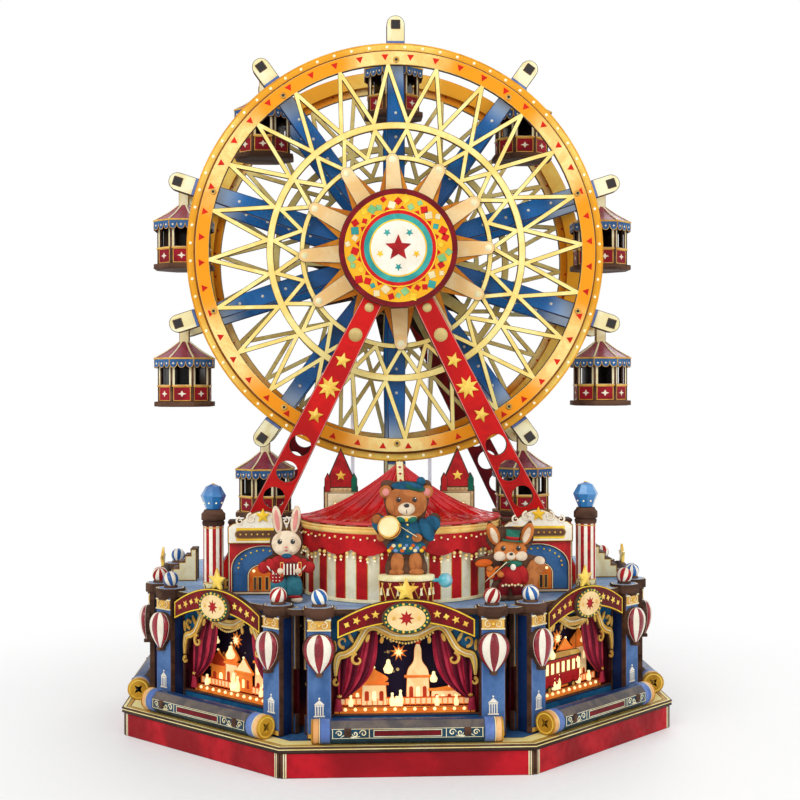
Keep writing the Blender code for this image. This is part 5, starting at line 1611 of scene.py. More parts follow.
            def gore(centre: Vector, _normal: Vector) -> int:
                """Finish by the angle round the balloon."""
                share = (math.degrees(math.atan2(centre.y, centre.x)) + 90.0) % 360 / 360 * self.gores
                return int(share + 0.5) % 2

            painted(skin, gore)
            for vert in skin.verts:
                angle = math.atan2(vert.co.y, vert.co.x) + math.pi / 2
                vert.co.xy *= 1.0 - 0.05 * (1 - abs(math.cos(angle * self.gores / 2)))
                vert.co.y *= 0.52
            everything = [*skin.verts, *skin.edges, *skin.faces]
            bmesh.ops.bisect_plane(skin, geom=everything, dist=0.0001, plane_co=(0.0, 0.3, 0.0),
                                   plane_no=(0.0, 1.0, 0.0), clear_outer=True)
            rim = [edge for edge in skin.edges if edge.is_boundary]
            bmesh.ops.edgeloop_fill(skin, edges=rim, mat_nr=1)
            piece.add(skin, (BALLOON, WHITE), moved(x, self.balloon_y - 2.2, self.balloon_z))
            piece.add(block((2.6, 1.8, 1.7), (x, self.balloon_y - 2.6, self.balloon_z - 8.4), 0.3), BROWN)
        return piece

    def swag(self) -> Piece:
        """Carved swag: a brown backing, a gold band with beads, leaves and scrolls."""
        piece = Piece("swag")
        line = smooth_line([(0.0, 57.0), (5.0, 57.4), (9.5, 59.4), (13.5, 61.2), (17.0, 60.2), (19.6, 56.2),
                            (22.4, 51.6), (26.0, 49.2), (29.2, 48.2), (30.4, 44.5), (30.7, 39.5)], 5)
        widths = (4.4, 4.0, 3.6, 3.4, 3.2, 3.0, 3.0, 3.0, 3.2, 2.4, 1.0)
        full = [(-x, z) for x, z in reversed(line[1:])] + line
        both = widths[:0:-1] + widths
        back = [width + 1.0 for width in both]
        y = self.board_y
        piece.add(board(ribbon(full, back), 1.1, bevel=0.15), (BROWN, BURNT), moved(y=y - 1.15))
        piece.add(board(ribbon(full, both), 0.9, borders=((0.3, 2),), bevel=0.25), (GOLD, GOLD_LINE, BRIGHT_GOLD),
                  moved(y=y - 1.9))
        rope = board(ribbon(full, [width * 0.24 for width in both]), 0.5, bevel=0.15)
        piece.add(rope, (CREAM, GOLD_LINE), moved(y=y - 2.2))
        for way in (-1, 1):
            for centre, start, end, radius in (((21.0, 46.6), 80.0, -260.0, 3.0), ((27.2, 54.6), 260.0, 560.0, 2.7),
                                               ((30.2, 36.6), 90.0, -200.0, 1.6)):
                scroll = [(way * x, z) for x, z in spiral(centre, start, end, radius, 0.5)]
                piece.add(board(ribbon(scroll, (1.5, 1.2, 0.9, 0.6)), 1.0, bevel=0.2), (GOLD, GOLD_LINE),
                          moved(y=y - 1.7))
            for x, z, tilt, length in ((24.0, 56.2, 62, 5.2), (20.8, 60.4, 48, 4.6), (31.0, 52.6, 86, 5.4),
                                       (16.6, 56.0, -70, 4.0), (10.4, 55.2, -82, 3.4)):
                leaf = oval(length, 1.7, 12, tilt if way > 0 else 180 - tilt)
                shape = board([(way * x + px, z + pz) for px, pz in leaf], 0.8, bevel=0.2)
                piece.add(shape, (GOLD, GOLD_LINE), moved(y=y - 1.5))
        for i in range(19):
            share = (i - 9) / 9 * 12.0
            z = 53.6 + 4.6 * (abs(share) / 12.0) ** 1.6
            piece.add(bead(0.55, (share, y - 1.6, z)), BEAD)
        return piece


@dataclass
class Sign:
    """Arched sign of a theatre with its medallion and star; its lettering is left off for stars."""

    half: float = 30.0
    front: float = -120.8
    top: float = 74.0
    rise: float = 9.0
    band: float = 10.0
    medallion: tuple[float, float] = (21.5, 14.0)
    medallion_z: float = 66.0
    star_radius: float = 5.8
    star_z: float = 77.6

    def build(self) -> None:
        """Builds the sign once and copies it to the five sides."""
        groups = {"arch": self.arch(), "medallion": self.medallion_piece(), "star": self.star_piece()}
        spread(groups, THEATRES, Body.BASE, "sign_print", "sign_{}_{}", "sign_board_{}")

    def upper(self, x: float) -> float:
        """Height of the arch's upper edge."""
        return self.top - self.rise * (x / self.half) ** 2

    def lower(self, x: float) -> float:
        """Height of the arch's lower edge."""
        return self.top - self.band - (self.rise - 2.0) * (x / self.half) ** 2

    def arch(self) -> Piece:
        """The arched board with its yellow edge and a row of stars."""
        piece = Piece("arch")
        xs = [self.half * (1 - i / 14) for i in range(29)]
        outline = [(x, self.upper(x)) for x in xs] + [(x, self.lower(x)) for x in reversed(xs)]
        piece.add(board(outline, PLY, borders=((0.7, 2), (0.3, 1))), (MAROON, BURNT, YELLOW), moved(y=self.front))
        for way in (-1, 1):
            for i, x in enumerate((13.4, 17.4, 21.6, 25.8)):
                z = (self.upper(x) + self.lower(x)) / 2
                shape = raised_star(1.9, 0.25, 0.2) if i % 2 == 0 else raised_star(1.5, 0.25, 0.2, 4, 0.55)
                piece.add(shape, BRIGHT_GOLD, moved(way * x, self.front + 0.05, z) @ turned_by(-way * 8.0 * i, "Y"))
        return piece

    def medallion_piece(self) -> Piece:
        """Oval medallion: brown backing, green ring with gold beads and a raised cream field."""
        piece = Piece("medallion")
        width, height = self.medallion
        for share, thickness, step, finishes in ((1.0, 1.4, 0.0, (BROWN, BURNT)), (0.94, 0.6, 0.4, (GREEN, BURNT)),
                                                 (0.78, 0.5, 0.7, (PEACH_FIELD, GOLD))):
            outline = oval(width * share, height * share, 48)
            piece.add(board(outline, thickness, bevel=0.15), finishes,
                      moved(0.0, self.front - 1.0 - step, self.medallion_z))
        for i, (x, z) in enumerate(oval(width * 0.86, height * 0.86, 22)):
            piece.add(bead(0.42 if i % 2 else 0.6, (x, self.front - 1.5, z + self.medallion_z)), BRIGHT_GOLD)
        piece.add(raised_star(3.4, 0.2, 0.15, 8, 0.5), CLOTH_RED, moved(0.0, self.front - 1.65, self.medallion_z))
        for way in (-1, 1):
            piece.add(raised_star(1.3, 0.15, 0.12), GOLD, moved(way * 5.4, self.front - 1.65, self.medallion_z))
        return piece

    def star_piece(self) -> Piece:
        """Star that stands on top of the arch."""
        piece = Piece("star")
        piece.add(raised_star(self.star_radius, 1.2, 1.1), BRIGHT_GOLD, moved(0.0, self.front + 1.6, self.star_z))
        return piece


@dataclass
class Roller:
    """Scroll roller lying in front of a theatre."""

    body: float = 66.0
    radius: float = 5.4
    y: float = -126.9
    z: float = 18.79

    def build(self) -> None:
        """Builds the roller once and copies it to the five sides."""
        spread({"roller": self.roller()}, THEATRES, Body.BASE, "roller_print", "roller_{}", "scroll_roller_{}")

    def roller(self) -> Piece:
        """Eight-sided body with a printed face, ring-shaped collars and gold end caps."""
        piece = Piece("roller")
        lying = moved(y=self.y, z=self.z) @ turned_by(90.0, "Y")
        half = self.body / 2
        body = softened(turned([(0.0, half), (self.radius, half), (self.radius, -half), (0.0, -half)], 8, start=22.5),
                        0.35, 2)

        def faces(_centre: Vector, normal: Vector) -> int:
            """Finish by the way a face looks: dark ends, blue top faces and teal ones in front."""
            if abs(normal.z) > 0.9:
                return 1
            if normal.x < -0.9:
                return 2
            return 3 if normal.x < -0.5 else 0

        piece.add(painted(body, faces), (ROLLER_TEAL, BURNT, ROLLER_BLUE, ROLLER_ASH), lying)
        collars = ((half, 4.4, 5.3, RING_BLUE), (half + 4.4, 0.4, 5.35, CREAM), (half + 4.8, 2.6, 5.2, PEACH),
                   (half + 7.4, 0.7, 5.35, CAP_GOLD))
        for way in (-1, 1):
            for low, width, radius, finish in collars:
                high = low + width
                profile = [(0.0, high), (radius - 0.4, high), (radius, high - 0.4), (radius, low + 0.4),
                           (radius - 0.4, low), (0.0, low)]
                piece.add(turned([(r, way * h) for r, h in profile], 40), finish, lying)
            end = half + 8.2
            shape = board(star(2.9, 4, 0.42, turn=45.0), 0.5, bevel=0.1)
            piece.add(shape, EYE, moved(way * (end - 0.1), self.y, self.z) @ turned_by(way * 90.0))
            rim = board(ring(4.6, 40), 0.3, [ring(3.9, 40)], bevel=0.08)
            piece.add(rim, (BRIGHT_GOLD, GOLD_LINE), moved(way * (end - 0.05), self.y, self.z) @ turned_by(way * 90.0))
        self.add_print(piece)
        return piece

    def add_print(self, piece: Piece) -> None:
        """Adds the red panel and cream scrolls to the faces that look forward."""
        reach = self.radius * math.cos(math.pi / 8)
        place = moved(y=self.y - reach - 0.12, z=self.z)
        piece.add(board(rectangle(-14.6, 14.6, -1.5, 1.5), 0.25, borders=((0.28, 1), (0.25, 2)), bevel=0.0),
                  (MAROON, CREAM, ROLLER_TEAL), place)
        shapes = []
        for way in (-1, 1):
            for x in (16.4, 32.0):
                shapes.append(rectangle(way * x - 0.15, way * x + 0.15, -1.9, 1.9))
            for x, turn, radius in ((19.0, 1, 1.6), (22.4, -1, 1.3), (29.2, 1, 1.4)):
                line = spiral((way * x, 0.1 * turn), 90.0 - way * 90.0, 90.0 - way * 90.0 + way * turn * 430.0, radius,
                              0.25, 22)
                shapes.append(ribbon(line, (0.25, 0.5, 0.4, 0.3)))
            tail = smooth_line([(way * 20.4, -1.2), (way * 23.6, -1.5), (way * 26.4, -0.6), (way * 28.6, -1.5)], 6)
            shapes.append(ribbon(tail, (0.2, 0.5, 0.45, 0.2)))
            piece.add(block((3.0, 1.0, 3.6), (way * 25.6, self.y - reach, self.z + 0.4), 0.3), BURNT)
        for edge in (-1.95, 1.95):
            shapes.append(rectangle(-32.4, 32.4, edge - 0.09, edge + 0.09))
        for outline in shapes:
            piece.add(board(outline, 0.25, bevel=0.0), CREAM, place)


@dataclass
class WheelPlates:
    """Front and rear truss plates with their printed rings, inlays, spokes and screws."""

    plate_y: float = 32.0
    outer: float = 99.5
    ring_width: float = 7.0
    middle: float = 62.6
    middle_width: float = 3.5
    inner: float = 46.7
    inner_width: float = 2.5
    disc: float = 28.0
    bar: float = 2.2
    cells: int = 24
    start: float = 2.5
    spokes: int = 12
    spoke_width: float = 6.0
    spoke_end: float = 45.6
    inlays: int = 48
    inlay: tuple[Point, ...] = ((-1.75, 97.7), (0.0, 94.7), (1.75, 97.7))
    screw_radius: float = 95.0

    def build(self) -> None:
        """Builds the front plate and its trim, and turns copies to the rear."""
        groups = {"plate": self.plate(), "rings": self.rings(), "spokes": self.spoke_boards(), "screws": self.screws()}
        spread(groups, WHEEL_FACES, Body.WHEEL, "truss_print", "{}_wheel_{}", "{}_wheel_plate")

    @property
    def face_y(self) -> float:
        """Face of the front plate."""
        return -self.plate_y - PLY

    def cell(self, base_radius: float, apex_radius: float, middle: float) -> list[Point]:
        """Opening between two bars, with a curved side along a ring.

        Args:
            base_radius: Radius of the ring that its wide side follows.
            apex_radius: Radius where the two bars' middle lines meet.
            middle: Angle of its middle, in degrees.

        Returns:
            Its outline.
        """
        half_step = math.pi / self.cells
        corner = Vector((base_radius * math.sin(half_step), base_radius * math.cos(half_step)))
        along = (Vector((0.0, apex_radius)) - corner).normalized()
        inward = Vector((-abs(along.y), along.x * math.copysign(1.0, along.y)))
        start = corner + inward * self.bar / 2
        reach = start.dot(along)
        to_ring = -reach + math.copysign(math.sqrt(reach ** 2 - start.length_squared + base_radius ** 2), reach)
        foot = start + along * to_ring
        apex = start.y - along.y * start.x / along.x
        half_angle = math.degrees(math.atan2(foot.x, foot.y))
        line = arc(base_radius, 90 - half_angle, 90 + half_angle, 4)
        turn = Matrix.Rotation(math.radians(middle - 90.0), 2)
        return [tuple(turn @ Vector(point)) for point in [*line, (0.0, apex)]]

    def openings(self) -> list[list[Point]]:
        """All openings of a plate."""
        step = 360 / self.cells
        loops = []
        bands = ((self.outer - self.ring_width, self.middle + self.middle_width / 2, self.start),
                 (self.middle - self.middle_width / 2, self.inner + self.inner_width / 2, self.start + step / 2))
        for far, near, first in bands:
            for i in range(self.cells):
                loops.append(self.cell(far, near, first + step * (i + 0.5)))
                loops.append(self.cell(near, far, first + step * i))
        far, near = self.inner - self.inner_width / 2, self.disc
        for i in range(self.spokes):
            first = self.start + 360 * i / self.spokes
            last = first + 360 / self.spokes
            cut_far, cut_near = (math.degrees(math.asin(self.spoke_width / 2 / radius)) for radius in (far, near))
            loops.append(arc(far, first + cut_far, last - cut_far, 6) + arc(near, last - cut_near, first + cut_near, 4))
        loops.append(ring(BORE, 24))
        return loops

    def plate(self) -> Piece:
        """The pierced plate with burnt edges."""
        piece = Piece("plate")
        shape = board(ring(self.outer, 144), PLY, self.openings(), borders=((0.22, 1),), bevel=0.15, back=2)
        piece.add(shape, (TRUSS, BURNT, TRUSS_BACK), moved(y=self.face_y))
        return piece

    def rings(self) -> Piece:
        """Printed rings on the plate's face, with red inlays on the outermost."""
        piece = Piece("rings")
        for radius, width, finish in ((self.outer - self.ring_width / 2, self.ring_width - 0.7, RING_PRINT),
                                      (self.middle, self.middle_width - 0.6, TRUSS),
                                      (self.inner, self.inner_width - 0.5, TRUSS)):
            shape = board(ring(radius + width / 2, 144), 0.25, [ring(radius - width / 2, 144)], bevel=0.06)
            if finish is RING_PRINT:
                rear = board(ring(radius + width / 2, 144), 0.25, [ring(radius - width / 2, 144)], bevel=0.0, back=0)
                piece.add(rear, (finish, GOLD_LINE), moved(y=self.face_y + PLY - 0.05))
            piece.add(shape, (finish, GOLD_LINE), moved(y=self.face_y - 0.2))
        for i in range(self.inlays):
            shape = board(self.inlay, 0.2, bevel=0.04)
            turn = turned_by(360 * (i + 0.56) / self.inlays, "Y")
            piece.add(shape.copy(), TRIANGLE_RED, turn @ moved(y=self.face_y - 0.3))
            piece.add(shape, TRIANGLE_RED, turn @ moved(y=self.face_y + PLY + 0.08))
        return piece

    def spoke_boards(self) -> Piece:
        """Layered spokes: an orange backing that widens to the hub under a peach front with a light at its end."""
        piece = Piece("spokes")
        piece.add(board(ring(self.disc + 1.2, 72), 0.6, [ring(BORE, 24)]), (SPOKE_ORANGE, BURNT),
                  moved(y=self.face_y - 0.6))
        backing = [(2.8, 45.0), (7.6, 28.2), (-7.6, 28.2), (-2.8, 45.0)]
        front = [(4.4, 28.0), (3.3, 44.6), *arc(3.3, 0, 180, 8, (0.0, 45.4)), (-3.3, 44.6), (-4.4, 28.0)]
        for i in range(self.spokes):
            turn = turned_by(-(self.start + 360 * i / self.spokes - 90.0), "Y")
            piece.add(board(backing, 0.5, bevel=0.1), (SPOKE_ORANGE, BURNT), turn @ moved(y=self.face_y - 0.55))
            piece.add(board(front, 0.8, borders=((0.25, 2),), bevel=0.15), (SPOKE_PEACH, BURNT, CREAM),
                      turn @ moved(y=self.face_y - 1.3))
            piece.add(turned([(0.0, 0.55), (1.2, 0.4), (1.8, 0.0), (0.0, 0.0)], 20), ARM_CREAM,
                      turn @ moved(0.0, self.face_y - 1.25, self.spoke_end) @ turned_by(90.0, "X"))
        return piece

    def screws(self) -> Piece:
        """Screws through the ring where each arm's tie passes."""
        piece = Piece("screws")
        for i in range(ARMS):
            turn = turned_by(-360 * i / ARMS, "Y") @ moved(0.0, self.face_y - 0.2, self.screw_radius) @ turned_by(90.0,
                                                                                                                  "X")
            piece.add(turned([(0.75, 0.0), (0.75, 0.5), (1.35, 0.5), (1.6, 0.25), (1.6, 0.0)], 20), BRASS, turn)
            piece.add(turned([(0.0, 0.3), (0.8, 0.3), (0.8, 0.0), (0.0, 0.0)], 16), EYE, turn)
        return piece


@dataclass
class RimBands:
    """Outer bands behind the plates, with small lights round them whose glow is painted light, and a thin brown ring of
    painted shade on the band's face beside the plate's rim.
    """

    band_y: float = 29.2
    outer: float = 104.0
    inner: float = 96.0
    # Outer and inner radius of the ring of painted shade on the band's face, beside the plate's rim.
    groove: Point = (100.5, 98.7)
    light_radius: float = 101.9
    lights: int = 72

    def build(self) -> None:
        """Builds the front band and turns a copy to the rear."""
        piece = Piece("band")
        shape = board(ring(self.outer, 168), PLY, [ring(self.inner, 168)], borders=((0.5, 2), (0.3, 1)), bevel=0.3,
                      back=0)
        piece.add(shape, (BAND_PRINT, SPOKE_ORANGE, YELLOW), moved(y=-self.band_y - PLY))
        # Painted shade: a thin brown ring on the band's face beside the plate's rim.
        far, near = self.groove
        groove = board(ring(far, 168), 0.3, [ring(near, 168)], bevel=0.08)
        piece.add(groove, BAND_EDGE_SHADE, moved(y=-self.band_y - PLY - 0.12))
        for x, z in ring(self.light_radius, self.lights, 2.5):
            piece.add(bead(0.75, (x, -self.band_y - PLY, z)), LIGHT)
        spread({"band": piece}, WHEEL_FACES, Body.WHEEL, "truss_print", "{}_band", "{}_rim_band")


@dataclass
class ArmStars:
    """Ten blue arms to a side that reach past the rim to the gondolas' rods."""

    arm_y: float = 22.9
    thickness: float = 6.0
    hub: float = 24.0
    width: float = 9.0
    cap_start: float = 104.6
    spacer: float = 27.0
    spacer_end: float = 31.7
    studs: tuple[float, ...] = (46.0, 58.0, 70.0, 82.0)

    def build(self) -> None:
        """Builds the front star and turns a copy to the rear."""
        spread({"star": self.star_piece()}, WHEEL_FACES, Body.WHEEL, "arm_print", "{}_arm_star", "{}_arms")

    def star_piece(self) -> Piece:
        """Hub disc, arms, cream end caps with their pegs, and the spacer ring."""
        piece = Piece("star")
        y = -self.arm_y - self.thickness
        half = self.width / 2
        piece.add(board(ring(self.hub, 96), self.thickness, [ring(BORE, 24)], borders=((0.5, 2),), bevel=0.3),
                  (ARM_BLUE, BURNT, RING_BLUE), moved(y=y))
        piece.add(board(ring(self.spacer, 72), self.spacer_end - self.arm_y - self.thickness + 0.2, [ring(BORE, 24)]),
                  (SPOKE_ORANGE, BURNT), moved(y=-self.spacer_end))
        blade = [(-3.4, self.hub - 2.0), (-half, 44.0), (-half, 66.0), (-3.9, self.cap_start), (3.9, self.cap_start),
                 (half, 66.0), (half, 44.0), (3.4, self.hub - 2.0)]
        cap = [(-half, self.cap_start - 0.4), *arc(half, 180, 90, 7, (0.0, PIVOT)),
               *arc(half, 90, 0, 7, (0.0, PIVOT))[1:], (half, self.cap_start - 0.4)]
        for i in range(ARMS):
            turn = turned_by(-360 * i / ARMS, "Y")
            piece.add(board(blade, self.thickness - 1.0, borders=((0.3, 2),), bevel=0.3, back=0),
                      (ARM_BLUE, NAVY, RING_BLUE), turn @ moved(y=y + 0.5))
            piece.add(board(cap, self.thickness, borders=((0.3, 2),), bevel=0.35, back=0),
                      (ARM_CREAM, BURNT, GOLD_LINE), turn @ moved(y=y))
            piece.add(board(rectangle(-2.3, 2.3, -2.3, 2.3), 0.5, borders=((0.4, 1),)), (EYE, BROWN),
                      turn @ moved(0.0, y - 0.35, PIVOT))
            for facing, depth in ((0.0, y + 0.5), (180.0, y + self.thickness - 0.5)):
                for reach in self.studs:
                    dome = turned([(0.0, 0.5), (0.5, 0.38), (0.75, 0.0), (0.0, 0.0)], 12)
                    piece.add(dome, WHITE, turn @ moved(0.0, depth, reach) @ turned_by(facing) @ turned_by(90.0, "X"))
            piece.add(board(rectangle(-half + 0.1, half - 0.1, -0.7, 0.7), self.thickness + 0.3, bevel=0.1),
                      (RING_BLUE, NAVY), turn @ moved(y=y - 0.15, z=self.cap_start + 0.4))
        return piece


@dataclass
class HubAndAxle:
    """Axle with its belt pulley, and the wooden hub barrel round it."""

    axle: float = 3.0
    axle_end: float = 50.0
    barrel: float = 14.0
    barrel_half: float = 22.6
    pulley: float = 20.0
    flange: float = 22.0
    groove_half: float = 1.7
    pulley_half: float = 2.4

    def build(self) -> None:
        """Builds both."""
        hub = Piece("wheel_hub_barrel")
        half, radius = self.barrel_half, self.barrel
        profile = [(BORE, half), (radius - 0.8, half), (radius, half - 0.8), (radius, half - 5.0),
                   (radius - 1.6, half - 6.4), (radius - 2.2, 4.6), (radius - 0.4, 3.0)]
        profile += [(r, -z) for r, z in reversed(profile)] + [(BORE, half)]
        hub.add(turned(profile, 64), BROWN, moved(z=AXLE_Z) @ ALONG_Y)
        for y in (-20.0, 20.0, 0.0):
            band = turned([(13.4, 0.7), (14.0, 0.5), (14.0, -0.5), (13.4, -0.7), (13.4, 0.7)], 64)
            hub.add(band, BRASS, moved(y=y, z=AXLE_Z) @ ALONG_Y)
        hub.finish(Body.WHEEL, "truss_print", ["wheel_hub"])
        axle = Piece("axle_and_pulley")
        start, end, groove = BELT_Y - self.pulley_half, BELT_Y + self.pulley_half, self.groove_half
        profile = [(0.0, self.axle_end), (self.axle - 0.4, self.axle_end), (self.axle, self.axle_end - 0.4),
                   (self.axle, end), (self.flange - 0.3, end), (self.flange, end - 0.2),
                   (self.flange, BELT_Y + groove), (self.pulley, BELT_Y + groove - 0.1),
                   (self.pulley, BELT_Y - groove + 0.1), (self.flange, BELT_Y - groove),
                   (self.flange, start + 0.2), (self.flange - 0.3, start), (self.axle, start),
                   (self.axle, -self.axle_end + 0.4), (self.axle - 0.4, -self.axle_end), (0.0, -self.axle_end)]
        axle.add(turned(profile, 72), STEEL, moved(z=AXLE_Z) @ ALONG_Y)
        axle.finish(Body.WHEEL, "axle_steel", ["axle"])


@dataclass
class Gondolas:
    """Ten eight-sided cabins that hang from rods between the arms."""

    rod: float = 1.5
    rod_half: float = 26.9
    hanger: float = 5.0
    apex: float = -7.0
    eave: float = -17.0
    valance: float = -21.0
    floor_top: float = -39.0
    floor_low: float = -41.5
    wide: float = 15.0
    cabin: float = 13.0
    sill: float = 8.0

    def build(self) -> None:
        """Builds one cabin and hangs a copy on every rod."""
        source = self.cabin_piece()
        for number in range(1, ARMS + 1):
            angle = math.radians(90.0 + 360.0 / ARMS * (number - 1))
            place = moved(PIVOT * math.cos(angle), 0.0, AXLE_Z + PIVOT * math.sin(angle))
            name = f"gondola_{number:02d}"
            source.copied(f"cabin_{number:02d}", place).finish(name, "gondola_print", [name])

    def cabin_piece(self) -> Piece:
        """One whole cabin about its pivot."""
        piece = Piece("cabin")
        self.add_hanger(piece)
        self.add_roof(piece)
        self.add_walls(piece)
        floor = flat_board(octagon(self.wide), self.floor_top - self.floor_low, borders=((0.5, 2), (0.3, 1)),
                           bevel=0.25)
        piece.add(floor, (RAW_PLY, BROWN, GOLD_LINE), moved(z=self.floor_top))
        lower = flat_board(octagon(self.wide - 1.6), 0.8, bevel=0.2)
        piece.add(lower, (BROWN, BURNT), moved(z=self.floor_low + 0.6))
        bench = flat_board(octagon(6.0), 4.6, [octagon(4.4)], bevel=0.3)
        piece.add(bench, (CLOTH_RED, BROWN), moved(z=self.floor_top + 4.5))
        # Painted shade: two crossed near-black sheets through the cabin stand in for its shaded inside.
        for turn in (0.0, 90.0):
            height = self.eave - self.floor_top
            shade_sheet = block((2 * self.cabin - 4.0, 0.8, height), (0.0, 0.0, self.floor_top + height / 2), 0.1, 1)
            piece.add(shade_sheet, EYE, turned_by(22.5 + turn))
        return piece

    def add_hanger(self, piece: Piece) -> None:
        """Adds the rod with its square ends, and the flat hanger over it."""
        half = self.rod_half
        rod = turned([(0.0, half - 1.0), (self.rod, half - 1.2), (self.rod, -half + 1.2), (0.0, -half + 1.0)], 20)
        piece.add(rod, BRASS, ALONG_Y)
        for way in (-1, 1):
            piece.add(block((2.4, 0.9, 2.4), (0.0, way * (half - 0.45), 0.0), 0.15), EYE)
        outline = arched(self.hanger / 2, -9.5, 0.0, 10)
        for y in (-2.4, 1.0):
            piece.add(board(outline, 1.4, borders=((0.3, 2),), bevel=0.15), (CREAM, BURNT, GOLD_LINE), moved(y=y))

    def add_roof(self, piece: Piece) -> None:
        """Adds the roof with its ridge strips, the scalloped valance and a ceiling."""
        corner = 1 / math.cos(math.pi / 8)
        curve = smooth_line([(1.0, self.apex - 0.2), (3.4, self.apex - 1.8), (8.4, self.apex - 5.8),
                             (self.wide - 0.4, self.eave + 0.4)], 3)
        profile = [(0.0, self.apex), *((r * corner, z) for r, z in curve),
                   ((self.wide - 0.4) * corner, self.eave - 0.5), (0.0, self.eave - 0.5)]
        piece.add(turned(profile, 8, start=22.5), GONDOLA_ROOF)
        knob = turned([(0.0, self.apex + 0.6), (1.6, self.apex + 0.3), (2.0, self.apex - 0.6), (2.8, self.apex - 1.6),
                       (0.0, self.apex - 1.6)], 20)
        piece.add(knob, BRIGHT_GOLD)
        for i in range(8):
            angle = 22.5 + 45 * i
            for (r0, z0), (r1, z1) in zip(curve, curve[1:]):
                run = math.hypot((r1 - r0) * corner, z1 - z0)
                strip = block((run + 0.25, 0.8, 0.5), (0.0, 0.0, 0.0), 0.12, 1)
                tilt = math.degrees(math.atan2(z0 - z1, (r1 - r0) * corner))
                piece.add(strip, ARM_CREAM, turned_by(angle) @ moved((r0 + r1) / 2 * corner, 0.0, (z0 + z1) / 2 + 0.05)
                          @ turned_by(tilt, "Y"))
        self.add_valance(piece)

    def add_valance(self, piece: Piece) -> None:
        """Adds the eight scalloped panels under the eave."""
        half = self.wide * SIDE_RATIO
        low, high = self.valance + 1.2, self.eave
        edge = [(half, high), (-half, high)]
        bumps = 3
        width = 2 * half / bumps
        for i in range(bumps):
            edge += [(x, z) for x, z in arc(width / 2, 180, 360, 6, (-half + width * (i + 0.5), low))[(1 if i else 0):]]
        rail = rectangle(-half - 0.1, half + 0.1, high - 0.4, high + 0.5)
        for side in range(8):
            turn = turned_by(45.0 * side)
            piece.add(board(edge, 0.7, borders=((0.35, 2),), bevel=0.12), (VALANCE_BLUE, BURNT, GOLD),
                      turn @ moved(y=-self.wide))
            piece.add(board(rail, 0.7, bevel=0.2), (GOLD, GOLD_LINE), turn @ moved(y=-self.wide - 0.25))
            for i in range(bumps):
                piece.add(raised_star(0.75, 0.15, 0.12, 4, 0.5), WHITE,
                          turn @ moved(-half + width * (i + 0.5), -self.wide, low + 0.3))

    def add_walls(self, piece: Piece) -> None:
        """Adds corner posts, arched window frames and the red lower panels."""
        half = self.cabin * SIDE_RATIO
        low, top = self.floor_top, self.eave - 0.4
        sill = low + self.sill
        corner = self.cabin / math.cos(math.pi / 8)
        inside = half - 1.9
        window = arched(inside, sill + 0.8, top - 4.6, 8)
        for side in range(8):
            turn = turned_by(45.0 * side)
            post = block((1.2, 1.2, top - low), (0.0, 0.0, (top + low) / 2), 0.25)
            piece.add(post, BROWN, turned_by(45.0 * side + 22.5) @ moved(corner - 0.5))
            frame_board = board(rectangle(-half + 0.35, half - 0.35, sill - 0.4, top), 0.9, [window],
                                borders=((0.2, 1),), bevel=0.12)
            piece.add(frame_board, (CREAM, BURNT), turn @ moved(y=-self.cabin))
            panel = board(rectangle(-half + 0.6, half - 0.6, low, sill), 1.2, borders=((0.4, 1), (0.35, 2)), bevel=0.15)
            piece.add(panel, (PANEL_RED, BURNT, GOLD), turn @ moved(y=-self.cabin))
            badge = star(2.3, 4, 0.42, turn=0.0)
            piece.add(board([(x, z * 0.75 + (low + sill) / 2) for x, z in badge], 0.25, bevel=0.06), (WHITE, GOLD_LINE),
                      turn @ moved(y=-self.cabin - 0.2))
            rail = block((2 * half - 0.8, 1.2, 0.9), (0.0, -self.cabin - 0.1, sill), 0.25)
            piece.add(rail, GOLD, turn)


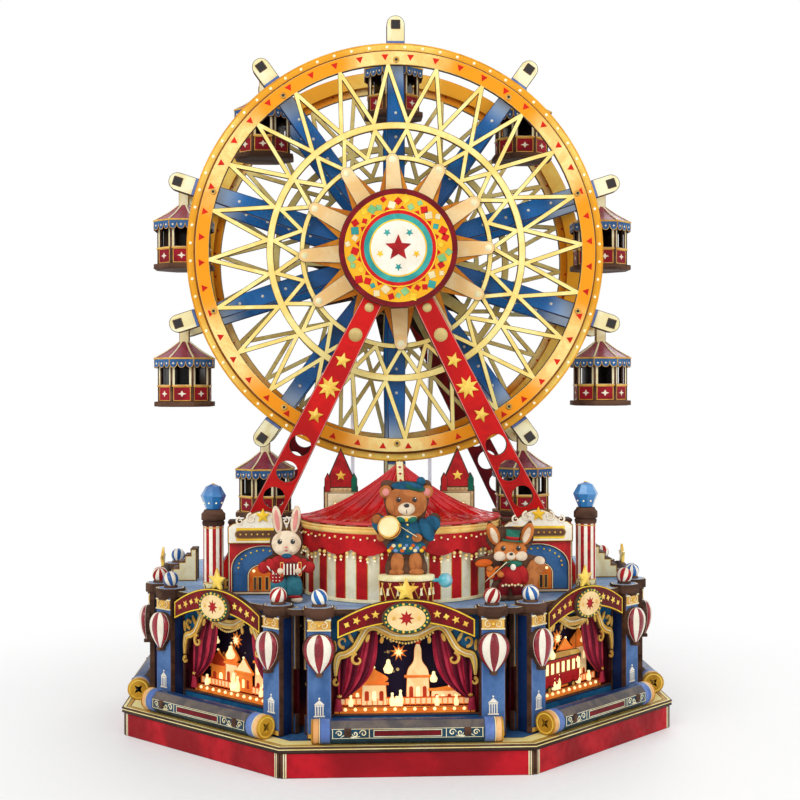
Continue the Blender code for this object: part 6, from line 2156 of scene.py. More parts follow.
@dataclass
class Frames:
    """Front and rear A-frames; the front one carries knobs and stars."""

    foot_x: float = 82.0
    top_x: float = 3.7
    top_below: float = 8.0
    foot_width: float = 17.0
    top_width: float = 9.2
    leg_y: float = 46.0
    thickness: float = 4.0
    head: float = 24.0
    hole: float = 5.2
    holes: tuple[float, ...] = (0.277, 0.358, 0.439)

    def build(self) -> None:
        """Builds both frames."""
        for side, turn, add_trim in (("front", 0.0, self.add_ornaments), ("rear", 180.0, self.add_cover)):
            piece = Piece(f"{side}_a_frame")
            self.add_boards(piece)
            add_trim(piece)
            spread({"frame": piece}, {side: turned_by(turn)}, Body.BASE, "frame_print", "{}_leg_boards", "{}_frame")

    def place_of(self, share: float) -> Vector:
        """Point on the right leg's middle line, from foot to top."""
        foot = Vector((self.foot_x, DECK_STAND))
        return foot + (Vector((self.top_x, AXLE_Z - self.top_below)) - foot) * share

    def add_boards(self, piece: Piece) -> None:
        """Adds both legs and the round head."""
        foot, top = self.place_of(0.0), self.place_of(1.0)
        along = (top - foot).normalized()
        across = Vector((along.y, -along.x))
        corners = []
        for side in (-1, 1):
            corner = foot + across * (side * self.foot_width / 2)
            corners.append(corner - along * ((corner.y - DECK_STAND) / along.y))
        corners += [top + across * (self.top_width / 2), top - across * (self.top_width / 2)]
        outline = [tuple(corner) for corner in corners]
        holes = [ring(self.hole, 40, 0.0, tuple(self.place_of(share))) for share in self.holes]
        # The leg's back takes DARK_CRIMSON, a darker copy of its red: painted shade on the rear frame, which shows its
        # backs to the front.
        leg = board(outline, self.thickness, holes, borders=((0.25, 1), (0.3, 2)), bevel=0.3, back=3)
        other = mirror_x(leg)
        for shape in (leg, other):
            piece.add(shape, (LEG_RED, BURNT, PINK, DARK_CRIMSON), moved(y=-self.leg_y - self.thickness))
        head = board(ring(self.head, 96, 0.0, (0.0, AXLE_Z)), self.thickness, [ring(3.1, 32, 0.0, (0.0, AXLE_Z))],
                     borders=((0.4, 1), (0.6, 2)), bevel=0.3)
        piece.add(head, (LEG_RED, BURNT, ORANGE), moved(y=-self.leg_y - self.thickness - 0.05))
        for way in (-1, 1):
            for share in self.holes:
                place = self.place_of(share)
                rim = board(ring(self.hole + 1.1, 40), 0.3, [ring(self.hole, 40)], bevel=0.08)
                piece.add(rim, (LEG_RED, BURNT), moved(way * place.x, -self.leg_y - self.thickness - 0.2, place.y))

    def add_ornaments(self, piece: Piece) -> None:
        """Adds gold knobs and stars to the front legs."""
        y = -self.leg_y - self.thickness
        for way in (-1, 1):
            for share, radius, points in ((0.868, 2.3, 0), (0.783, 3.4, 0), (0.703, 4.0, 5), (0.619, 5.8, 8),
                                          (0.533, 4.0, 5)):
                place = self.place_of(share)
                spot = moved(way * place.x, y + 0.05, place.y)
                if points:
                    inner = 0.46 if points == 5 else 0.5
                    piece.add(raised_star(radius, 1.1, 0.6, points, inner), BRIGHT_GOLD, spot @ turned_by(14.0, "Y"))
                else:
                    dome = turned([(0.0, 0.5), (0.4, 0.47), (0.7, 0.34), (0.9, 0.17), (1.0, 0.0), (0.0, 0.0)], 32)
                    piece.add(dome, KNOB_TAN, spot @ turned_by(90.0, "X") @ Matrix.Scale(radius, 4))

    def add_cover(self, piece: Piece) -> None:
        """Adds a plain stepped cover over the rear bearing."""
        profile = [(0.0, 1.6), (2.6, 1.5), (4.4, 1.0), (5.0, 0.8), (9.0, 0.7), (9.6, 0.0), (0.0, 0.0)]
        piece.add(turned(profile, 48), BRASS, moved(0.0, -self.leg_y - self.thickness, AXLE_Z) @ turned_by(90.0, "X"))


@dataclass
class HubBadge:
    """Round badge in stepped rings with a patchwork of diamonds; its words are left off for a star."""

    back_y: float = -50.3
    rings: tuple[tuple[float, float, Finish, Finish], ...] = (
        (28.8, 0.0, DARK_CRIMSON, BURNT), (26.1, 0.25, BADGE_GOLD, DARK_CRIMSON), (19.0, 0.45, BADGE_RED, BURNT),
        (16.6, 0.6, BADGE_TEAL, BURNT), (13.9, 0.7, YELLOW, GOLD_LINE), (13.2, 0.8, WHITE, GOLD_LINE))
    patches: int = 42

    def build(self) -> None:
        """Builds the badge."""
        piece = Piece("hub_badge_rings")
        front = self.back_y - PLY
        radius, _, face, edge = self.rings[0]
        piece.add(board(ring(radius, 128, 0.0, (0.0, AXLE_Z)), PLY, borders=((0.3, 1),), bevel=0.3), (face, edge),
                  moved(y=front))
        for radius, step, face, edge in self.rings[1:]:
            piece.add(board(ring(radius, 112, 0.0, (0.0, AXLE_Z)), 0.3, bevel=0.08), (face, edge),
                      moved(y=front - step * 0.6))
        colours = (BADGE_RED, BADGE_TEAL, CREAM, BADGE_RED, BADGE_LEAF, YELLOW)
        for i in range(self.patches):
            angle, reach = 360 * i / self.patches, 22.6 + 1.9 * math.sin(i * 2.4)
            size = 2.1 + 0.5 * math.sin(i * 1.7)
            patch = board(ring(size, 4, 20.0 * math.sin(i * 3.1)), 0.25, bevel=0.05)
            piece.add(patch, (colours[(i * 5 + i // 3) % 6], BURNT),
                      moved(z=AXLE_Z) @ turned_by(angle, "Y") @ moved(0.0, front - 0.32, reach))
        piece.add(board(ring(18.9, 40), 0.2, [ring(18.3, 40)], bevel=0.0), YELLOW, moved(0.0, front - 0.45, AXLE_Z))
        for i in range(16):
            triangle = board([(-1.5, 19.0), (0.0, 20.7), (1.5, 19.0)], 0.2, bevel=0.04)
            piece.add(triangle, BADGE_RED,
                      moved(z=AXLE_Z) @ turned_by(22.5 * i + 6.0, "Y") @ moved(y=front - 0.3))
        piece.add(raised_star(6.6, 0.5, 0.25), CLOTH_RED, moved(0.0, front - 0.45, AXLE_Z))
        for i in range(5):
            piece.add(raised_star(2.0, 0.25, 0.2), (BADGE_TEAL, YELLOW)[i % 2],
                      moved(z=AXLE_Z) @ turned_by(36.0 + 72.0 * i, "Y") @ moved(0.0, front - 0.45, 9.2))
        piece.finish(Body.BASE, "badge_print", ["hub_badge"])


@dataclass
class Tent:
    """Half-round striped tent: wall, valance, eave moulding, drooping glossy roof and backboard."""

    back_y: float = -60.0
    radius: float = 46.0
    wall: float = 2.5
    top: float = 104.0
    eave: float = 48.0
    roof_base: float = 104.3
    roof_top: float = 129.8
    tip: float = 2.2
    peak: float = 131.4
    board_half: float = 49.0
    stripes: int = 26
    ridges: int = 10

    def build(self) -> None:
        """Builds the body and the roof."""
        self.build_body()
        self.build_roof()

    @property
    def place(self) -> Matrix:
        """Moves a shape about the tent's axis."""
        return moved(y=self.back_y)

    def shell(self, profile: Outline, steps: int, index_of: Callable[[Vector, Vector], int] | None = None) -> Shape:
        """A closed profile swept round the half circle that faces forward.

        Args:
            profile: Radius and height of each corner, in order round the section.
            steps: How many faces the sweep has.
            index_of: Chooses the finish of a face.

        Returns:
            The shape.
        """
        shape = bmesh.new()
        corners = [shape.verts.new((-r, 0.0, z)) for r, z in profile]
        face = shape.faces.new(corners)
        bmesh.ops.spin(shape, geom=[face], cent=(0.0, 0.0, 0.0), axis=(0.0, 0.0, 1.0), dvec=(0.0, 0.0, 0.0),
                       angle=math.pi, steps=steps, use_merge=False)
        bmesh.ops.recalc_face_normals(shape, faces=shape.faces)
        return painted(shape, index_of) if index_of else shape

    def angle_share(self, centre: Vector) -> float:
        """Share of the half circle at a point, from the left end to the right end."""
        return (math.atan2(centre.y, centre.x) + math.pi) / math.pi % 2.0

    def build_body(self) -> None:
        """Striped wall, ground rail, scalloped valance with its garland, eave moulding and backboard."""
        body = Piece("tent_walls")

        def stripe(centre: Vector, _normal: Vector) -> int:
            """Red and cream stripes by the place round the wall."""
            return int(self.angle_share(centre) * self.stripes) % 2

        inner, outer = self.radius - self.wall, self.radius
        body.add(self.shell(rectangle(inner, outer, DECK_STAND, self.top), 4 * self.stripes, stripe),
                 (TENT_CREAM, TENT_RED), self.place)
        for i in range(self.stripes + 1):
            angle = 180.0 + 180.0 * i / self.stripes
            seam = block((0.35, 0.35, 26.0), (0.0, 0.0, 0.0), 0.1, 1)
            body.add(seam, GOLD_LINE, self.place @ turned_by(angle) @ moved(outer, 0.0, DECK_STAND + 13.2))
        body.add(self.shell([(inner, DECK_STAND), (outer + 0.5, DECK_STAND), (outer + 0.5, DECK_STAND + 1.0),
                             (outer, DECK_STAND + 1.4), (inner, DECK_STAND + 1.4)], 52), CREAM, self.place)
        eave = [(inner, 100.2), (self.eave - 0.9, 100.2), (self.eave - 0.2, 100.8), (self.eave, 101.6),
                (self.eave - 0.5, 102.4), (self.eave, 103.0), (self.eave - 0.3, 103.6), (inner, 103.6)]
        body.add(self.shell(eave, 72), EAVE, self.place)
        self.add_valance(body)
        self.add_backboard(body)
        body.finish(Body.BASE, "tent_print", ["tent_body"])

    def add_valance(self, body: Piece) -> None:
        """Adds the scalloped valance, its dots and the bead garland."""
        scallops, samples = 9, 8
        shape = bmesh.new()
        bmesh.ops.create_grid(shape, x_segments=scallops * samples, y_segments=4, size=0.5)
        for vert in shape.verts:
            share, up = vert.co.x + 0.5, vert.co.y + 0.5
            angle = math.pi + math.pi * share
            dip = abs(math.sin(math.pi * share * scallops))
            low = 93.4 - 2.6 * dip
            radius = self.eave - 0.75 + 0.5 * (1 - up)
            vert.co = (radius * math.cos(angle), radius * math.sin(angle), low + (100.4 - low) * up)
        bmesh.ops.recalc_face_normals(shape, faces=shape.faces)
        bmesh.ops.solidify(shape, geom=shape.faces[:], thickness=0.6)
        body.add(shape, TENT_RED, self.place)
        for i in range(scallops):
            for j in range(5):
                share = (i + (j + 0.5) / 5) / scallops
                angle = math.pi + math.pi * share
                dip = abs(math.sin(math.pi * share * scallops))
                for radius, height, size in ((self.eave - 0.1, 98.8 - 0.8 * (j % 2), 0.42 if j % 2 else 0.6),
                                             (self.eave - 0.1, 92.6 - 3.2 * dip, 0.85),
                                             (self.eave - 0.1, 90.9 - 2.8 * dip, 0.5)):
                    spot = (radius * math.cos(angle), radius * math.sin(angle), height)
                    body.add(bead(size, spot), BEAD if size > 0.55 else LIGHT, self.place)

    def add_backboard(self, body: Piece) -> None:
        """Adds the backboard with its pale edge line."""
        rise = self.peak - self.top
        half = [(0.0, DECK_STAND), (self.board_half, DECK_STAND), (self.board_half, self.top),
                (0.45 * self.eave, self.top + 0.30 * rise), (0.12 * self.eave, self.top + 0.75 * rise),
                (0.0, self.peak)]
        face = board(mirrored(half), PLY, borders=((0.3, 1), (0.4, 2), (0.25, 1)))
        body.add(face, (TENT_RED, BURNT, CREAM), self.place)
        back = board(rectangle(-self.board_half + 2.0, self.board_half - 2.0, DECK_STAND + 1.5, self.top - 2.0), 0.3,
                     borders=((0.6, 2), (0.3, 1)), bevel=0.0)
        body.add(back, (CRIMSON, BURNT, GOLD_LINE), moved(y=self.back_y + PLY + 0.2) @ turned_by(180.0))

    def drop(self, share: float) -> float:
        """Height of the roof over its base, at a share of the way from tip to eave."""
        return 1.1 + (self.roof_top - self.roof_base - 1.1) * (1 - share) ** 1.6

    def build_roof(self) -> None:
        """Glossy skin that sags between ridges, with pale ridge cords, a rim and the mast strip."""
        roof = Piece("tent_roof_skin")
        per_ridge, rows = 10, 14
        shape = bmesh.new()
        bmesh.ops.create_grid(shape, x_segments=self.ridges * per_ridge, y_segments=rows, size=0.5)
        for vert in shape.verts:
            round_share, out = vert.co.x + 0.5, 0.5 - vert.co.y
            angle = math.pi + math.pi * round_share
            between = math.sin(math.pi * round_share * self.ridges) ** 2
            wrinkle = 0.32 * math.sin(round_share * 61.0 + out * 9.0) * math.sin(out * math.pi)
            sag = between * (1.7 * math.sin(out * math.pi) ** 1.2 + 0.4 * out) + wrinkle * between
            radius = self.tip * 0.1 + (self.eave - 0.3 - self.tip * 0.1) * out
            vert.co = (radius * math.cos(angle), radius * math.sin(angle), self.roof_base + self.drop(out) - sag)
        bmesh.ops.recalc_face_normals(shape, faces=shape.faces)
        if sum(face.normal.z for face in shape.faces) < 0:
            bmesh.ops.reverse_faces(shape, faces=shape.faces)
        bmesh.ops.solidify(shape, geom=shape.faces[:], thickness=0.5)
        roof.add(shape, ROOF_RED, self.place)
        inner = self.radius - 4.0
        rim = self.shell([(inner, self.roof_base), (self.eave - 0.3, self.roof_base), (self.eave, self.roof_base + 0.3),
                          (self.eave, self.roof_base + 0.9), (self.eave - 0.4, self.roof_base + 1.2),
                          (inner, self.roof_base + 1.0)], 72)
        roof.add(rim, ROOF_RIDGE, self.place)
        for i in range(self.ridges + 1):
            angle = 180.0 + 180.0 * i / self.ridges
            for step in range(10):
                a, b = step / 10, (step + 1) / 10
                r0, r1 = (0.4 + (self.eave - 0.8) * share for share in (a, b))
                z0, z1 = (self.roof_base + self.drop(share) for share in (a, b))
                cord = block((math.hypot(r1 - r0, z1 - z0) + 0.2, 0.55, 0.5), (0.0, 0.0, 0.0), 0.15, 1)
                tilt = math.degrees(math.atan2(z0 - z1, r1 - r0))
                roof.add(cord, ROOF_RIDGE, self.place @ turned_by(angle) @ moved((r0 + r1) / 2, 0.0, (z0 + z1) / 2)
                         @ turned_by(tilt, "Y"))
        strip = board(rectangle(-1.75, 1.75, 0.0, 17.6), 0.9, borders=((0.3, 1),), bevel=0.15)
        slope = moved(y=-74.2, z=119.2) @ turned_by(-50.0, "X")
        roof.add(strip, (CREAM, GOLD_LINE), slope)
        for i in range(3):
            roof.add(raised_star(1.1, 0.2, 0.15, 4, 0.5), CLOTH_RED, slope @ moved(0.0, 0.05, 4.5 + 4.5 * i))
        roof.finish(Body.BASE, "tent_roof_gloss", ["tent_roof"], smooth=50.0)


@dataclass
class Castle:
    """Castle board behind the tent: stone towers with red roofs, and flanks with a curved gold edge."""

    front_y: float = -57.2
    half: float = 84.0
    tower_x: float = 28.0
    tower_width: float = 16.5
    height: float = 67.4
    roof: float = 19.0
    wall: float = 34.4

    def build(self) -> None:
        """Builds the board and everything on it."""
        castle = Piece("castle_towers")
        left, right = self.tower_x - self.tower_width / 2, self.tower_x + self.tower_width / 2
        eave = self.height - self.roof
        flank = []
        for i in range(13):
            share = i / 12
            flank.append((self.half + (right - self.half) * share, self.wall * (0.15 + 0.85 * share ** 1.7)))
        outline = [(0.0, 0.0), (self.half, 0.0), *flank, (right, eave), (self.tower_x, self.height), (left, eave),
                   (left, self.wall), (0.0, self.wall)]
        face = board([(x, z + DECK_STAND) for x, z in mirrored(outline)], PLY, borders=((0.3, 1), (1.1, 2), (0.35, 1)))
        castle.add(face, (DARK_CRIMSON, BURNT, GOLD), moved(y=self.front_y))
        for way in (-1, 1):
            self.add_tower(castle, way * self.tower_x, self.front_y, 0.0)
            self.add_tower(castle, way * self.tower_x, self.front_y + PLY, 180.0)
            self.add_flank(castle, way)
        castle.finish(Body.BASE, "castle_print", ["castle_board"])

    def add_tower(self, castle: Piece, x: float, y: float, facing: float) -> None:
        """Adds one tower's print: stone wall, windows, red roof, side turrets and star.

        Args:
            castle: The piece that it joins.
            x: The tower's middle.
            y: The face of the board that it lies on.
            facing: Which way it looks, in degrees from the front.
        """
        place = moved(x, y, DECK_STAND) @ turned_by(facing)
        half, eave = self.tower_width / 2, self.height - self.roof
        layers = [(rectangle(-half + 0.3, half - 0.3, 0.4, eave), STONE, 0.3),
                  (rectangle(-half + 1.8, half - 1.8, eave - 13.5, eave - 2.6), CREAM, 0.5),
                  ([(-half + 0.3, eave), (half - 0.3, eave), (0.0, self.height - 0.5)], CLOTH_RED, 0.45)]
        for outline, finish, depth in layers:
            castle.add(board(outline, depth, borders=((0.3, 1),), bevel=0.08), (finish, BURNT),
                       place @ moved(y=-depth + 0.05))
        for i in range(12):
            z = 2.0 + 3.0 * i
            castle.add(block((2 * half - 0.8, 0.12, 0.25), (0.0, -0.3, z), 0.03, 1), GOLD_LINE, place)
            for j in range(4):
                shift = -half + 2.6 + 3.9 * j + (1.9 if i % 2 else 0.0)
                if shift < half - 1.2:
                    castle.add(block((0.25, 0.12, 2.7), (shift, -0.3, z + 1.5), 0.03, 1), GOLD_LINE, place)
        for side in (-1, 1):
            window = [(x + side * 2.6, z + eave - 11.2) for x, z in arched(1.1, 0.0, 3.2, 8)]
            shape = board(window, 0.35, borders=((0.25, 1),), bevel=0.06)
            castle.add(shape, (BULB, BROWN), place @ moved(y=-0.75))
            turret = mirrored([(0.0, 0.0), (1.5, 0.0), (1.5, 6.0), (0.0, 9.0)])
            castle.add(board([(px + side * (half - 1.9), pz + eave - 2.0) for px, pz in turret], 0.7,
                             borders=((0.25, 1),)), (GREEN if side > 0 else CLOTH_RED, BURNT), place @ moved(y=-0.9))
        for j in range(7):
            tooth = block((1.5, 0.6, 1.3), (-half + 1.3 + j * (self.tower_width - 2.6) / 6, -0.5, eave - 1.0), 0.12)
            castle.add(tooth, STONE, place)
        castle.add(raised_star(2.6, 0.35, 0.25), BRIGHT_GOLD, place @ moved(0.0, -0.4, eave + 5.6))
        castle.add(board(rectangle(-1.3, 1.3, 4.0, 9.6), 0.3, borders=((0.3, 1),), bevel=0.06), (BROWN, GOLD_LINE),
                   place @ moved(y=-0.55))

    def add_flank(self, castle: Piece, way: int) -> None:
        """Adds a curved gold rib, panels and stars on one flank."""
        right = self.tower_x + self.tower_width / 2
        rib = []
        for i in range(15):
            share = i / 14
            x = self.half - 4.0 + (right + 3.0 - self.half) * share
            rib.append((way * x, DECK_STAND + self.wall * (0.12 + 0.72 * share ** 1.7)))
        castle.add(board(ribbon(rib, (0.8, 1.3, 1.5, 1.3)), 0.4, bevel=0.12), (GOLD, GOLD_LINE),
                   moved(y=self.front_y - 0.35))
        for x, z, radius in ((42.0, 12.0, 2.4), (49.0, 8.0, 1.8), (57.0, 5.4, 1.4)):
            castle.add(raised_star(radius, 0.3, 0.25), BRIGHT_GOLD, moved(way * x, self.front_y + 0.05, DECK_STAND + z))


@dataclass
class Booth:
    """Ticket booth with an arched front, doors, and a carved crest whose name is left bare."""

    x: float = 64.1
    y: float = -70.0
    width: float = 32.8
    depth: float = 10.0
    height: float = 34.4
    crest_low: float = 93.5
    door_half: float = 7.6

    def build(self) -> None:
        """Builds both booths from one drawing."""
        booth = Piece("booth")
        self.add_body(booth)
        self.add_front(booth)
        self.add_crest(booth)
        places = {"right": moved(self.x), "left": moved(-self.x)}
        spread({"booth": booth}, places, Body.BASE, "booth_print", "booth_{}", "ticket_booth_{}")

    def add_body(self, booth: Piece) -> None:
        """Adds the box with striped side walls and a red roof board."""
        half, front, back = self.width / 2, self.y - self.depth / 2, self.y + self.depth / 2
        top = DECK_STAND + self.height
        booth.add(block((self.width - 0.6, self.depth - 1.4, self.height - 0.6),
                        (0.0, self.y + 0.2, (DECK_STAND + top) / 2), 0.3), RED)
        for side in (-1, 1):
            for i in range(4):
                spot = (side * (half - 0.25), front + 2.4 + i * 1.9, (DECK_STAND + top) / 2)
                booth.add(block((0.5, 1.3, self.height - 6.0), spot, 0.12), CREAM)
        booth.add(block((self.width, self.depth, 1.4), (0.0, self.y, top - 0.7), 0.3), BURNT)
        rear = board(rectangle(-half + 1.5, half - 1.5, DECK_STAND + 1.5, top - 3.0), 0.4, borders=((0.6, 2), (0.3, 1)))
        booth.add(rear, (ORANGE, BURNT, CREAM), moved(y=back - 0.3) @ turned_by(180.0))

    def add_front(self, booth: Piece) -> None:
        """Adds the red arch frame, the blue panel and the orange door with its lights."""
        half, front = self.width / 2, self.y - self.depth / 2
        low = DECK_STAND
        inner = half - 2.2
        opening = arched(inner, low + 1.6, low + 12.5, 16, 0.68)
        arch = board(rectangle(-half, half, low, self.crest_low + 0.5), 1.0, [opening], borders=((0.4, 1), (0.3, 2)))
        booth.add(arch, (RED, BURNT, CREAM), moved(y=front))
        booth.add(board(rectangle(-inner - 0.5, inner + 0.5, low + 0.5, self.crest_low - 0.5), 0.5, bevel=0.1),
                  (VALANCE_BLUE, BURNT), moved(y=front + 0.7))
        for scale, finish, edge, depth in ((1.0, CREAM, BURNT, 0.35), (0.9, ORANGE, BROWN, 0.15)):
            outline = arched(self.door_half * scale, low + 1.2, low + 9.0, 12, 0.72)
            booth.add(board(outline, 0.4, borders=((0.3, 1),), bevel=0.1), (finish, edge), moved(y=front + depth))
        for x in (-3.9, -1.6, 1.6, 3.9):
            booth.add(board(rectangle(x - 0.9, x + 0.9, low + 2.0, low + 8.4), 0.3, borders=((0.25, 1),), bevel=0.05),
                      (BROWN if abs(x) > 2 else DARK_LINE, GOLD_LINE), moved(y=front - 0.1))
        for x, z in ((-4.4, 11.0), (4.2, 11.4), (0.0, 12.6)):
            booth.add(bead(0.7, (x, front, low + z)), BULB)
        for i in range(13):
            angle = math.radians(180 * i / 12)
            booth.add(bead(0.45, (11.6 * math.cos(angle), front + 0.5, low + 12.5 + 8.0 * math.sin(angle))), YELLOW)

    def add_crest(self, booth: Piece) -> None:
        """Adds the white crest with its bare dark panel, carved scrolls and a gold star."""
        half, front = self.width / 2, self.y - self.depth / 2
        y = front - 2.1
        side = DECK_STAND + self.height
        outline = [(-half, self.crest_low), (half, self.crest_low), (half, side - 2.6),
                   (half - 2.5, side - 0.8), (half - 6.0, side - 0.2), (9.0, side + 1.2), (6.0, side + 3.4),
                   (3.0, side + 4.6), (0.0, side + 5.0)]
        outline += [(-px, pz) for px, pz in reversed(outline[2:-1])]
        booth.add(board(outline, PLY - 0.4, borders=((0.35, 1), (0.3, 2)), bevel=0.3), (WHITE, BURNT, GOLD_LINE),
                  moved(y=y))
        middle = self.crest_low + 4.4
        panel = [*arc(2.0, 90, 270, 8, (-11.0, middle)), *arc(2.0, -90, 90, 8, (11.0, middle))]
        booth.add(board(ribbon([(-12.4, middle), (12.4, middle)], (6.0, 6.0)), 0.3, bevel=0.12), (YELLOW, GOLD_LINE),
                  moved(y=y - 0.15))
        booth.add(board(panel, 0.5, borders=((0.35, 2),), bevel=0.15), (BROWN, BURNT, GOLD_LINE), moved(y=y - 0.4))
        for i in range(-4, 5):
            booth.add(bead(0.45, (i * 2.6, y - 0.4, middle)), GOLD)
        for way in (-1, 1):
            for centre, radius, start in (((way * 5.4, side + 1.4), 2.4, 90.0), ((way * 10.6, side + 0.0), 1.9, 90.0)):
                line = spiral(centre, start, start - way * 420.0, radius, 0.4, 18)
                booth.add(board(ribbon(line, (1.0, 0.8, 0.5)), 0.6, bevel=0.15), (WHITE, GOLD_LINE), moved(y=y - 0.5))
        for i in range(9):
            angle = math.radians(180 * i / 8)
            booth.add(bead(0.5, (4.4 * math.cos(angle), y - 0.2, side + 0.2 + 4.0 * math.sin(angle))), WHITE)
        booth.add(raised_star(3.6, 0.8, 0.5), YELLOW, moved(0.0, y - 0.2, side + 2.4))


@dataclass
class Post:
    """Striped post with a turned cap and a faceted blue lantern."""

    x: float = 87.5
    y: float = -71.0
    radius: float = 4.7
    foot: float = DECK_STAND
    shaft_top: float = 101.6
    cap_radius: float = 5.6
    cap_top: float = 109.0
    lantern: float = 6.0
    top: float = 121.5

    def build(self) -> None:
        """Builds both posts from one drawing."""
        source = self.post()
        lamp = self.lamp()
        for side, way in (("right", 1), ("left", -1)):
            place = moved(way * self.x, self.y)
            source.copied(f"post_{side}", place).finish(Body.BASE, "post_print", [f"striped_post_{side}"])
            lamp.copied(f"lantern_{side}", place).finish(Body.BASE, "post_print", smooth=None)

    def post(self) -> Piece:
        """Printed base, striped shaft and turned cap."""
        piece = Piece("post")
        low = self.foot + 6.0
        shaft = turned([(0.0, self.shaft_top), (self.radius, self.shaft_top), (self.radius, low), (0.0, low)], 36)

        def stripe(centre: Vector, _normal: Vector) -> int:
            """Stripes by the angle round the shaft."""
            return (0, 1, 1, 0)[int(math.degrees(math.atan2(centre.y, centre.x)) % 360 / 10) % 4]

        piece.add(painted(shaft, stripe), (CLOTH_RED, WHITE))
        base = turned([(0.0, low + 0.4), (self.radius - 0.1, low + 0.4), (self.radius, low),
                       (self.radius, self.foot + 0.3), (self.radius - 0.2, self.foot), (0.0, self.foot)], 36)
        piece.add(base, ARM_CREAM)
        for z in (self.foot + 0.9, low - 0.3, self.shaft_top - 0.8):
            hoop = turned([(self.radius - 0.3, 0.35), (self.radius + 0.12, 0.2), (self.radius + 0.12, -0.2),
                           (self.radius - 0.3, -0.35), (self.radius - 0.3, 0.35)], 36)
            piece.add(hoop, GOLD_LINE, moved(z=z))
        for i in range(6):
            turn = turned_by(60.0 * i)
            line = spiral((0.0, self.foot + 3.3), 90.0, -300.0, 1.5, 0.4, 14)
            piece.add(board(ribbon(line, (0.45, 0.35, 0.25)), 0.3, bevel=0.0), BROWN,
                      turn @ moved(y=-self.radius - 0.08))
        cap = turned([(0.0, self.cap_top), (self.cap_radius - 1.4, self.cap_top),
                      (self.cap_radius - 0.9, self.cap_top - 1.0), (self.cap_radius - 0.5, self.cap_top - 1.4),
                      (self.cap_radius, self.cap_top - 2.0), (self.cap_radius, self.cap_top - 4.6),
                      (self.cap_radius - 0.8, self.cap_top - 5.2), (self.cap_radius - 0.3, self.cap_top - 5.9),
                      (self.cap_radius - 0.6, self.shaft_top), (0.0, self.shaft_top)], 36)
        piece.add(cap, BURNT)
        return piece

    def lamp(self) -> Piece:
        """Faceted lantern with pale beads on its lower facets, which glow as painted highlights."""
        piece = Piece("lamp")
        waist, height = 0.58 * self.lantern, self.top - self.cap_top
        facets = turned([(0.0, self.top - 0.2), (waist, self.top - 1.6), (self.lantern, self.cap_top + 0.52 * height),
                         (waist, self.cap_top + 0.2), (0.0, self.cap_top)], 8)
        piece.add(softened(facets, 0.12, 1, 8.0), LANTERN_BLUE)
        # Painted highlights: eight pale glowing beads on the lower facets.
        for i in range(8):
            spot = turned_by(45.0 * i + 22.5) @ moved(self.lantern * 0.76 * 0.96, 0.0, self.cap_top + 0.26 * height)
            piece.add(bead(0.42, (0.0, 0.0, 0.0)), LIGHT, spot)
        piece.add(turned([(0.0, self.top), (0.9, self.top - 0.5), (1.6, self.top - 1.7), (0.0, self.top - 1.7)], 12),
                  GOLD)
        return piece


# A swollen oval: place across and up, width, height, finish, turn to the right in degrees, how far it stands in
# front of the board, and thickness
Puff = tuple[float, float, float, float, Finish, float, float, float]


@dataclass
class Figure:
    """A toy animal of padded printed shapes on a brown board."""

    name: str
    node: str
    x: float
    y: float
    foot: float
    height: float
    outline: tuple[Point, ...]
    piece: Piece = field(init=False)
    place: Matrix = field(init=False)

    def __post_init__(self) -> None:
        """Makes the piece with its backing board, cut to the animal's outline."""
        tall = max(z for _, z in self.outline)
        share = self.height / tall
        half = smooth_line([(px * share, pz * share) for px, pz in self.outline], 3)
        half = [(max(0.0, px), max(0.0, pz)) for px, pz in half]
        self.piece = Piece(self.name)
        self.place = moved(self.x, self.y - PLY / 2, self.foot)
        shape = board(mirrored(half), PLY - 0.7, borders=((0.4, 1),), bevel=0.2)
        self.piece.add(shape, (BROWN, BURNT), self.place @ moved(y=0.7))

    def puffs(self, *rows: Puff) -> None:
        """Adds swollen ovals.

        Args:
            *rows: One row for each oval.
        """
        for x, z, width, height, finish, tilt, lift, depth in rows:
            spot = self.place @ moved(x, 0.75 - lift, z) @ turned_by(tilt, "Y")
            self.piece.add(ball((width, depth, height), sides=18, rings=12), finish, spot)

    def eyes(self, height: float, spread: float) -> None:
        """Adds bead eyes, each with a small white bead as a painted highlight.

        Args:
            height: Their height above the foot.
            spread: Distance of an eye from the middle.
        """
        for way in (-1, 1):
            # The small white bead up and to the side of each eye is a painted highlight.
            self.puffs((way * spread, height, 2.1, 2.3, EYE, 0.0, 2.7, 1.1),
                       (way * spread + 0.4, height + 0.6, 0.55, 0.55, WHITE, 0.0, 3.2, 0.5))


BEAR_OUTLINE = ((0.0, 0.0), (8.0, 0.0), (9.0, 4.0), (7.5, 9.0), (10.0, 14.0), (14.2, 21.0), (14.5, 25.0), (11.5, 26.5),
                (8.4, 24.0), (8.2, 26.0), (9.5, 31.0), (9.8, 34.0), (11.0, 37.5), (9.8, 40.3), (6.8, 40.4), (4.0, 39.9),
                (0.0, 40.4))
RABBIT_OUTLINE = ((0.0, 0.0), (6.5, 0.0), (7.0, 6.0), (6.2, 12.0), (8.0, 16.0), (12.0, 14.0), (12.4, 17.0), (8.4, 20.5),
                  (6.2, 22.0), (7.4, 26.0), (7.0, 29.5), (5.4, 32.0), (6.4, 37.0), (6.0, 42.0), (3.8, 43.0),
                  (2.0, 38.0), (0.0, 32.5))
FOX_OUTLINE = ((0.0, 0.0), (8.0, 0.0), (8.5, 5.0), (7.2, 10.0), (10.0, 14.0), (15.2, 16.0), (15.4, 18.6), (9.4, 20.0),
               (7.4, 21.5), (9.8, 25.0), (10.4, 28.0), (9.5, 35.2), (5.8, 32.4), (0.0, 32.6))


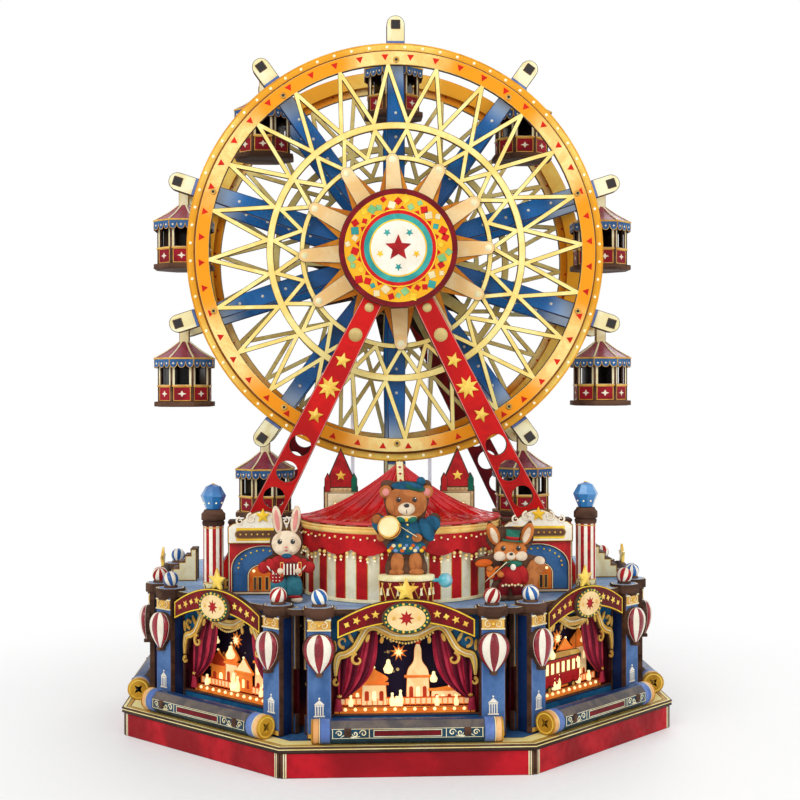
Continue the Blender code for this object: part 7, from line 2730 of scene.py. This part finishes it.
@dataclass
class Figures:
    """Bear on its drum, rabbit and fox, each drawn as a plain toy."""

    drum_x: float = 0.5
    drum_y: float = -112.0
    drum_width: float = 25.0
    drum_depth: float = 11.0
    drum_height: float = 14.0

    def build(self) -> None:
        """Builds the three toys."""
        self.build_bear()
        self.build_rabbit()
        self.build_fox()

    def build_bear(self) -> None:
        """Bear with a drum, a coat, a skirt of bright patches and a cap; it stands on a maroon drum."""
        toy = Figure("bear_and_drum", "bear_on_drum", self.drum_x, self.drum_y, DECK_STAND + self.drum_height - 0.3,
                     41.6, BEAR_OUTLINE)
        piece, place = toy.piece, toy.place
        for way in (-1, 1):
            toy.puffs((way * 4.0, 5.6, 6.0, 9.6, FUR_BROWN, way * -4.0, 0.4, 2.4),
                      (way * 4.4, 1.5, 6.6, 3.4, FUR_BROWN, 0.0, 0.8, 3.0),
                      (way * 9.0, 36.8, 5.6, 5.8, FUR_BROWN, 0.0, 0.3, 2.0),
                      (way * 11.4, 22.8, 7.4, 6.6, COAT_BLUE, way * 20.0, 0.5, 2.4),
                      (way * 9.0, 36.6, 3.2, 3.4, PINK, 0.0, 1.0, 1.2))
        toy.puffs((0.0, 12.6, 17.4, 7.0, COAT_BLUE, 0.0, 0.5, 2.6))
        for i in range(17):
            share = i / 16 * 2 - 1
            colour = (YELLOW, CREAM, CLOTH_GREEN, ORANGE, DECK_BLUE)[i * 3 % 5]
            toy.puffs((share * 7.6, 11.0 + 1.1 * (i % 3), 1.9, 1.7, colour, 0.0, 1.5, 0.8))
        toy.puffs((0.0, 19.4, 13.6, 12.6, COAT_BLUE, 0.0, 0.7, 3.2),
                  (8.8, 20.0, 5.6, 11.0, COAT_BLUE, -28.0, 1.2, 2.8),
                  (-8.6, 20.6, 5.6, 10.4, COAT_BLUE, 32.0, 1.0, 2.6),
                  (4.6, 16.6, 4.6, 3.8, FUR_BROWN, 0.0, 2.4, 2.2),
                  (-11.2, 17.0, 4.0, 3.8, FUR_BROWN, 0.0, 1.8, 2.2))
        for i in range(3):
            toy.puffs((0.4, 22.4 - 2.6 * i, 1.0, 1.0, BRIGHT_GOLD, 0.0, 2.5, 0.8))
        toy.puffs((0.0, 25.2, 9.4, 3.2, CREAM, 0.0, 1.7, 1.8))
        for way in (-1, 1):
            toy.puffs((way * 2.6, 24.6, 4.2, 2.4, CLOTH_GREEN, way * -18.0, 2.6, 1.2))
        toy.puffs((0.0, 24.7, 1.5, 1.7, YELLOW, 0.0, 3.0, 1.1),
                  (0.0, 31.8, 18.4, 15.2, FUR_BROWN, 0.0, 0.9, 4.0),
                  (0.0, 29.4, 7.6, 5.6, FUR_CREAM, 0.0, 2.7, 2.2),
                  (-13.0, 24.8, 4.2, 4.2, FUR_BROWN, 0.0, 1.2, 2.4),
                  (0.6, 39.0, 14.6, 4.4, COAT_BLUE, 4.0, 0.9, 3.2),
                  (6.4, 41.4, 4.0, 3.8, COAT_BLUE, 0.0, 1.2, 2.8),
                  (0.0, 30.9, 2.5, 1.8, EYE, 0.0, 3.7, 1.2),
                  (0.0, 28.4, 0.4, 2.2, EYE, 0.0, 3.6, 0.6))
        toy.eyes(33.4, 3.5)
        toy.puffs((3.4, 38.6, 10.0, 3.0, CLOTH_GREEN, 12.0, 1.4, 3.4),
                  (4.0, 39.2, 6.8, 2.8, COAT_BLUE, 12.0, 1.9, 3.0))
        drum = turned([(0.0, 1.5), (4.4, 1.5), (4.6, 1.2), (4.6, -1.2), (4.4, -1.5), (0.0, -1.5)], 36)
        at_drum = place @ moved(-7.6, -2.8, 21.4) @ turned_by(-38.0, "Y") @ turned_by(64.0, "X")
        piece.add(painted(drum, lambda _centre, normal: 0 if abs(normal.z) > 0.9 else 1), (ARM_CREAM, CLOTH_RED),
                  at_drum)
        for z in (1.35, -1.35):
            hoop = turned([(4.3, 0.35), (4.9, 0.25), (4.9, -0.25), (4.3, -0.35), (4.3, 0.35)], 36)
            piece.add(hoop, GOLD, at_drum @ moved(z=z))
        stick = board(ribbon([(-4.0, 22.6), (4.6, 17.2)], (0.5, 0.6)), 0.5, bevel=0.15)
        piece.add(stick, (ARM_CREAM, BROWN), place @ moved(y=-3.6))
        self.add_drum(piece)
        piece.finish(Body.BASE, "figure_print", [toy.node], smooth=50.0)

    def add_drum(self, piece: Piece) -> None:
        """Adds the oval maroon drum with cream rims, lacing and tassels, and the cyan ball on its stub."""
        stretch = Matrix.Diagonal((self.drum_width, self.drum_depth, 1.0, 1.0))
        place = moved(self.drum_x, self.drum_y, DECK_STAND) @ stretch
        height = self.drum_height
        wall = [(0.0, 12.9), (0.455, 12.9), (0.455, 1.0), (0.0, 1.0)]
        upper = [(0.0, height), (0.47, height), (0.5, height - 0.3), (0.5, height - 2.3), (0.475, height - 2.6),
                 (0.0, height - 2.6)]
        lower = [(0.0, 2.0), (0.48, 2.0), (0.5, 1.7), (0.5, 0.3), (0.49, 0.0), (0.0, 0.0)]
        for profile, finish in ((wall, MAROON), (upper, ARM_CREAM), (lower, ARM_CREAM)):
            piece.add(turned(profile, 56), finish, place)
        for i in range(14):
            angle = math.radians(180 + 180 * (i + 0.5) / 14)
            x = self.drum_x + self.drum_width * 0.47 * math.cos(angle)
            y = self.drum_y + self.drum_depth * 0.47 * math.sin(angle)
            tilt = 24.0 if i % 2 else -24.0
            lace = block((0.4, 0.5, 9.4), (0.0, 0.0, 0.0), 0.1, 1)
            piece.add(lace, GOLD,
                      moved(x, y, DECK_STAND + 6.6) @ turned_by(math.degrees(angle) + 90.0) @ turned_by(tilt, "Y"))
            if i % 2:
                tassel = turned([(0.0, 1.6), (0.55, 1.2), (0.4, 0.6), (0.75, -1.6), (0.0, -1.6)], 10)
                piece.add(tassel, ARM_CREAM, moved(x, y - 0.4, DECK_STAND + 7.0))
        stub = turned([(0.0, 3.2), (0.9, 3.2), (0.7, 0.0), (0.0, 0.0)], 16)
        piece.add(stub, CYAN, moved(11.6, -112.5, 81.0) @ turned_by(90.0, "Y"))
        piece.add(ball((6.4, 6.4, 6.4), (0.0, 0.0, 0.0), 28, 18), CYAN, moved(17.6, -113.0, 81.0))

    def build_rabbit(self) -> None:
        """Rabbit with a red cape, wide teal trousers and a small accordion."""
        toy = Figure("rabbit", "rabbit_figure", -52.5, -98.5, DECK_STAND, 43.0, RABBIT_OUTLINE)
        piece, place = toy.piece, toy.place
        for way in (-1, 1):
            toy.puffs((way * 4.6, 1.5, 5.4, 3.0, FUR_CREAM, 0.0, 1.0, 2.8),
                      (way * 3.4, 7.4, 7.6, 12.0, TROUSER_TEAL, way * -5.0, 0.7, 3.0),
                      (way * 3.9, 2.8, 6.2, 1.4, CLOTH_RED, 0.0, 1.6, 1.8),
                      (way * 4.1, 37.2, 4.4, 12.6, FUR_CREAM, way * 8.0, 0.4, 2.0),
                      (way * 4.1, 37.0, 2.2, 9.6, PINK, way * 8.0, 1.0, 1.4))
        toy.puffs((-4.2, 11.8, 6.4, 6.4, CLOTH_RED, 20.0, 1.6, 2.0))
        for i in range(9):
            toy.puffs((-6.0 + 1.5 * (i % 3), 10.2 + 1.5 * (i // 3), 0.55, 0.55, WHITE, 0.0, 2.5, 0.5))
        toy.puffs((0.0, 17.4, 15.4, 9.0, CLOTH_RED, 0.0, 0.9, 3.0))
        for way in (-1, 1):
            toy.puffs((way * 10.0, 15.8, 5.6, 5.4, CLOTH_RED, way * 20.0, 0.4, 2.2))
        for way in (-1, 1):
            toy.puffs((way * 6.6, 16.4, 5.0, 7.4, CLOTH_RED, way * 26.0, 1.0, 2.4))
            for i in range(4):
                toy.puffs((way * (7.6 - 0.9 * i), 15.6 - 0.9 * i, 0.7, 3.4, (WHITE, EYE)[i % 2], way * 40.0, 2.2, 1.0))
            toy.puffs((way * 3.9 + 1.4, 14.6, 3.0, 2.8, FUR_CREAM, 0.0, 3.4, 2.0))
        for i in range(9):
            fold = board(rectangle(-0.45, 0.45, -2.6 - 0.25 * (i % 2), 2.6 + 0.25 * (i % 2)), 1.6, bevel=0.15)
            piece.add(fold, (MAROON if i % 2 else WHITE, BURNT), place @ moved(-1.0 + 0.75 * i, -2.9, 15.4))
        for x in (-1.9, 6.0):
            piece.add(board(rectangle(-0.8, 0.8, -3.1, 3.1), 2.0, borders=((0.25, 1),), bevel=0.2), (RED, GOLD),
                      place @ moved(x, -3.0, 15.4))
        toy.puffs((0.2, 21.2, 4.6, 2.2, COAT_BLUE, 0.0, 2.4, 1.4),
                  (0.0, 26.6, 13.4, 11.6, FUR_CREAM, 0.0, 1.0, 3.8))
        for way in (-1, 1):
            toy.puffs((way * 3.0, 24.2, 4.4, 3.4, FUR_CREAM, 0.0, 2.4, 1.8))
        toy.puffs((0.0, 25.2, 1.4, 1.0, PINK, 0.0, 3.4, 0.8),
                  (0.0, 23.6, 1.6, 0.6, CLOTH_RED, 0.0, 3.3, 0.6))
        toy.eyes(27.6, 2.9)
        piece.finish(Body.BASE, "figure_print", [toy.node], smooth=50.0)

    def build_fox(self) -> None:
        """Fox with a top hat, a red coat, a bushy tail and a violin."""
        toy = Figure("fox", "fox_figure", 48.0, -98.5, DECK_STAND, 36.0, FOX_OUTLINE)
        piece, place = toy.piece, toy.place
        toy.puffs((9.6, 10.4, 7.2, 16.4, FUR_BROWN, 14.0, 0.4, 2.6),
                  (12.0, 15.2, 8.0, 7.0, FUR_BROWN, 14.0, 0.6, 2.4),
                  (13.2, 18.0, 5.0, 4.0, FUR_CREAM, 14.0, 0.9, 2.4),
                  (-12.0, 17.0, 8.0, 3.8, ORANGE, -4.0, 0.7, 2.2))
        for way in (-1, 1):
            toy.puffs((way * 3.6, 1.4, 5.2, 2.8, BURNT, 0.0, 1.0, 2.6),
                      (way * 3.2, 5.2, 5.4, 7.4, MAROON, 0.0, 0.7, 2.6),
                      (way * 7.6, 30.0, 5.6, 10.6, FUR_FOX, way * 22.0, 0.4, 2.0),
                      (way * 7.4, 29.6, 3.0, 7.6, FUR_CREAM, way * 22.0, 1.0, 1.4))
        toy.puffs((1.0, 11.4, 11.6, 11.6, CLOTH_RED, 0.0, 0.9, 3.2),
                  (-5.4, 12.6, 4.8, 8.0, CLOTH_RED, 42.0, 1.4, 2.6),
                  (5.8, 11.8, 4.6, 8.6, CLOTH_RED, -16.0, 1.4, 2.6))
        for i in range(7):
            toy.puffs((-3.6 + 1.4 * i, 7.0 + 0.4 * (i % 2), 1.2, 1.1, CREAM, 0.0, 2.3, 0.8))
        toy.puffs((1.0, 16.8, 8.6, 3.2, CLOTH_GREEN, 0.0, 2.0, 2.0),
                  (1.0, 15.4, 2.6, 3.0, WHITE, 0.0, 2.8, 1.2),
                  (0.0, 22.4, 15.0, 10.4, FUR_FOX, 0.0, 1.0, 3.8))
        for way in (-1, 1):
            toy.puffs((way * 4.6, 20.4, 6.2, 4.6, FUR_CREAM, way * 12.0, 2.0, 2.0))
        toy.puffs((0.0, 20.4, 4.4, 3.8, FUR_CREAM, 0.0, 2.9, 2.0),
                  (0.0, 21.4, 1.7, 1.3, EYE, 0.0, 3.9, 0.9))
        toy.eyes(23.8, 3.4)
        hat = turned([(0.0, 5.0), (3.1, 5.0), (3.3, 4.7), (2.8, 0.8), (2.8, 0.5), (4.6, 0.5), (4.8, 0.2), (4.6, 0.0),
                      (0.0, 0.0)], 28)
        at_hat = place @ moved(0.8, -1.0, 27.0) @ Matrix.Diagonal((1.0, 0.5, 1.0, 1.0)) @ turned_by(6.0, "Y")
        piece.add(painted(hat, lambda centre, _normal: 1 if 0.6 < centre.z < 2.2 else 0), (CLOTH_GREEN, CLOTH_RED),
                  at_hat)
        piece.add(turned([(2.86, 2.0), (3.05, 1.9), (3.0, 0.7), (2.8, 0.6), (2.86, 2.0)], 28), CLOTH_RED, at_hat)
        body = [(1.2, -3.9), (2.5, -3.2), (2.4, -1.4), (1.4, -0.2), (1.9, 1.4), (1.6, 2.8), (0.0, 3.4)]
        violin = board(mirrored([(0.0, -4.2), *body]), 1.0, borders=((0.3, 1),), bevel=0.25)
        at_violin = place @ moved(-7.4, -2.9, 13.6) @ turned_by(62.0, "Y")
        piece.add(violin, (ORANGE, BROWN), at_violin)
        piece.add(board(rectangle(-0.45, 0.45, 0.5, 8.0), 0.6, bevel=0.15), BURNT, at_violin @ moved(y=-0.4))
        piece.add(board(ribbon([(-12.0, 9.0), (-2.0, 18.0)], (0.4, 0.5)), 0.4, bevel=0.1), (ARM_CREAM, BROWN),
                  place @ moved(y=-4.0))
        for x, z in ((-9.6, 14.8), (-4.8, 12.2)):
            toy.puffs((x, z, 3.2, 2.8, FUR_FOX, 0.0, 3.6, 1.8))
        piece.finish(Body.BASE, "figure_print", [toy.node], smooth=50.0)


@dataclass
class Movement:
    """Belt, musical movement under the deck and the winding key."""

    belt_half: float = 1.4
    belt_inner: float = 20.2
    belt_outer: float = 22.2
    cylinder: float = 7.0
    pins: int = 130
    pin_turn: float = 137.5
    pin_rows: int = 12
    pin_start: float = 53.6
    pin_step: float = 2.55
    key_start: float = 93.8
    key_end: float = 122.5

    def build(self) -> None:
        """Builds the belt, the cylinder's pins, which play no tune, and the key, and dresses the other nodes."""
        loops = []
        for radius in (self.belt_outer, self.belt_inner):
            loops.append(arc(radius, 0, 180, 40, (0.0, AXLE_Z)) + arc(radius, 180, 360, 40, (0.0, MOVEMENT_Z)))
        belt = Piece("belt_loop")
        belt.add(board(loops[0], 2 * self.belt_half, [loops[1]], bevel=0.25), PALE_BELT,
                 moved(y=BELT_Y - self.belt_half))
        belt.finish(Body.BASE, "belt_rubber", ["drive_belt"])
        for name, finish in (("movement_bedplate", BRASS), ("music_cylinder", BRASS), ("spring_barrel", BRASS),
                             ("governor", BRASS), ("music_comb", STEEL)):
            dress_node(name, finish)
        pins = Piece("cylinder_pins")
        for i in range(self.pins):
            angle, along = i * self.pin_turn, self.pin_start + self.pin_step * (i * 7 % self.pin_rows)
            pins.add(turned([(0.0, 0.5), (0.18, 0.4), (0.22, -0.3), (0.0, -0.3)], 6), STEEL,
                     moved(z=MOVEMENT_Z) @ turned_by(angle, "Y") @ moved(0.0, along, self.cylinder))
        pins.finish(Body.CYLINDER, "axle_steel")
        self.build_key()

    def build_key(self) -> None:
        """Key with a shouldered shaft and a winged handle."""
        key = Piece("key_and_handle")
        shaft = turned([(0.0, self.key_end), (1.5, self.key_end), (1.5, self.key_start + 0.3), (1.2, self.key_start),
                        (0.0, self.key_start)], 32)
        place = moved(KEY_X, 0.0, MOVEMENT_Z)
        key.add(shaft, BRASS, place @ ALONG_Y)
        collar = turned([(1.4, self.key_end + 0.2), (2.6, self.key_end + 0.2), (3.0, self.key_end - 0.4),
                         (2.4, self.key_end - 1.4), (1.4, self.key_end - 1.8), (1.4, self.key_end + 0.2)], 32)
        key.add(collar, BRASS, place @ ALONG_Y)
        half = [(0.0, -3.1), (3.2, -2.9), *arc(4.4, -70, 110, 14, (4.9, 1.3)), (1.6, 3.6), (0.0, 3.1)]
        holes = [ring(1.9, 24, 0.0, (way * 5.3, 1.4)) for way in (-1, 1)]
        key.add(board(mirrored(half), PLY, holes, bevel=0.5), BRASS, place @ moved(y=self.key_end))
        key.finish(Body.KEY, "movement_brass", ["winding_key"])


class Studio:
    """Pale floor, plain soft light and the camera at the photograph's angle; none of it is part of the object."""

    LENS = 60.874
    SENSOR = 36.0
    CAMERA = (-29.850, -705.124, 165.720)
    YAW = 0.046725
    PITCH = -0.009225
    ROLL = -0.002263
    FLOOR_REACH = 2.6
    WORLD_LIGHT = 0.55
    FLOOR_GREYS = ((0.86, 0.86, 0.86, 1.0), (0.92, 0.92, 0.92, 1.0))
    FLOOR_FADE = (0.14, 0.34)
    AIM = (0.0, 0.0, 0.15)
    LAMPS = (("key", (-0.75, -1.05, 1.05), 1.0, 11.0), ("fill", (1.0, -0.9, 0.6), 1.1, 5.5),
             ("back", (0.4, 1.1, 1.0), 1.0, 7.0))

    def build(self) -> None:
        """Builds floor, world, lamps and camera."""
        self.build_floor()
        self.build_world()
        for name, place, size, power in self.LAMPS:
            lamp = bpy.data.lights.new(name, "AREA")
            lamp.shape = "SQUARE"
            lamp.size = size
            lamp.energy = power
            made = bpy.data.objects.new(name, lamp)
            made.location = place
            made.rotation_euler = (Vector(self.AIM) - Vector(place)).to_track_quat("-Z", "Y").to_euler()
            bpy.context.scene.collection.objects.link(made)
        self.build_camera()

    def seen_rays(self, sheet: NodeSheet) -> Socket:
        """One where a ray comes from the camera or off gloss or through glass, and zero elsewhere."""
        path = sheet.node("LightPath").outputs
        seen = sheet.sum_of("MAXIMUM", path["Is Camera Ray"], path["Is Glossy Ray"])
        return sheet.sum_of("MAXIMUM", seen, path["Is Transmission Ray"])

    def build_floor(self) -> None:
        """Pale floor that fades to white away from the object and keeps its shadow."""
        shape = bmesh.new()
        bmesh.ops.create_circle(shape, cap_ends=True, segments=96, radius=self.FLOOR_REACH)
        mesh = bpy.data.meshes.new("studio_floor")
        shape.to_mesh(mesh)
        shape.free()
        sheet = MaterialSheet("studio_floor")
        place = sheet.node("TexCoord").outputs["Object"]
        speckle = sheet.noise(260.0, place)
        sheet.surface(sheet.mixed(speckle, *self.FLOOR_GREYS), speckle, (0.5, 0.7))
        distance = sheet.node("VectorMath", operation="LENGTH")
        sheet.link(place, distance.inputs[0])
        far = sheet.ramp(distance.outputs["Value"], *self.FLOOR_FADE, 0.25, 1.0)
        white = sheet.node("Emission")
        blend = sheet.node("MixShader")
        sheet.link(sheet.sum_of("MULTIPLY", far, self.seen_rays(sheet)), blend.inputs[0])
        sheet.link(sheet.shader.outputs[0], blend.inputs[1])
        sheet.link(white.outputs[0], blend.inputs[2])
        sheet.link(blend.outputs[0], sheet.tree.nodes["Material Output"].inputs["Surface"])
        mesh.materials.append(sheet.material)
        floor = bpy.data.objects.new("studio_floor", mesh)
        bpy.context.scene.collection.objects.link(floor)

    def build_world(self) -> None:
        """Even pale light that the camera, gloss and glass see as white."""
        world = bpy.data.worlds.new("studio")
        world.use_nodes = True
        bpy.context.scene.world = world
        sheet = NodeSheet(world.node_tree)
        background = world.node_tree.nodes["Background"]
        background.inputs["Color"].default_value = (1.0, 1.0, 1.0, 1.0)
        strength = sheet.ramp(self.seen_rays(sheet), 0.0, 1.0, self.WORLD_LIGHT, 1.0)
        sheet.link(strength, background.inputs["Strength"])

    def build_camera(self) -> None:
        """Camera at the photograph's place."""
        lens = bpy.data.cameras.new("photo_camera")
        lens.lens = self.LENS
        lens.sensor_width = self.SENSOR
        lens.clip_start = 0.01
        camera = bpy.data.objects.new("photo_camera", lens)
        forward = Vector((math.sin(self.YAW) * math.cos(self.PITCH), math.cos(self.YAW) * math.cos(self.PITCH),
                          math.sin(self.PITCH)))
        right = Vector((math.cos(self.YAW), -math.sin(self.YAW), 0.0))
        up = right.cross(forward)
        across = right * math.cos(self.ROLL) + up * math.sin(self.ROLL)
        upward = up * math.cos(self.ROLL) - right * math.sin(self.ROLL)
        turn = Matrix((across, upward, -forward)).transposed()
        camera.matrix_world = Matrix.Translation(Vector(self.CAMERA) * MM) @ turn.to_4x4()
        bpy.context.scene.collection.objects.link(camera)
        bpy.context.scene.camera = camera


def main() -> None:
    """Builds every sub-assembly in order."""
    logging.basicConfig(level=logging.INFO, format="%(message)s")
    bpy.context.scene.view_settings.view_transform = "Standard"
    assemblies = (Plinth(), Deck(), BackWall(), Stages(), TheatreFront(), Sign(), Roller(), Tent(), Castle(), Booth(),
                  Post(), Figures(), Frames(), HubBadge(), WheelPlates(), RimBands(), ArmStars(), HubAndAxle(),
                  Gondolas(), Movement(), Studio())
    for assembly in assemblies:
        LOG.info("building %s", type(assembly).__name__)
        assembly.build()


if __name__ == "__main__":
    main()
